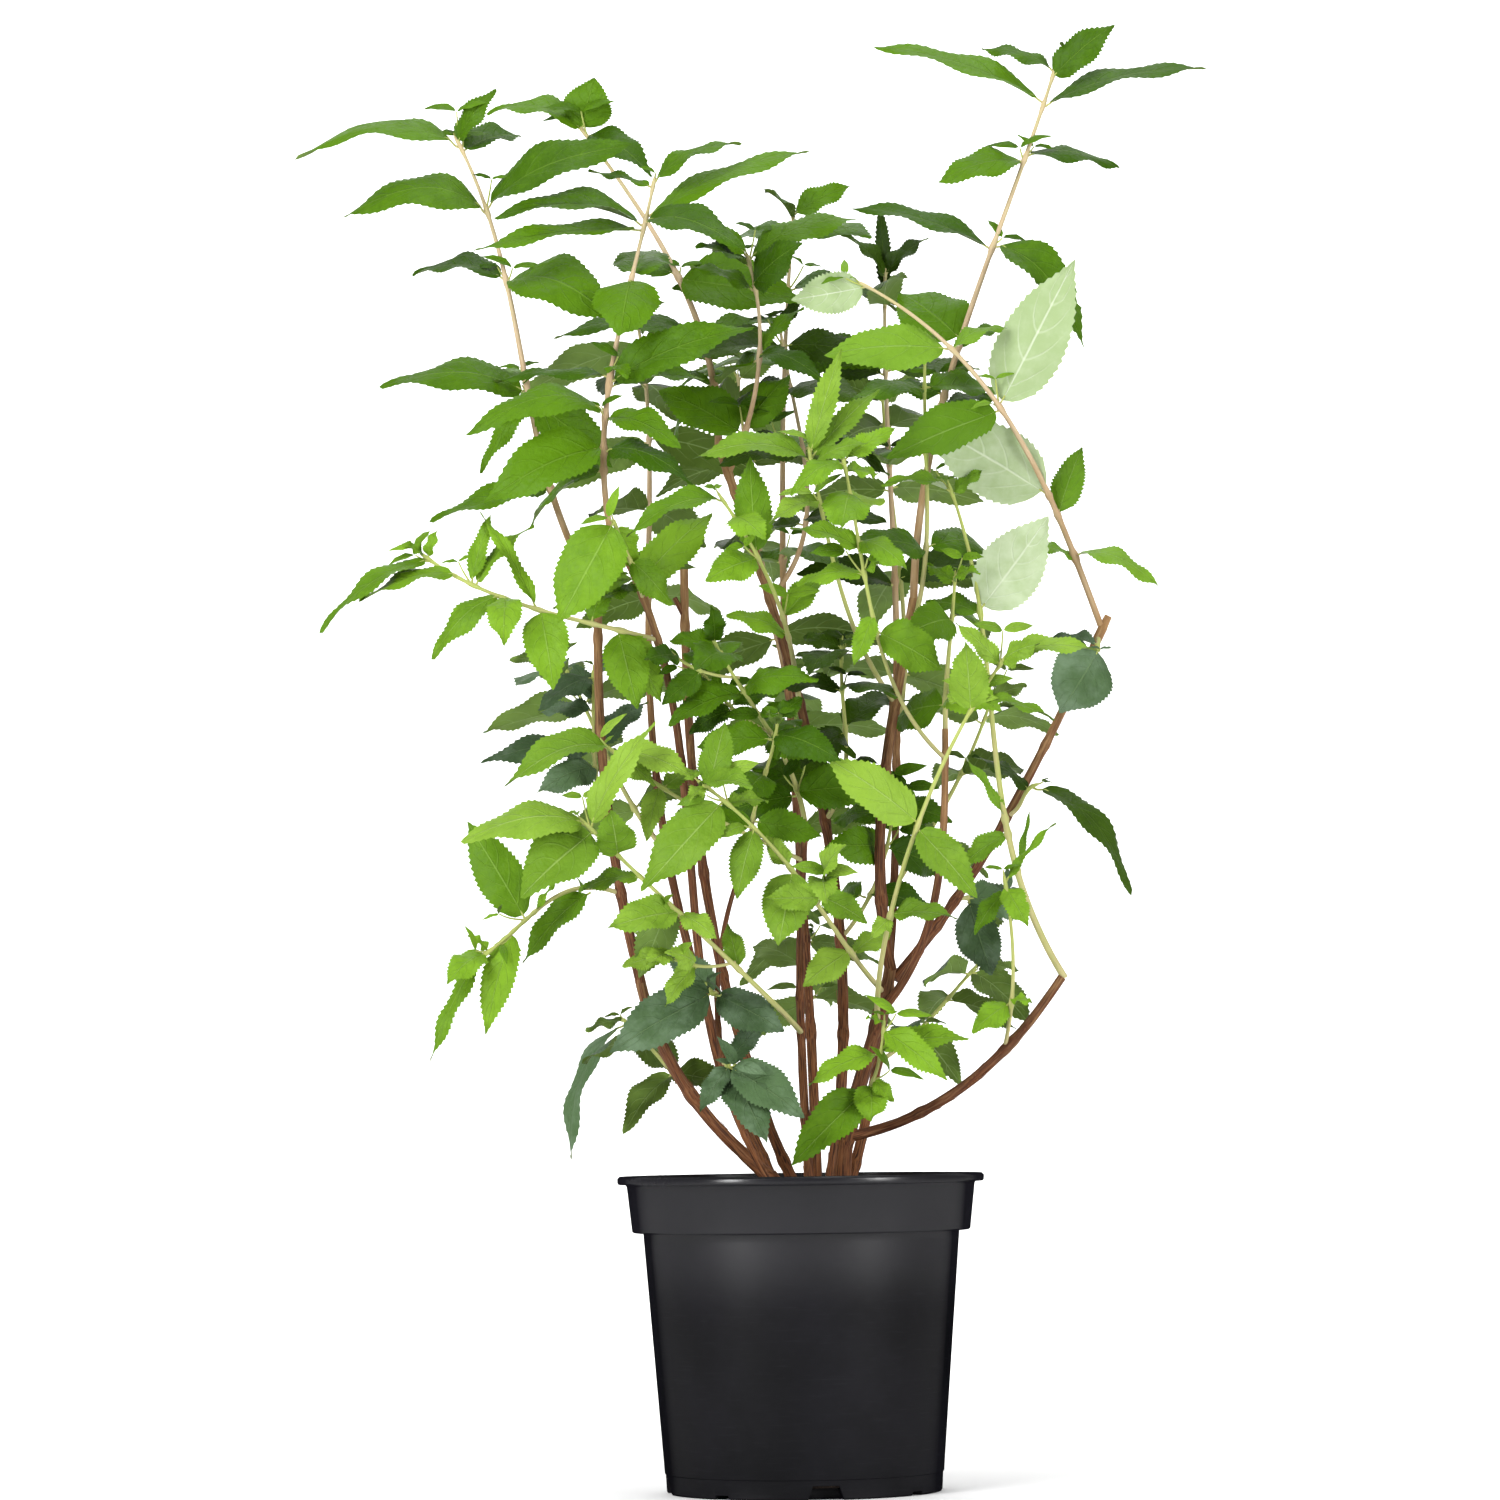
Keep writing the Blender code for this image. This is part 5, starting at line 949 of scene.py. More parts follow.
    def place_blade(self, spray: Spray, stem: Branch, number: int) -> Optional[LeafPlace]:
        """Places one listed leaf.

        Args:
            spray: the spray that it belongs to.
            stem: the spray's stem.
            number: which of the spray's blades it is.

        Returns:
            The leaf, or None where there is no room for it.
        """
        blade = spray.blades[number]
        ways = [(way_by_compass(blade.compass + more, blade.rise - lean), share)
                for more, lean, share in NUDGES]
        node = (stem, blade.at, (spray.name, 0, f"blade {number}"))
        self.axils[spray.name].append(Axil(stem, blade.at, ways[0][0], node[2]))
        return self.place(node, ways, blade.length, (blade.width, blade.arch), blade.light.value, 0.0)

    def place(self, node: tuple, ways: Sequence[tuple[Vector, float]], size: float,
              shape: tuple[float, float], light: Triple, roll: float) -> Optional[LeafPlace]:
        """Places a leaf the first way in which it touches nothing.

        Args:
            node: its branch, its place up it, and its owner.
            ways: directions to try, each with its share of the size.
            size: the leaf's length.
            shape: its width and arch, as shares of its length.
            light: the way that its upper face would look.
            roll: its roll in degrees.

        Returns:
            The leaf, or None where there is no room for it.
        """
        branch, at, owner = node
        middle, heading = branch.centre(at), branch.route.heading(at)
        petiole = PETIOLE_SHARE * branch.radius(at)
        for along, share in ways:
            up = face_of(along, heading, light, math.radians(roll))
            root = middle + (along - heading * along.dot(heading)).normalized() * ROOT_OFF_MIDDLE
            leaf = LeafPlace(root, along, up, size * share, *shape, petiole)
            if self.has_room(leaf, (owner[:2], owner)):
                self.crowd.add(owner, leaf.corners(), LEAF_FACES)
                return leaf
        return None

    def has_room(self, leaf: LeafPlace, own: Sequence[object]) -> bool:
        """Whether a leaf stays above the pot's rim and, with some room round it, touches nothing."""
        if min(corner.z for corner in leaf.corners()) < LOWEST_LEAF:
            return False
        return all(self.crowd.free(leaf.corners(*room), LEAF_FACES, own) for room in ROOMS)

    def grow_young(self, spray: Spray) -> None:
        """Grows young twigs from some of a spray's axils and a bud's pair at each of its tips."""
        rng = Random(spray.seed + YOUNG_DRAW)
        self.young[spray.name] = []
        for number, axil in enumerate(self.axils[spray.name]):
            chance, reach = rng.random(), rng.uniform(*YOUNG_TWIG)
            size, turn = rng.uniform(*YOUNG_LEAF), rng.uniform(-25, 25)
            if chance < YOUNG_SHARE:
                heading = axil.branch.route.heading(axil.at)
                leave = (axil.way * 0.55 + heading * 0.85).normalized()
                start = axil.branch.route.point(axil.at)
                own = (axil.owner[:2], axil.owner, (spray.name, "young", number))
                self.grow_young_twig(spray, (start, leave, reach), (size, turn), own)
        for number, (branch, _) in enumerate(self.twigs[spray.name]):
            size, turn = rng.uniform(*BUD_LEAF), rng.uniform(0, 90)
            start, leave = branch.route.point(0.995), branch.route.heading(1.0)
            owner = (spray.name, "bud", number)
            self.grow_young_twig(spray, (start, leave, 0.0035), (size, turn), ((spray.name, number), owner))

    def grow_young_twig(self, spray: Spray, line: tuple[Vector, Vector, float], pair: tuple[float, float],
                        own: Sequence[object]) -> None:
        """Grows one young twig with a pair of leaves at its tip.

        Args:
            spray: the spray that it belongs to.
            line: its start, its direction and its reach.
            pair: its leaves' length and the pair's turn about it in degrees.
            own: the owners that its leaves may touch, its own last.
        """
        start, leave, reach = line
        size, turn = pair
        tip = start + leave * reach + Vector((0, 0, reach * 0.18))
        route = Route(start, leave, tip, (leave + Vector((0, 0, 0.5))).normalized())
        leaves = []
        for half in (0, 180):
            along = way_off_stem(route.heading(1.0), turn + half, YOUNG_SPREAD, 6)
            up = face_of(along, route.heading(1.0), spray.light.value, 0.0)
            leaf = LeafPlace(tip, along, up, size, spray.width * 0.9, spray.arch, YOUNG_TWIG_RADIUS * 0.5)
            if self.crowd.free(leaf.corners(), LEAF_FACES, own) and tip.z > LOWEST_LEAF + size:
                leaves.append(leaf)
        if leaves:
            for leaf in leaves:
                self.crowd.add(own[-1], leaf.corners(), LEAF_FACES)
            self.young[spray.name].append(YoungTwig(route, leaves))


class MeshPile:
    """Gathers the points and faces of many small shapes, and makes one joined piece of them."""

    def __init__(self) -> None:
        """Starts with no shape."""
        self.points: list[Vector] = []
        self.faces: list[Face] = []
        self.finishes: list[int] = []
        self.maps: list[tuple[float, float]] = []
        self.tints: list[float] = []
        self.barks: list[Triple] = []

    def add(self, points: Sequence[Vector], faces: Sequence[Face], finish: int = 0, tint: float = 0.5,
            maps: Optional[Sequence[tuple[float, float]]] = None, tints: Optional[Sequence[float]] = None,
            barks: Optional[Sequence[Triple]] = None) -> None:
        """Adds one shape.

        Args:
            points: its points.
            faces: its faces, counted from its own first point.
            finish: the number of its material.
            tint: its place between the darker and the lighter shade.
            maps: the place of each point on a leaf, across and along.
            tints: a tint for each point, in place of one for all.
            barks: the place of each point on a stem: round it twice, and along it.
        """
        base = len(self.points)
        self.points.extend(points)
        self.faces.extend(tuple(base + i for i in face) for face in faces)
        self.finishes.extend([finish] * len(faces))
        self.maps.extend(maps or [(0.5, 0.0)] * len(points))
        self.tints.extend(tints or [tint] * len(points))
        self.barks.extend(barks or [(0.0, 0.0, 0.0)] * len(points))

    def piece(self, name: str, finishes: Sequence[bpy.types.Material],
              sharp_deg: float = 70) -> bpy.types.Object:
        """Makes the joined piece.

        Args:
            name: the piece's name.
            finishes: its materials, in the order of their numbers.
            sharp_deg: the angle past which an edge stays sharp.

        Returns:
            The new object.
        """
        mesh = bpy.data.meshes.new(name)
        mesh.from_pydata([tuple(p) for p in self.points], [], self.faces)
        for finish in finishes:
            mesh.materials.append(finish)
        mesh.polygons.foreach_set("material_index", self.finishes)
        loops = [0] * len(mesh.loops)
        mesh.loops.foreach_get("vertex_index", loops)
        places = [value for i in loops for value in self.maps[i]]
        mesh.uv_layers.new(name="blade").data.foreach_set("uv", places)
        mesh.attributes.new("tint", "FLOAT", "POINT").data.foreach_set("value", self.tints)
        flat = [value for bark in self.barks for value in bark]
        mesh.attributes.new("bark_place", "FLOAT_VECTOR", "POINT").data.foreach_set("vector", flat)
        mesh.shade_smooth()
        mesh.set_sharp_from_angle(angle=math.radians(sharp_deg))
        mesh.update()
        obj = bpy.data.objects.new(name, mesh)
        bpy.context.scene.collection.objects.link(obj)
        return obj


def hand_in(piece: bpy.types.Object, slot: str, *nodes: str) -> None:
    """Lets a piece ride on the plant's body, logs the name of its slot, and hides the solids that it stands
    for.

    Args:
        piece: the finished piece.
        slot: the name of its material slot, which is only logged.
        nodes: the solids that it replaces.
    """
    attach(piece, BODY)
    if nodes:
        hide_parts(*nodes)
    log.info("%s: %d faces, slot %s", piece.name, len(piece.data.polygons), slot)


@dataclass(frozen=True)
class Value:
    """The output of one node of a material, which arithmetic can be done on."""

    wires: "Wiring"
    socket: bpy.types.NodeSocket

    def __add__(self, other: object) -> "Value":
        """The sum."""
        return self.wires.math("ADD", self, other)

    def __sub__(self, other: object) -> "Value":
        """The difference."""
        return self.wires.math("SUBTRACT", self, other)

    def __mul__(self, other: object) -> "Value":
        """The product."""
        return self.wires.math("MULTIPLY", self, other)


class Wiring:
    """Adds and joins the nodes of one material."""

    def __init__(self, name: str) -> None:
        """Starts a material with its Principled shader.

        Args:
            name: the material's name.
        """
        self.material = bpy.data.materials.new(name)
        self.material.use_nodes = True
        self.nodes = self.material.node_tree.nodes
        self.links = self.material.node_tree.links
        self.shader = self.nodes["Principled BSDF"]

    def set(self, **values: float) -> None:
        """Sets constant values on the shader's own sockets, with _ for a space in their names."""
        for name, value in values.items():
            self.shader.inputs[name.replace("_", " ")].default_value = value

    def give(self, name: str, source: Value) -> None:
        """Joins a node's output to one of the shader's sockets."""
        self.feed(self.shader.inputs[name], source)

    def feed(self, target: bpy.types.NodeSocket, source: object) -> None:
        """Joins a node's output to a target, or sets the target to a plain value."""
        if isinstance(source, Value):
            self.links.new(source.socket, target)
        else:
            target.default_value = source

    def attribute(self, name: str, output: str = "Fac") -> Value:
        """Reads one of the mesh's own attributes."""
        node = self.nodes.new("ShaderNodeAttribute")
        node.attribute_name = name
        return Value(self, node.outputs[output])

    def own_map(self, name: str) -> Value:
        """Reads one of the mesh's own maps."""
        node = self.nodes.new("ShaderNodeUVMap")
        node.uv_map = name
        return Value(self, node.outputs["UV"])

    def split(self, vector: Value) -> list[Value]:
        """The three parts of a vector."""
        node = self.nodes.new("ShaderNodeSeparateXYZ")
        self.feed(node.inputs[0], vector)
        return [Value(self, output) for output in node.outputs]

    def place(self) -> Value:
        """Reads the object's own coordinates."""
        return Value(self, self.nodes.new("ShaderNodeTexCoord").outputs["Object"])

    def scaled(self, vector: Value, scale: Triple) -> Value:
        """Stretches a vector by a Mapping node."""
        node = self.nodes.new("ShaderNodeMapping")
        self.feed(node.inputs["Vector"], vector)
        node.inputs["Scale"].default_value = scale
        return Value(self, node.outputs["Vector"])

    def grain(self, vector: Value, scale: float, detail: float, roughness: float = 0.5) -> Value:
        """Reads a soft noise.

        Args:
            vector: where it is read.
            scale: how fine it is.
            detail: how many finer layers it has.
            roughness: how strong these are.

        Returns:
            Its strength.
        """
        node = self.nodes.new("ShaderNodeTexNoise")
        self.feed(node.inputs["Vector"], vector)
        node.inputs["Scale"].default_value = scale
        node.inputs["Detail"].default_value = detail
        node.inputs["Roughness"].default_value = roughness
        return Value(self, node.outputs["Fac"])

    def math(self, operation: str, *values: object) -> Value:
        """Works out one step of arithmetic on nodes' outputs and plain numbers."""
        node = self.nodes.new("ShaderNodeMath")
        node.operation = operation
        for target, value in zip(node.inputs, values):
            self.feed(target, value)
        return Value(self, node.outputs["Value"])

    def span(self, value: object, low: float, high: float, out_low: float = 0.0,
             out_high: float = 1.0) -> Value:
        """Turns a range of a value softly into another range."""
        node = self.nodes.new("ShaderNodeMapRange")
        node.interpolation_type = "SMOOTHSTEP"
        for name, number in (("Value", value), ("From Min", low), ("From Max", high), ("To Min", out_low),
                             ("To Max", out_high)):
            self.feed(node.inputs[name], number)
        return Value(self, node.outputs["Result"])

    def mix(self, factor: object, first: object, second: object) -> Value:
        """Mixes two colours.

        Args:
            factor: the share of the second.
            first: a colour or a node's output.
            second: a colour or a node's output.

        Returns:
            The mixed colour.
        """
        node = self.nodes.new("ShaderNodeMix")
        node.data_type = "RGBA"
        self.feed(node.inputs[0], factor)
        for target, colour in ((node.inputs[6], first), (node.inputs[7], second)):
            self.feed(target, colour if isinstance(colour, Value) else (*colour, 1.0))
        return Value(self, node.outputs[2])

    def ramp(self, factor: Value, stops: Sequence[tuple[float, Triple]]) -> Value:
        """Reads a colour from a row of stops."""
        node = self.nodes.new("ShaderNodeValToRGB")
        row = node.color_ramp.elements
        while len(row) < len(stops):
            row.new(0.5)
        for mark, (place, colour) in zip(row, stops):
            mark.position = place
            mark.color = (*colour, 1.0)
        self.feed(node.inputs["Fac"], factor)
        return Value(self, node.outputs["Color"])

    def bump(self, height: Value, strength: float, distance: float) -> None:
        """Gives the surface relief.

        Args:
            height: the relief.
            strength: how much of it shows.
            distance: how deep it is, in metres.
        """
        node = self.nodes.new("ShaderNodeBump")
        self.feed(node.inputs["Height"], height)
        node.inputs["Strength"].default_value = strength
        node.inputs["Distance"].default_value = distance
        self.links.new(node.outputs["Normal"], self.shader.inputs["Normal"])


@dataclass(frozen=True)
class LeafFinish:
    """The finish of one tone of leaf: its upper side and its underside, whose default colours are darkened as
    painted shade.
    """

    tone: Tone
    shade: Triple
    glow: Triple
    vein: Triple
    bloom: float = 0.0
    roughness: float = 0.48
    # Painted shade: the default underside colours are darkened as for undersides in shade inside the crown;
    # PALE gives its own lighter, lit ones
    under_shade: Triple = (0.080, 0.136, 0.018)
    under_glow: Triple = (0.150, 0.240, 0.050)
    under_vein: Triple = (0.240, 0.350, 0.110)
    veins: float = 5.2

    def vein_masks(self, wires: Wiring) -> tuple[Value, Value]:
        """Finds the midrib and the side veins from the leaf's own map.

        Args:
            wires: the material's wiring.

        Returns:
            The strength of the midrib and of the side veins.
        """
        across_blade, along_blade, _ = wires.split(wires.own_map("blade"))
        out = wires.math("ABSOLUTE", wires.math("MULTIPLY_ADD", across_blade, 2.0, -1.0))
        midrib = wires.span(out, 0.010, 0.055, 1.0, 0.0)
        bend = wires.math("MULTIPLY_ADD", out, 0.26, 0.12) * out
        near = wires.math("ABSOLUTE", wires.math("FRACT", (along_blade - bend) * self.veins) - 0.5)
        return midrib, wires.span(near, 0.012, 0.085, 1.0, 0.0) * wires.span(out, 0.45, 0.95, 1.0, 0.0)

    def upper(self) -> bpy.types.Material:
        """The upper side: two shades in soft mottling, a lighter midrib, faint veins and any grey bloom."""
        wires = Wiring(f"{self.tone.value}_upper")
        midrib, side = self.vein_masks(wires)
        place = wires.place()
        cloud = wires.grain(place, 75.0, 3.0, 0.55)
        fleck = wires.grain(place, 420.0, 2.0, 0.6)
        share = cloud * 0.55 + fleck * 0.25 + wires.attribute("tint") * 0.75
        colour = wires.mix(wires.span(share, 0.38, 1.10), self.shade, self.glow)
        if self.bloom:
            dust = wires.span(wires.grain(place, 38.0, 4.0, 0.65), 0.42, 0.72, 0.0, self.bloom)
            colour = wires.mix(dust, colour, (0.36, 0.48, 0.36))
        colour = wires.mix(side * 0.09, colour, self.vein)
        colour = wires.mix(midrib * 0.42, colour, self.vein)
        wires.give("Base Color", colour)
        wires.set(Specular_IOR_Level=0.12)
        gloss = wires.span(fleck, 0.3, 0.7, self.roughness - 0.06, self.roughness + 0.08)
        wires.give("Roughness", gloss)
        dips = wires.math("MAXIMUM", midrib, side * 0.6)
        crinkle = wires.grain(place, 210.0, 2.0, 0.5)
        wires.bump(fleck * 0.30 + crinkle * 1.6 - dips, 0.75, 0.0007)
        return wires.material

    def under(self) -> bpy.types.Material:
        """The underside: matte, darkened as painted shade for every tone but PALE, with a raised midrib and
        raised side veins.
        """
        wires = Wiring(f"{self.tone.value}_under")
        midrib, side = self.vein_masks(wires)
        place = wires.place()
        cloud = wires.grain(place, 90.0, 3.0, 0.6)
        share = cloud * 0.6 + wires.attribute("tint") * 0.5
        colour = wires.mix(wires.span(share, 0.30, 0.85), self.under_shade, self.under_glow)
        colour = wires.mix(side * 0.30, colour, self.under_vein)
        colour = wires.mix(midrib * 0.70, colour, self.under_vein)
        wires.give("Base Color", colour)
        wires.set(Specular_IOR_Level=0.12)
        wires.give("Roughness", wires.span(cloud, 0.3, 0.7, 0.60, 0.76))
        wires.bump(wires.math("MAXIMUM", midrib, side * 0.7), 0.6, 0.0005)
        return wires.material


LEAF_FINISHES = {finish.tone: finish for finish in (
    LeafFinish(FRESH, (0.108, 0.216, 0.012), (0.210, 0.352, 0.034), (0.360, 0.520, 0.140)),
    LeafFinish(BRIGHT, (0.080, 0.180, 0.005), (0.168, 0.322, 0.016), (0.270, 0.440, 0.080)),
    LeafFinish(MID, (0.034, 0.090, 0.001), (0.080, 0.184, 0.003), (0.150, 0.280, 0.028)),
    # Painted shade: the mid green at about half its brightness, for the leaves inside and at the back of the
    # crown
    LeafFinish(DEEP, (0.017, 0.040, 0.001), (0.038, 0.084, 0.002), (0.080, 0.150, 0.012)),
    LeafFinish(BLUE, (0.034, 0.066, 0.024), (0.070, 0.126, 0.050), (0.120, 0.190, 0.080), 0.18, 0.60),
    # PALE: its underside colours are a lit copy, the underside's own pale green lightened and whitened as
    # painted light and painted sheen
    LeafFinish(PALE, (0.080, 0.180, 0.006), (0.150, 0.290, 0.020), (0.260, 0.420, 0.090), 0.0, 0.54,
               (0.300, 0.395, 0.190), (0.470, 0.550, 0.370), (0.570, 0.640, 0.470)),
)}


@dataclass(frozen=True)
class LeafMood:
    """What sets one leaf apart from the next: its droop, its waves, its fold, its bite and its tint."""

    droop: float
    phase: float
    fold: float
    twist: float
    sweep: float
    bite_at: float
    bite: float
    tint: float

    @classmethod
    def drawn(cls, rng: Random) -> "LeafMood":
        """Draws one leaf's mood."""
        return cls(rng.uniform(0.0, 0.045), rng.uniform(0, 2 * math.pi), rng.uniform(0.35, 1.55),
                   rng.uniform(-0.5, 0.5), rng.uniform(-0.05, 0.05), rng.uniform(0.25, 0.9),
                   rng.uniform(0.10, 0.42) * (rng.random() < 0.10), rng.random())


@dataclass(frozen=True)
class LeafPattern:
    """Cuts leaves to a pattern, with an upper side and an underside that meet in a toothed margin."""

    stations: int = 12
    teeth: int = 17
    tooth_depth: float = 0.0014
    first_tooth: float = 0.10
    base_power: float = 0.56
    tip_power: float = 0.95
    petiole: float = 0.045
    inner: float = 0.54
    fold: float = 0.62
    cup: float = 0.46
    wave: float = 0.0019
    thickness: float = 0.00032
    rib: float = 0.0007

    def half_width(self, u: float) -> float:
        """The half width at a share u of the blade, where its widest is 1."""
        widest = self.base_power / (self.base_power + self.tip_power)
        peak = widest**self.base_power * (1 - widest) ** self.tip_power
        half = max(u, 0.0) ** self.base_power * max(1 - u, 0.0) ** self.tip_power / peak
        return half * (1 - 0.28 * smooth(0.66, 1.0, u))

    def margin(self, place: LeafPlace) -> list[tuple[float, float]]:
        """The toothed outline of one side.

        Args:
            place: the leaf.

        Returns:
            For each point its share of the blade and how far it stands out, as a share of the half width.
        """
        marks = [(0.02, 1.0), (0.055, 1.0)]
        for tooth in range(self.teeth):
            valley = self.first_tooth + (0.985 - self.first_tooth) * tooth / self.teeth
            point = valley + (0.985 - self.first_tooth) / self.teeth * 0.74
            half = 0.5 * place.width * place.length * self.half_width(point)
            depth = min(0.30, self.tooth_depth / max(half, 0.0008))
            marks += [(valley, 1.0), (point, 1.0 + depth)]
        return marks

    def spot(self, place: LeafPlace, mood: LeafMood, u: float, v: float, out: float = 1.0,
             drop: float = 0.0) -> Vector:
        """A point of the blade.

        Args:
            place: where the leaf stands.
            mood: the leaf's own bends.
            u: the share along the blade.
            v: the place across it, from -1 to 1.
            out: how far a margin point stands out, as a share of the half width.
            drop: how far below the upper side it lies.

        Returns:
            The point.
        """
        length = place.length
        share = self.petiole + (1 - self.petiole) * u
        bite = 1 - mood.bite * math.exp(-((u - mood.bite_at) / 0.045) ** 2) if v > 0 else 1.0
        half = 0.5 * place.width * length * self.half_width(u) * bite
        left = place.up.cross(place.along)
        turn = mood.twist * (u - 0.3)
        side = left * math.cos(turn) + place.up * math.sin(turn)
        up = place.up * math.cos(turn) - left * math.sin(turn)
        rise = 1.10 * place.arch * length * math.sin(math.pi * share**0.8)
        rise -= mood.droop * length * max(0.0, (share - 0.55) / 0.45) ** 2
        fold = self.fold * mood.fold * (1 - 0.35 * u)
        lift = half * (fold * (abs(v) - 0.42) - self.cup * (v * v - 0.30))
        ripple = math.sin(u * 13.0 + mood.phase + (1.9 if v > 0 else 0.0)) * self.wave * v * v
        middle = place.root + place.along * (share * length) + left * (mood.sweep * length * share * share)
        return middle + place.up * rise + side * (half * v * out) + up * (lift + ripple - drop)

    def cut(self, pile: MeshPile, place: LeafPlace, mood: LeafMood) -> None:
        """Cuts one leaf and adds it to a pile, the upper side in finish 0 and the underside in finish 1.

        Args:
            pile: the pile that it joins.
            place: where the leaf stands.
            mood: its own bends and tint.
        """
        points = [self.spot(place, mood, 0.0, 0.0), self.spot(place, mood, 1.0, 0.0)]
        maps = [(0.5, 0.0), (0.5, 1.0)]
        shares = [(k + 0.45) / self.stations for k in range(self.stations)]

        def row(marks: Sequence[tuple[float, float]], v: float, thick: float) -> list[tuple[float, int]]:
            """A row of points from the base to the tip, each with its share along the blade."""
            found = [(0.0, 0)]
            for u, out in marks:
                rib = self.rib * (1 - 0.6 * u) if v == 0 else 0.0
                drop = thick + (rib if thick else 0.0)
                found.append((u, len(points)))
                points.append(self.spot(place, mood, u, v, out, drop))
                maps.append((0.5 + 0.5 * v, u))
            return found + [(1.0, 1)]

        plain = [(u, 1.0) for u in shares]
        edge = self.margin(place) if self.teeth else plain
        margins = {sign: row(edge, sign, 0.0) for sign in (-1, 1)}
        upper: list[Face] = []
        under: list[Face] = []
        for faces, thick, flip in ((upper, 0.0, False), (under, self.thickness, True)):
            middle = row(plain, 0.0, thick)
            for sign in (-1, 1):
                inner = row(plain, sign * self.inner, thick)
                turned = flip if sign > 0 else not flip
                faces += self.stitch(middle, inner, turned) + self.stitch(inner, margins[sign], turned)
        pile.add(points, upper, 0, mood.tint, maps)
        base = len(pile.points) - len(points)
        pile.faces.extend(tuple(base + i for i in face) for face in under)
        pile.finishes.extend([1] * len(under))

    @staticmethod
    def stitch(first: Sequence[tuple[float, int]], second: Sequence[tuple[float, int]],
               flip: bool) -> list[Face]:
        """Fills the strip between two rows that share their ends.

        Args:
            first: a row of (share, point).
            second: the next row.
            flip: whether the faces look the other way.

        Returns:
            The strip's triangles.
        """
        faces: list[Face] = []
        i = j = 0
        while i < len(first) - 1 or j < len(second) - 1:
            step_first = j == len(second) - 1 or (i < len(first) - 1 and first[i + 1][0] <= second[j + 1][0])
            apex = first[i + 1][1] if step_first else second[j + 1][1]
            corners = (first[i][1], second[j][1], apex)
            if len(set(corners)) == 3:
                faces.append(corners[::-1] if flip else corners)
            i, j = (i + 1, j) if step_first else (i, j + 1)
        return faces


@dataclass(frozen=True)
class StemSkin:
    """How the skin of a limb or a shoot is modelled: its rings, its sides, its relief and its age."""

    spacing: float
    sides: int
    relief: float
    ages: tuple[float, float]
    swell: float = 0.35
    swell_width: float = 0.0022

    def tube(self, pile: MeshPile, route: Route, radius_at: Callable[[float], float],
             nodes: Sequence[float], seed: int, span: tuple[float, float] = (0.0, 1.0)) -> None:
        """Adds a closed tube with streaks, cracks and swollen nodes.

        Args:
            pile: the pile that it joins.
            route: the curve that it follows.
            radius_at: the radius at a share of the curve.
            nodes: the shares at which it swells.
            seed: sets its relief apart from that of other stems.
            span: the shares at which it starts and ends, which may lie a little past the curve's ends.
        """
        length = route.length()
        low, high = span
        rings = max(3, round(length * (high - low) / self.spacing))
        points: list[Vector] = []
        barks: list[Triple] = []
        tints: list[float] = []
        shift = Vector((seed * 3.17, seed * 1.31, seed * 0.73))
        for i in range(rings + 1):
            t = low + (high - low) * i / rings
            inside = min(1.0, max(0.0, t))
            heading = route.heading(inside)
            centre = route.point(inside) + heading * ((t - inside) * length)
            side, other = across(heading)
            knot = sum(math.exp(-(((t - node) * length) / self.swell_width) ** 2) for node in nodes)
            radius = radius_at(inside) * (1 + self.swell * min(1.0, knot))
            age = self.ages[0] + (self.ages[1] - self.ages[0]) * inside
            for k in range(self.sides):
                turn = 2 * math.pi * k / self.sides
                c, s = math.cos(turn), math.sin(turn)
                along = t * length
                streak = noise.noise(Vector((c * 1.6, s * 1.6, along * 34)) + shift)
                crack = abs(noise.noise(Vector((c * 3.0, s * 3.0, along * 16)) - shift))
                groove = max(0.0, 0.16 - crack) / 0.16
                reach = radius * (1 + self.relief * (streak * 0.9 - groove * 0.8))
                points.append(centre + (side * c + other * s) * reach)
                barks.append((c * radius, s * radius, along))
                tints.append(min(1.0, max(0.0, age - 0.10 * groove * (self.relief > 0.05) + 0.06 * streak)))
        pile.add(points, tube_faces(rings + 1, self.sides), 0, 0.5, None, tints, barks)


@dataclass(frozen=True)
class BarkFinish:
    """The finish of stems by age: green, then beige, red-brown and at last orange-brown and peeling."""

    name: str = "stem_bark"
    green: Triple = (0.360, 0.430, 0.110)
    beige: Triple = (0.540, 0.420, 0.270)
    tan: Triple = (0.310, 0.180, 0.078)
    red: Triple = (0.108, 0.038, 0.017)
    old: Triple = (0.215, 0.080, 0.030)
    streak: Triple = (0.56, 0.34, 0.18)
    crack: Triple = (0.045, 0.020, 0.013)

    def material(self) -> bpy.types.Material:
        """The bark, streaked along the stem, with dark cracks where it is old."""
        wires = Wiring(self.name)
        place = wires.attribute("bark_place", "Vector")
        age = wires.attribute("tint")
        streaks = wires.grain(wires.scaled(place, (1.0, 1.0, 0.07)), 900.0, 4.0, 0.6)
        patches = wires.grain(wires.scaled(place, (1.0, 1.0, 0.35)), 160.0, 3.0, 0.6)
        lines = wires.grain(wires.scaled(place, (1.0, 1.0, 0.04)), 1600.0, 2.0, 0.5)
        stops = ((0.05, self.green), (0.28, self.beige), (0.46, self.tan), (0.66, self.red), (0.92, self.old))
        colour = wires.ramp(age + wires.math("MULTIPLY_ADD", patches, 0.20, -0.10), stops)
        colour = wires.mix(wires.span(streaks, 0.40, 0.75, 0.0, 0.22), colour, self.streak)
        dark = wires.span(lines, 0.36, 0.54, 0.88, 0.0) * wires.span(age, 0.35, 0.8)
        colour = wires.mix(dark, colour, self.crack)
        wires.give("Base Color", colour)
        wires.give("Roughness", wires.span(streaks, 0.3, 0.7, 0.50, 0.78))
        wires.set(Specular_IOR_Level=0.12)
        wires.bump(streaks * 0.6 + lines * 0.6, 0.8, 0.0006)
        return wires.material


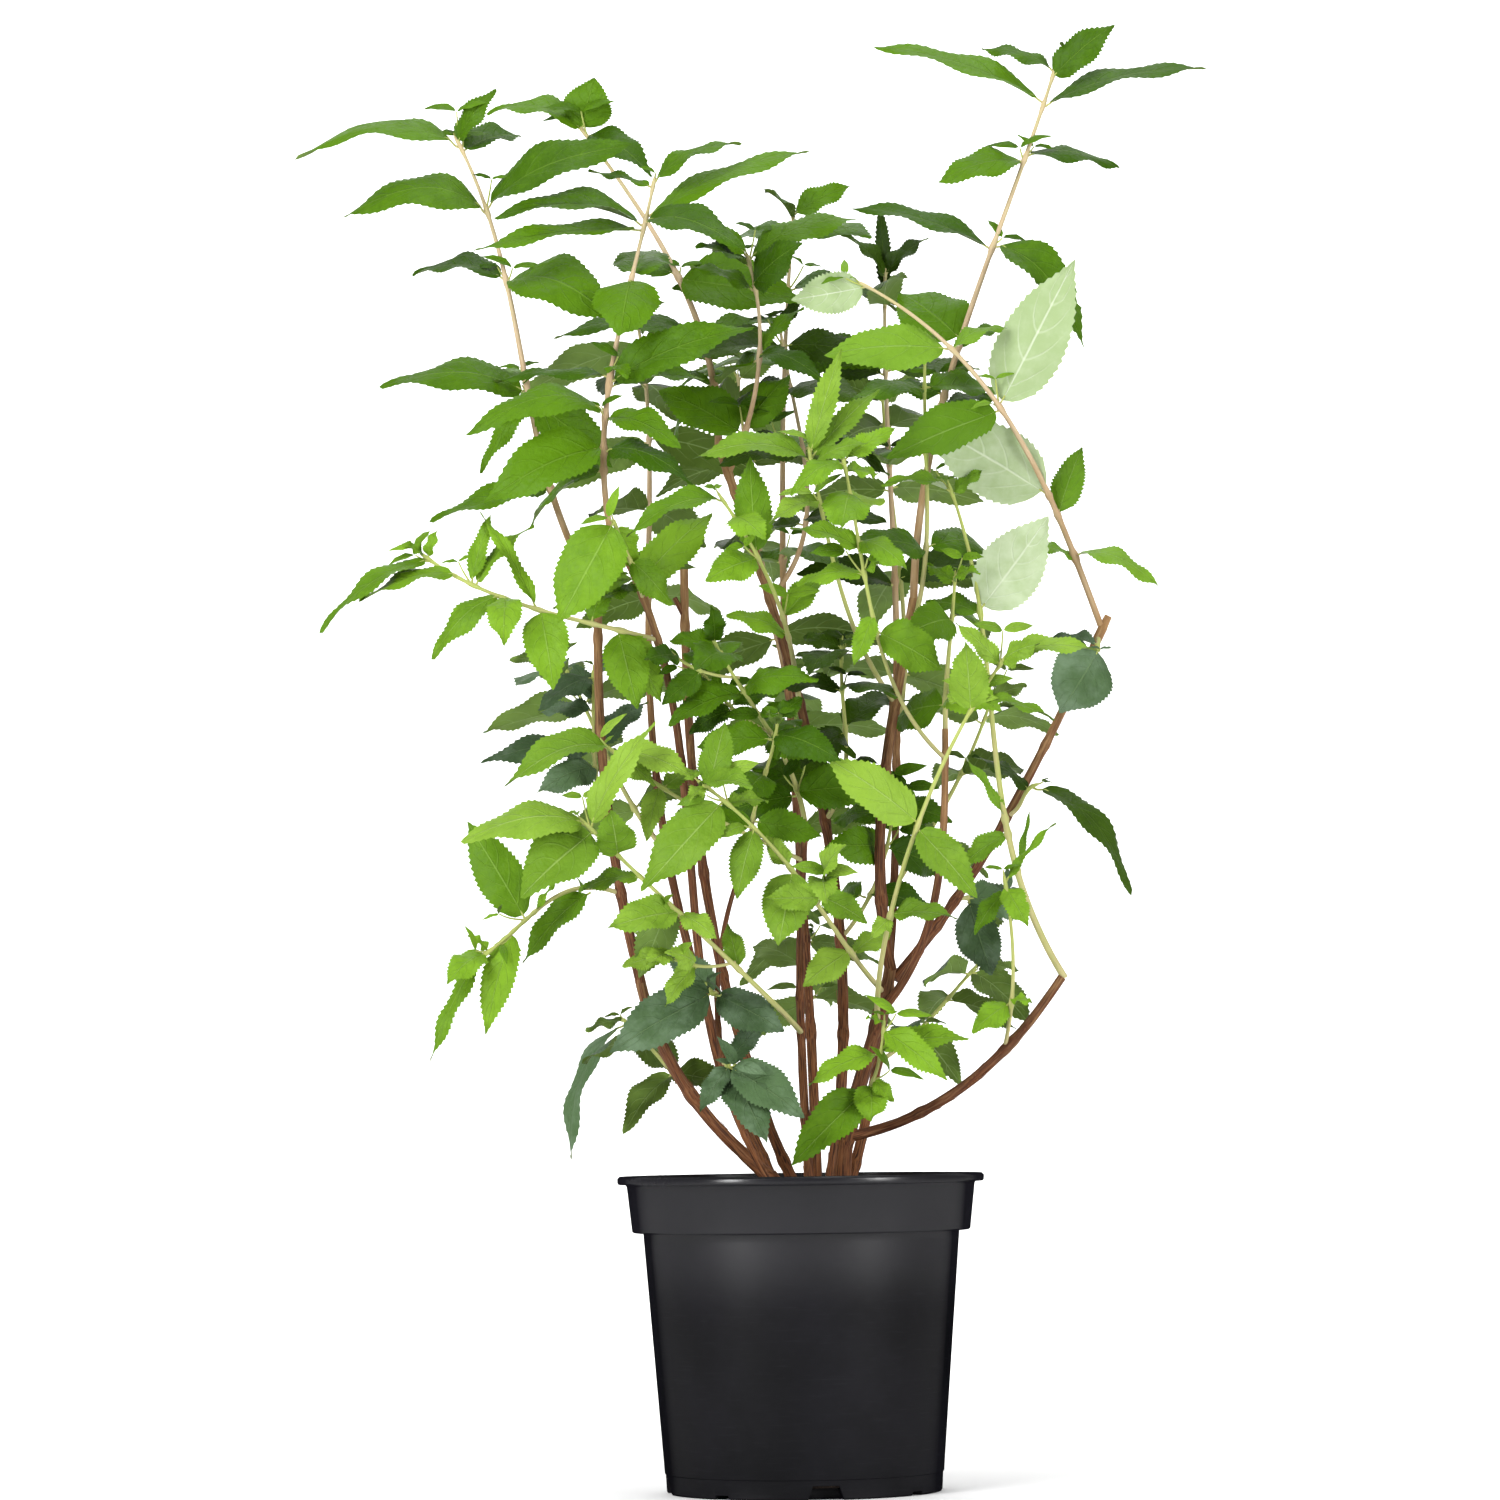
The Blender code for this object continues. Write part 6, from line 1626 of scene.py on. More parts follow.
@dataclass
class WoodyClump:
    """The canes and boughs, each with the relief of its bark, its knots and its peeling strips."""

    growth: Growth
    finish: BarkFinish = BarkFinish()
    ring: float = 0.0026
    sides: int = 14
    relief: float = 0.085
    knot_spacing: float = 0.058
    sunk: float = 0.0030
    strips_below: float = 0.30

    def build(self) -> None:
        """Builds every limb as its own piece."""
        bark = self.finish.material()
        for number, limb in enumerate(LIMBS):
            branch, _ = self.growth.limbs[limb.name]
            pile = MeshPile()
            self.skin(pile, limb, branch, number)
            self.peel(pile, branch, number)
            if limb.name == "cut_cane":
                self.cut_stub(pile, branch)
            piece = pile.piece(f"bark_{limb.name}", [bark], 80)
            hand_in(piece, "bark", limb.name)

    def skin(self, pile: MeshPile, limb: Limb, branch: Branch, number: int) -> None:
        """Adds a limb's barked skin.

        Args:
            pile: the limb's pile.
            limb: the limb.
            branch: its grown branch.
            number: its place in the clump, which sets its relief apart.
        """
        rng = Random(KNOT_DRAW + number)
        children = [other.at for other in LIMBS if other.parent == limb.name and other.at < 1.0]
        shoots = [spray.at for spray in SPRAYS if spray.parent == limb.name and spray.at < 1.0]
        count = int(branch.length / self.knot_spacing)
        knots = [(k + 0.6 + rng.uniform(-0.2, 0.2)) / max(1, count) for k in range(count)]
        foot_age = 1.0 if not limb.parent else 0.80
        tip_age = 0.62 if limb.tip[2] < 0.45 else 0.50
        skin = StemSkin(self.ring, self.sides if branch.foot_radius > 0.0025 else 10,
                        self.relief, (foot_age, tip_age), swell=0.22, swell_width=0.0035)
        start = -self.sunk / branch.length
        skin.tube(pile, branch.route, branch.radius, knots + children + shoots, 10 + number, (start, 1.0))

    def peel(self, pile: MeshPile, branch: Branch, number: int) -> None:
        """Adds thin strips of bark that lift off an old cane.

        Args:
            pile: the limb's pile.
            branch: its grown branch.
            number: its place in the clump.
        """
        rng = Random(PEEL_DRAW + number)
        for _ in range(int(branch.length * 70 * branch.foot_radius / 0.005)):
            t, turn = rng.uniform(0.02, 0.85), rng.uniform(0, 2 * math.pi)
            reach, width = rng.uniform(0.008, 0.022), rng.uniform(0.0006, 0.0014)
            lift = rng.uniform(0.0003, 0.0014)
            if branch.route.point(t).z > self.strips_below:
                continue
            points: list[Vector] = []
            steps = 4
            for i in range(steps + 1):
                share = i / steps
                s = min(1.0, t + share * reach / branch.length)
                heading = branch.route.heading(s)
                side, other = across(heading)
                out = side * math.cos(turn) + other * math.sin(turn)
                tangent = heading.cross(out)
                off = branch.radius(s) * 1.01 + lift * share * share
                for half in (-0.5, 0.5):
                    edge = tangent * (width * half * (1 - 0.5 * share))
                    for thick in (0.0, -0.00022):
                        points.append(branch.route.point(s) + out * (off + thick) + edge)
            faces: list[Face] = [(0, 1, 3, 2), (4 * steps, 4 * steps + 2, 4 * steps + 3, 4 * steps + 1)]
            for i in range(steps):
                a = 4 * i
                faces += [(a, a + 2, a + 6, a + 4), (a + 1, a + 5, a + 7, a + 3), (a, a + 4, a + 5, a + 1),
                          (a + 2, a + 3, a + 7, a + 6)]
            tint = rng.uniform(0.72, 1.0)
            place = branch.route.point(t)
            barks = [(p.x - place.x, p.y - place.y, p.z) for p in points]
            pile.add(points, faces, 0, tint, None, None, barks)

    def cut_stub(self, pile: MeshPile, branch: Branch) -> None:
        """Adds the short cut side stub near the top of the cane that was pruned."""
        t = 0.93
        root, heading = branch.route.point(t), branch.route.heading(t)
        way = (heading + Vector((-0.55, -0.2, 0.1))).normalized()
        route = Route(root, way, root + way * 0.014, way)
        stub = Branch(route, (0.0019, 0.0016), 8, 0.01)
        StemSkin(0.002, 8, 0.06, (0.75, 0.75), swell=0.0).tube(pile, route, stub.radius, (), 77)


@dataclass
class Foliage:
    """The leaves and shoots of the crown, joined by tone."""

    growth: Growth
    bark: bpy.types.Material
    full: LeafPattern = LeafPattern()
    young: LeafPattern = LeafPattern(stations=5, teeth=0, wave=0.0004, thickness=0.00022, rib=0.0003,
                                     petiole=0.02)
    sunk: float = 0.0022
    petiole_radius: float = 0.00065
    shoot_swell: float = 0.50

    def build(self) -> None:
        """Builds one piece of leaves and one of shoots for each tone."""
        for tone in Tone:
            sprays = [spray for spray in SPRAYS if spray.tone is tone]
            leaves, shoots = MeshPile(), MeshPile()
            for spray in sprays:
                self.dress(spray, leaves, shoots)
            finish = LEAF_FINISHES[tone]
            names = [spray.name for spray in sprays]
            short = tone.value.split("_")[1]
            hand_in(leaves.piece(f"leaves_{short}", [finish.upper(), finish.under()]), tone.value, *names)
            hand_in(shoots.piece(f"shoots_{short}", [self.bark]), "bark", *names)

    def dress(self, spray: Spray, leaves: MeshPile, shoots: MeshPile) -> None:
        """Adds one spray's leaves, shoots and young twigs.

        Args:
            spray: the spray.
            leaves: the pile of leaves of its tone.
            shoots: the pile of shoots of its tone.
        """
        rng = Random(spray.seed + MOOD_DRAW)
        woody = spray.tip[2] > WOODY_SHOOT_HEIGHT
        ages = (0.42, 0.20) if woody else (0.16, 0.02)
        for number, (branch, _) in enumerate(self.growth.twigs[spray.name]):
            axils = self.growth.axils[spray.name]
            nodes = sorted({round(axil.at, 3) for axil in axils if axil.branch is branch})
            skin = StemSkin(0.0034, 8, 0.035, ages, swell=self.shoot_swell)
            start = -self.sunk / branch.length
            skin.tube(shoots, branch.route, branch.radius, nodes, spray.seed * 7 + number, (start, 1.0))
        for place in self.growth.leaves[spray.name]:
            mood = LeafMood.drawn(rng)
            self.full.cut(leaves, place, mood)
            self.petiole(shoots, place, mood, ages[1])
        for twig in self.growth.young[spray.name]:
            length = max(0.004, twig.route.length())
            branch = Branch(twig.route, (YOUNG_TWIG_RADIUS, YOUNG_TWIG_RADIUS * 0.7), 5, length)
            StemSkin(0.0035, 5, 0.0, (0.10, 0.02), swell=0.0).tube(shoots, twig.route, branch.radius, (), 5)
            for place in twig.leaves:
                self.young.cut(leaves, place, LeafMood.drawn(rng))

    def petiole(self, shoots: MeshPile, place: LeafPlace, mood: LeafMood, age: float) -> None:
        """Adds a leaf's short stalk, from inside the shoot to the foot of the blade.

        Args:
            shoots: the pile that it joins.
            place: where the leaf stands.
            mood: the leaf's own bends.
            age: its place on the bark's row of colours.
        """
        end = self.full.spot(place, mood, 0.045, 0.0, 1.0, 0.0003)
        route = Route(place.root, place.along, end, place.along)
        stalk = Branch(route, (self.petiole_radius * 1.35, self.petiole_radius * 0.75), 5, 0.01)
        StemSkin(0.002, 5, 0.0, (age, 0.04), swell=0.0).tube(shoots, route, stalk.radius, (), 3)


@dataclass(frozen=True)
class PotFinish:
    """The black moulded plastic of the pot: satin, with a fine grain, faint rings, a smoother lip and a
    painted sheen that lightens its upper part in blotches.
    """

    name: str = "pot_plastic"
    dark: Triple = (0.0036, 0.0036, 0.0046)
    dusty: Triple = (0.0065, 0.0063, 0.0085)
    # painted sheen: the lighter colour, and the heights over which it is painted on
    painted_sheen: Triple = (0.0088, 0.0084, 0.0112)
    sheen_foot: float = 0.100
    sheen_top: float = 0.165
    lip_height: float = 0.1885

    def material(self) -> bpy.types.Material:
        """The plastic."""
        wires = Wiring(self.name)
        place = wires.place()
        cloud = wires.grain(place, 14.0, 4.0, 0.6)
        rings = wires.grain(wires.scaled(place, (1.0, 1.0, 16.0)), 60.0, 2.0, 0.5)
        grain = wires.grain(place, 2600.0, 2.0, 0.6)
        colour = wires.mix(wires.span(cloud, 0.35, 0.75), self.dark, self.dusty)
        colour = wires.mix(wires.span(rings, 0.55, 0.80, 0.0, 0.25), colour, (0.016, 0.016, 0.019))
        height = wires.split(place)[2]
        # Painted sheen: from a little above the pot's middle upwards the colour turns lighter in blotches, a
        # painted highlight where the lights fall on the upper body, the band and the lip
        high = wires.span(height, self.sheen_foot, self.sheen_top)
        colour = wires.mix(high * wires.span(cloud, 0.25, 0.70, 0.45, 1.0), colour, self.painted_sheen)
        wires.give("Base Color", colour)
        lip = wires.span(height, self.lip_height - 0.001, self.lip_height + 0.001)
        wires.give("Roughness", wires.span(cloud, 0.3, 0.7, 0.32, 0.44) - lip * 0.14)
        rim = Value(wires, wires.nodes.new("ShaderNodeLayerWeight").outputs["Facing"])
        shine = wires.span(rim, 0.0, 0.72, 1.0, 0.0) * wires.span(high, 0.0, 1.0, 0.12, 0.36)
        wires.give("Specular IOR Level", shine)
        wires.bump(grain * 0.6 + rings * 0.4, 0.25, 0.00012)
        return wires.material


def choose_nothing() -> None:
    """Leaves object mode's selection empty, so that an operator acts on new shapes only."""
    if bpy.context.object and bpy.context.object.mode != "OBJECT":
        bpy.ops.object.mode_set(mode="OBJECT")
    bpy.ops.object.select_all(action="DESELECT")


def edit(kind: str, action: str) -> None:
    """Opens the active mesh by its "VERT", "EDGE" or "FACE", and selects or deselects all of it."""
    bpy.ops.object.mode_set(mode="EDIT")
    bpy.ops.mesh.select_mode(type=kind)
    bpy.ops.mesh.select_all(action=action)


def finish_mesh() -> None:
    """Turns all faces of the open mesh outwards and goes back to object mode."""
    bpy.ops.mesh.select_all(action="SELECT")
    bpy.ops.mesh.normals_make_consistent(inside=False)
    bpy.ops.object.mode_set(mode="OBJECT")


def draw_rings(radius: float, height: float, rings: Iterable[tuple[float, float]]) -> None:
    """Extrudes the selected ring to each next one, sized and lifted into place, and closes the last.

    Args:
        radius: the first ring's radius.
        height: its height.
        rings: the radius and the height of each ring after it.
    """
    for next_radius, next_height in rings:
        bpy.ops.mesh.extrude_edges_move()
        ratio = next_radius / radius
        bpy.ops.transform.resize(value=(ratio, ratio, 1.0), center_override=(0, 0, height))
        bpy.ops.transform.translate(value=(0, 0, next_height - height))
        radius, height = next_radius, next_height
    bpy.ops.mesh.edge_face_add()


@dataclass
class Pot:
    """The round nursery pot: a tapered body, a wider band, a lip, a foot ring and drain slots."""

    height: float = 0.194
    rim_radius: float = 0.1130
    lip_depth: float = 0.0052
    band_top: float = 0.1074
    band_bottom: float = 0.1042
    band_foot: float = 0.1592
    body_top: float = 0.0974
    foot_radius: float = 0.0846
    wall: float = 0.0016
    floor_top: float = 0.0065
    pad_radius: float = 0.029
    recess: float = 0.0040
    foot_ring: float = 0.0130
    sides: int = 128
    slots: int = 8
    first_slot_deg: float = -81.2
    deep_slot: Triple = (0.0250, 0.0160, 0.0086)
    shallow_slot: Triple = (0.0125, 0.0095, 0.0026)
    slot_inner: float = 0.0720
    slot_outer: float = 0.0950
    soil_top = 0.1740

    def profile(self) -> list[tuple[float, float]]:
        """The pot's outline from the middle of its underside over the lip to the middle of its floor."""
        lip_foot = self.height - self.lip_depth
        foot = self.foot_radius
        return [
            (self.pad_radius, 0.0), (self.pad_radius + 0.003, self.recess),
            (foot - self.foot_ring - 0.002, self.recess), (foot - self.foot_ring, 0.0),
            (foot - 0.0008, 0.0), (foot, 0.0010), (foot + 0.0006, 0.0118), (foot + 0.0012, 0.0122),
            (self.body_top - 0.0004, self.band_foot - 0.0050), (self.body_top, self.band_foot),
            (self.band_bottom - 0.0010, self.band_foot + 0.0001),
            (self.band_bottom, self.band_foot + 0.0010), (self.band_top - 0.0002, lip_foot - 0.0012),
            (self.band_top + 0.0006, lip_foot), (self.rim_radius - 0.0008, lip_foot + 0.0002),
            (self.rim_radius, lip_foot + 0.0012), (self.rim_radius, self.height - 0.0014),
            (self.rim_radius - 0.0012, self.height), (self.band_top - self.wall, self.height - 0.0003),
            (self.band_bottom - self.wall, self.band_foot + 0.0030),
            (self.body_top - self.wall, self.band_foot + 0.0020), (foot - self.wall, self.floor_top),
        ]

    def build(self) -> None:
        """Turns the pot, cuts its slots, softens its edges and dresses it."""
        pot = self.turn()
        self.cut_slots(pot)
        bevel = pot.modifiers.new("soft edges", "BEVEL")
        bevel.limit_method = "ANGLE"
        bevel.angle_limit = math.radians(38)
        bevel.width = 0.00045
        bevel.segments = 2
        self.apply(pot, bevel)
        choose_nothing()
        pot.select_set(True)
        bpy.context.view_layer.objects.active = pot
        bpy.ops.object.shade_smooth_by_angle(angle=math.radians(32))
        pot.data.materials.append(PotFinish().material())
        hand_in(pot, "pot_plastic", "pot")

    def turn(self) -> bpy.types.Object:
        """Draws the pot ring by ring: each ring is extruded from the last, sized and lifted into place.

        Returns:
            The closed pot, before its slots.
        """
        choose_nothing()
        (radius, height), *rest = self.profile()
        bpy.ops.mesh.primitive_circle_add(vertices=self.sides, radius=radius, fill_type="NGON",
                                          location=(0, 0, 0))
        pot = bpy.context.object
        pot.name = pot.data.name = "nursery_pot"
        edit("EDGE", "SELECT")
        draw_rings(radius, height, rest)
        finish_mesh()
        return pot

    def cut_slots(self, pot: bpy.types.Object) -> None:
        """Cuts the drain slots through the foot ring, deep and shallow ones in turn."""
        cutters = bpy.data.collections.new("slot cutters")
        bpy.context.scene.collection.children.link(cutters)
        for number in range(self.slots):
            low, high, rise = self.shallow_slot if number % 2 else self.deep_slot
            turn = math.radians(self.first_slot_deg + 360 * number / self.slots)
            cutter = self.slot_cutter(turn, low, high, rise)
            bpy.context.scene.collection.objects.unlink(cutter)
            cutters.objects.link(cutter)
        cut = pot.modifiers.new("slots", "BOOLEAN")
        cut.operation = "DIFFERENCE"
        cut.operand_type = "COLLECTION"
        cut.collection = cutters
        self.apply(pot, cut)
        for cutter in list(cutters.objects):
            bpy.data.objects.remove(cutter)
        bpy.data.collections.remove(cutters)

    def slot_cutter(self, turn: float, low: float, high: float, rise: float) -> bpy.types.Object:
        """A block with slanting flanks, as wide as a slot is at its foot and at its top.

        Args:
            turn: its place round the pot, in radians.
            low: the slot's width at the ground.
            high: its width at its top.
            rise: its height.

        Returns:
            The block.
        """
        under = 0.004
        choose_nothing()
        middle = (self.slot_inner + self.slot_outer) / 2
        bpy.ops.mesh.primitive_cube_add(size=1.0, location=(middle, 0, (rise - under) / 2))
        cutter = bpy.context.object
        cutter.scale = (self.slot_outer - self.slot_inner, low, rise + under)
        bpy.ops.object.transform_apply(location=True, rotation=False, scale=True)
        edit("VERT", "DESELECT")
        bpy.ops.object.mode_set(mode="OBJECT")
        for vertex in cutter.data.vertices:
            vertex.select = vertex.co.z > 0
        bpy.ops.object.mode_set(mode="EDIT")
        bpy.ops.transform.resize(value=(1.0, high / low, 1.0), center_override=(middle, 0, rise))
        bpy.ops.object.mode_set(mode="OBJECT")
        cutter.data.transform(Matrix.Rotation(turn, 4, "Z"))
        return cutter

    @staticmethod
    def apply(piece: bpy.types.Object, modifier: bpy.types.Modifier) -> None:
        """Applies one modifier of a piece."""
        choose_nothing()
        piece.select_set(True)
        bpy.context.view_layer.objects.active = piece
        bpy.ops.object.modifier_apply(modifier=modifier.name)


@dataclass(frozen=True)
class SoilFinish:
    """Dark moist compost, with browner fibre and a few paler grains."""

    name: str = "compost"
    dark: Triple = (0.016, 0.010, 0.007)
    brown: Triple = (0.085, 0.048, 0.028)

    def material(self) -> bpy.types.Material:
        """The compost."""
        wires = Wiring(self.name)
        place = wires.place()
        lumps = wires.grain(place, 190.0, 5.0, 0.65)
        fibre = wires.grain(wires.scaled(place, (1.0, 0.3, 1.0)), 900.0, 3.0, 0.6)
        share = lumps * 0.6 + wires.attribute("tint") * 0.4
        colour = wires.mix(wires.span(share, 0.35, 0.75), self.dark, self.brown)
        colour = wires.mix(wires.span(fibre, 0.62, 0.72, 0.0, 0.7), colour, (0.20, 0.125, 0.070))
        wires.give("Base Color", colour)
        wires.give("Roughness", wires.span(lumps, 0.3, 0.7, 0.80, 0.98))
        wires.set(Specular_IOR_Level=0.20)
        wires.bump(lumps + fibre, 0.9, 0.0012)
        return wires.material


@dataclass
class Compost:
    """The compost in the pot: an uneven bed and loose crumbs on it."""

    pot: Pot
    gap: float = 0.0012
    sides: int = 72
    insets: int = 22
    crumbs: int = 900
    unevenness: float = 0.0016
    edge_drop: float = 0.0010

    def build(self) -> None:
        """Builds the bed and the crumbs."""
        material = SoilFinish().material()
        self.bed(material)
        self.loose(material)

    def top_radius(self) -> float:
        """How far the bed reaches at its surface."""
        pot = self.pot
        share = (pot.soil_top - pot.band_foot) / (pot.height - pot.lip_depth - pot.band_foot)
        return pot.band_bottom + (pot.band_top - pot.band_bottom) * share - pot.wall - self.gap

    def height_at(self, x: float, y: float) -> float:
        """The bed's height at a place."""
        reach = math.hypot(x, y) / self.top_radius()
        lump = noise.noise(Vector((x * 42, y * 42, 0.3))) * self.unevenness
        fine = noise.noise(Vector((x * 150, y * 150, 7.1))) * self.unevenness * 0.5
        uneven = (lump + fine) * (1 - smooth(0.9, 1.0, reach))
        return self.pot.soil_top + uneven - self.edge_drop * smooth(0.6, 1.0, reach)

    def bed(self, material: bpy.types.Material) -> None:
        """Models the bed from a disc: drawn down to the floor, its top divided finely and made uneven."""
        choose_nothing()
        top = self.top_radius()
        bpy.ops.mesh.primitive_circle_add(vertices=self.sides, radius=top, fill_type="NGON",
                                          location=(0, 0, self.pot.soil_top))
        bed = bpy.context.object
        bed.name = bed.data.name = "compost_bed"
        bpy.ops.object.transform_apply(location=True, rotation=False, scale=False)
        edit("EDGE", "SELECT")
        shoulder = (self.pot.body_top - self.pot.wall - self.gap, self.pot.band_foot + 0.0040)
        foot = (self.pot.foot_radius - self.pot.wall - self.gap, self.pot.floor_top + 0.0006)
        draw_rings(top, self.pot.soil_top, (shoulder, foot))
        bpy.ops.object.mode_set(mode="OBJECT")
        for face in bed.data.polygons:
            face.select = face.center.z > self.pot.soil_top - 0.001
        bpy.ops.object.mode_set(mode="EDIT")
        bpy.ops.mesh.select_mode(type="FACE")
        for _ in range(self.insets):
            bpy.ops.mesh.inset(thickness=top / (self.insets + 1))
        bpy.ops.mesh.poke()
        finish_mesh()
        for vertex in bed.data.vertices:
            if vertex.co.z > self.pot.soil_top - 0.001:
                vertex.co.z = self.height_at(vertex.co.x, vertex.co.y)
        bed.data.shade_smooth()
        bed.data.materials.append(material)
        hand_in(bed, "soil", "potting_soil")

    def loose(self, material: bpy.types.Material) -> None:
        """Strews crumbs of compost and bark over the bed, each a small faceted lump."""
        rng = Random(71)
        pile = MeshPile()
        lumps = ((0, 0, 1), (0.9, 0, 0.45), (0.28, 0.85, 0.45), (-0.72, 0.53, 0.45), (-0.72, -0.53, 0.45),
                 (0.28, -0.85, 0.45), (0.72, 0.53, -0.45), (-0.28, 0.85, -0.45), (-0.9, 0, -0.45),
                 (-0.28, -0.85, -0.45), (0.72, -0.53, -0.45), (0, 0, -1))
        faces = [(0, 1 + k, 1 + (k + 1) % 5) for k in range(5)]
        faces += [(1 + k, 6 + k, 1 + (k + 1) % 5) for k in range(5)]
        faces += [(6 + k, 6 + (k + 1) % 5, 1 + (k + 1) % 5) for k in range(5)]
        faces += [(11, 6 + (k + 1) % 5, 6 + k) for k in range(5)]
        limit = self.top_radius() - 0.004
        for _ in range(self.crumbs):
            reach, turn = limit * math.sqrt(rng.random()), rng.uniform(0, 2 * math.pi)
            x, y = reach * math.cos(turn), reach * math.sin(turn)
            size = rng.uniform(0.0006, 0.0021) * (1.7 if rng.random() < 0.10 else 1.0)
            flat = rng.uniform(0.45, 0.9)
            stretch = rng.uniform(1.0, 2.2)
            spin = Matrix.Rotation(rng.uniform(0, math.pi), 3, "Z")
            spin = spin @ Matrix.Rotation(rng.uniform(-0.5, 0.5), 3, "X")
            middle = Vector((x, y, self.height_at(x, y) + size * flat * 0.35))
            points = []
            for corner in lumps:
                shape = Vector((corner[0] * stretch, corner[1], corner[2] * flat))
                points.append(middle + spin @ (shape * size * rng.uniform(0.75, 1.2)))
            pile.add(points, faces, 0, rng.random())
        hand_in(pile.piece("compost_crumbs", [material], 25), "soil")


@dataclass(frozen=True)
class Studio:
    """A pale floor that runs up into a backdrop, soft lights, and the camera at the photograph's place."""

    image_side: float = 1500
    focal_pixels: float = 5500.0
    distance: float = 3.4
    camera_height: float = 0.2297
    foot_pixel: float = 804.5
    foot_slant: float = 9.6
    horizon_pixel: float = 1117
    roll: float = 0.0129
    corner_steps: int = 12
    corner_radius: float = 0.8
    backdrop_height: float = 5.0
    floor_colour: Triple = (0.86, 0.86, 0.86)

    def build(self) -> None:
        """Builds the floor, the lights and the camera."""
        self.floor()
        self.world()
        self.softbox("key", (-1.6, -2.2, 2.2), (0.0, 0.0, 0.5), 1.4, 68.0)
        self.softbox("fill", (2.2, -2.0, 1.2), (0.0, 0.0, 0.45), 1.4, 28.0)
        self.softbox("low_left", (-2.1, -2.2, 0.45), (0.0, 0.0, 0.20), 0.6, 34.0)
        self.softbox("low_right", (2.3, -1.9, 0.45), (0.0, 0.0, 0.20), 0.6, 24.0)
        self.softbox("top", (0.2, 0.3, 2.8), (0.0, 0.0, 0.5), 1.8, 28.0)
        self.softbox("wall", (0.0, 2.1, 3.0), (0.0, 4.1, 1.0), 2.4, 190.0)
        self.camera()
        log.info("studio: floor, backdrop, six soft lights and camera")

    def floor(self) -> None:
        """Lays the floor and curves it up into the backdrop."""
        choose_nothing()
        bpy.ops.mesh.primitive_plane_add(size=1.0, location=(0, -1.7, 0))
        floor = bpy.context.object
        floor.name = floor.data.name = "studio_floor"
        floor.scale = (14.0, 11.0, 1.0)
        bpy.ops.object.transform_apply(location=True, rotation=False, scale=True)
        edit("EDGE", "DESELECT")
        bpy.ops.object.mode_set(mode="OBJECT")
        for edge in floor.data.edges:
            edge.select = all(floor.data.vertices[i].co.y > 2 for i in edge.vertices)
        bpy.ops.object.mode_set(mode="EDIT")
        steps, radius = self.corner_steps, self.corner_radius
        for k in range(steps):
            low, high = math.pi / 2 * k / steps, math.pi / 2 * (k + 1) / steps
            bpy.ops.mesh.extrude_edges_move()
            move = (0, radius * (math.sin(high) - math.sin(low)), radius * (math.cos(low) - math.cos(high)))
            bpy.ops.transform.translate(value=move)
        bpy.ops.mesh.extrude_edges_move()
        bpy.ops.transform.translate(value=(0, 0, self.backdrop_height))
        bpy.ops.object.mode_set(mode="OBJECT")
        floor.data.shade_smooth()
        wires = Wiring("studio_paper")
        cloud = wires.grain(wires.place(), 1.2, 2.0)
        low = tuple(value * 0.985 for value in self.floor_colour)
        wires.give("Base Color", wires.mix(cloud, low, self.floor_colour))
        wires.set(Roughness=0.9, Specular_IOR_Level=0.1)
        floor.data.materials.append(wires.material)

    def world(self) -> None:
        """Surrounds the plant with soft white light."""
        world = bpy.data.worlds.new("soft_white")
        world.use_nodes = True
        sky = world.node_tree.nodes["Background"]
        sky.inputs["Color"].default_value = (1.0, 1.0, 1.0, 1.0)
        sky.inputs["Strength"].default_value = 0.42
        bpy.context.scene.world = world
        bpy.context.scene.view_settings.view_transform = "Standard"
        bpy.context.scene.view_settings.look = "None"

    def softbox(self, name: str, place: Triple, target: Triple, size: float, power: float) -> None:
        """Hangs one square soft light.

        Args:
            name: the light's name.
            place: where it hangs.
            target: what it is turned to.
            size: its side in metres.
            power: its power in watts.
        """
        lamp = bpy.data.lights.new(f"softbox_{name}", "AREA")
        lamp.shape = "SQUARE"
        lamp.size = size
        lamp.energy = power
        box = bpy.data.objects.new(lamp.name, lamp)
        box.location = place
        box.rotation_euler = (Vector(target) - Vector(place)).to_track_quat("-Z", "Y").to_euler()
        bpy.context.scene.collection.objects.link(box)

    def camera(self) -> None:
        """Places the camera at the photograph's viewing angle."""
        lens = bpy.data.cameras.new("studio_camera")
        lens.sensor_width = 36.0
        lens.lens = self.focal_pixels * lens.sensor_width / self.image_side
        camera = bpy.data.objects.new("studio_camera", lens)
        middle = self.image_side / 2
        tilt = math.atan((self.horizon_pixel - middle) / self.focal_pixels)
        yaw = math.atan((middle - self.foot_pixel + self.foot_slant) / self.focal_pixels)
        turn = Matrix.Rotation(-yaw, 4, "Z") @ Matrix.Rotation(math.radians(90) + tilt, 4, "X")
        turn = turn @ Matrix.Rotation(-self.roll, 4, "Z")
        camera.matrix_world = Matrix.Translation((0, -self.distance, self.camera_height)) @ turn
        bpy.context.scene.collection.objects.link(camera)
        bpy.context.scene.camera = camera


def corners(box: tuple[Vector, Vector]) -> list[list[float]]:
    """A box's two corners as plain lists of numbers."""
    return [[float(value) for value in corner] for corner in box]


def grow_plant() -> Growth:
    """Grows the whole plant in its fixed order.

    Returns:
        The limbs, shoots, leaves and young twigs.
    """
    growth = Growth()
    for limb in LIMBS:
        growth.grow_limb(limb)
    for spray in SPRAYS:
        growth.grow_stems(spray)
    for spray in SPRAYS:
        growth.grow_leaves(spray)
    for spray in SPRAYS:
        growth.grow_young(spray)
    log.info("grown: %d leaves, %d young twigs", sum(map(len, growth.leaves.values())),
             sum(map(len, growth.young.values())))
    return growth


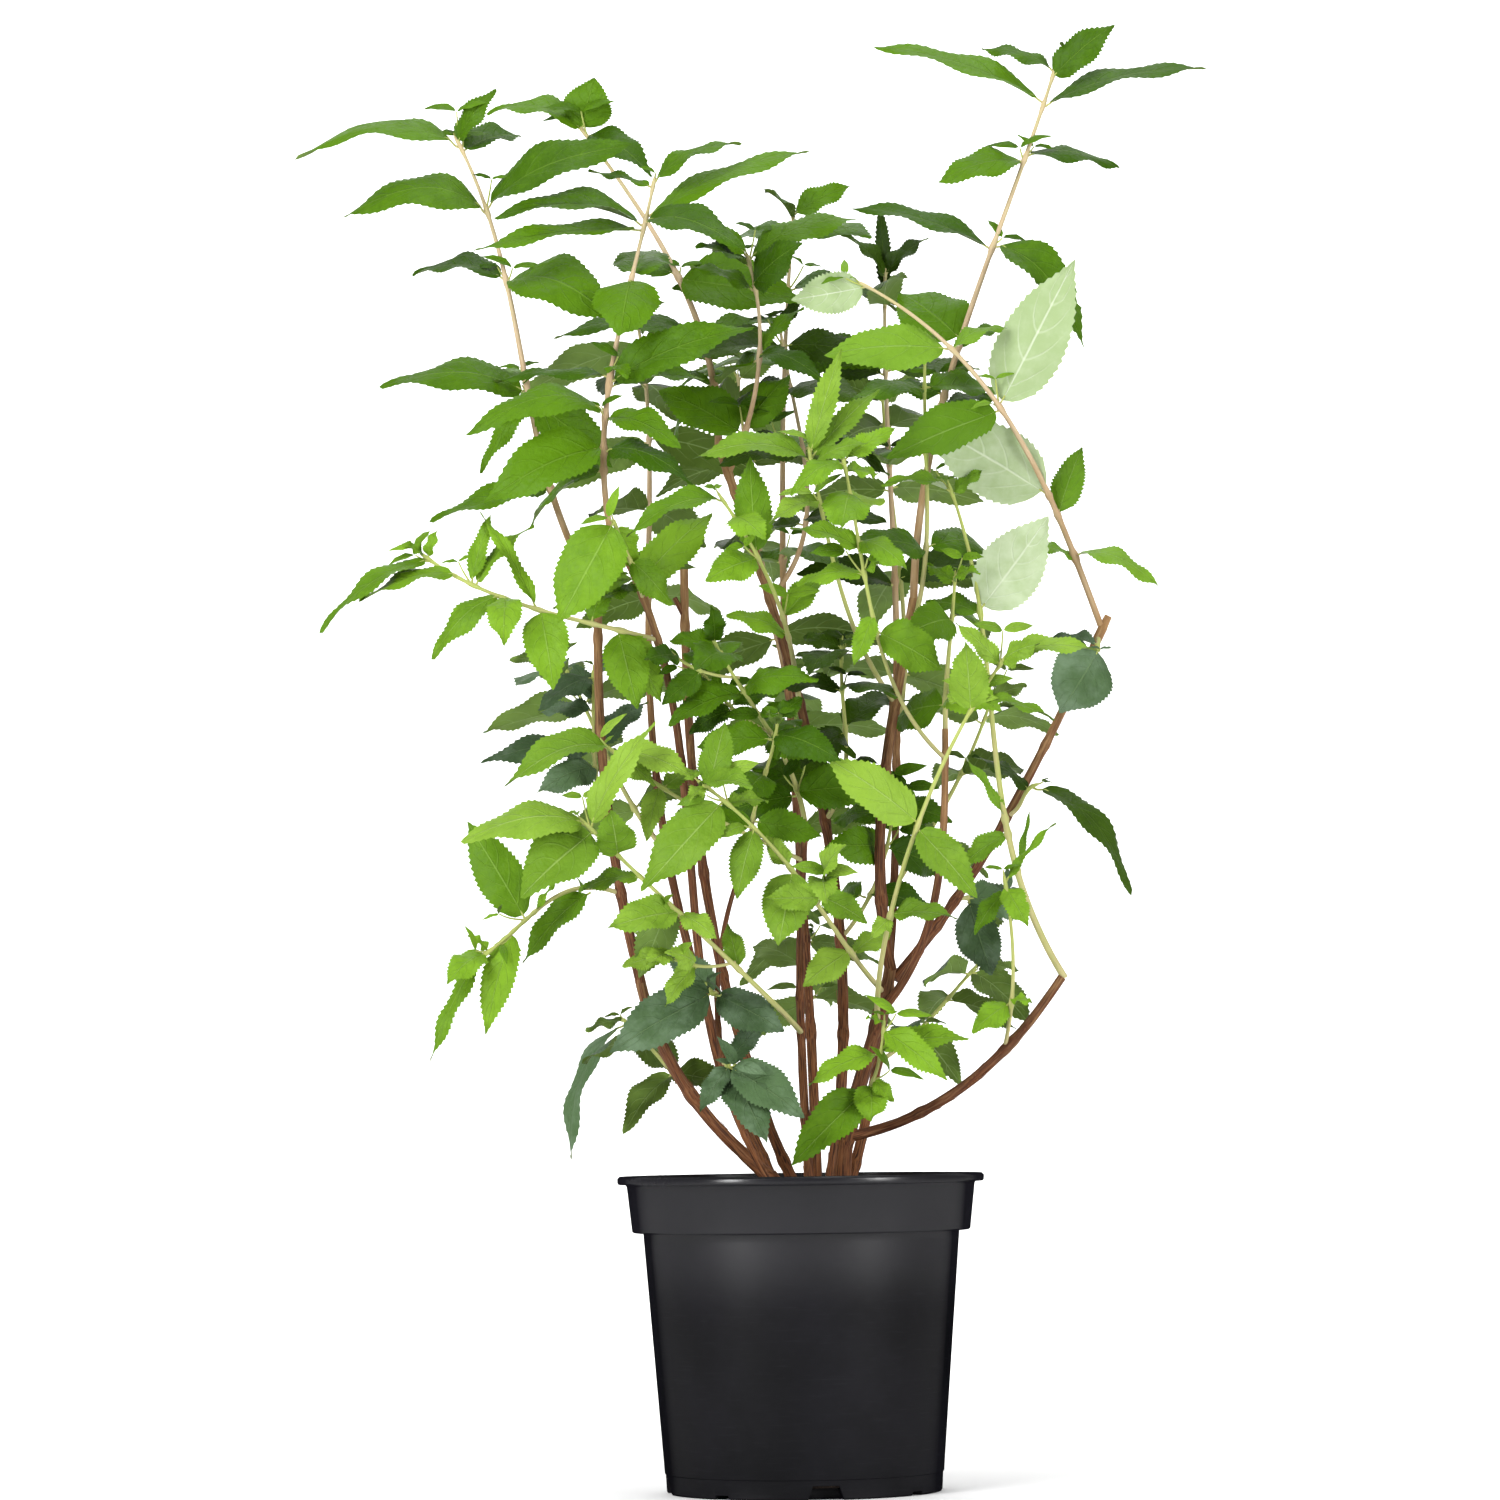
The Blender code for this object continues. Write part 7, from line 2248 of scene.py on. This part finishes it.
def main() -> None:
    """Builds the pot, the compost, the canes, the foliage and the studio."""
    logging.basicConfig(level=logging.INFO, format="%(name)s: %(message)s")
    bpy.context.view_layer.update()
    pot = Pot()
    pot.build()
    Compost(pot).build()
    growth = grow_plant()
    clump = WoodyClump(growth)
    clump.build()
    Foliage(growth, bpy.data.materials[clump.finish.name]).build()
    Studio().build()


if __name__ == "__main__":
    main()
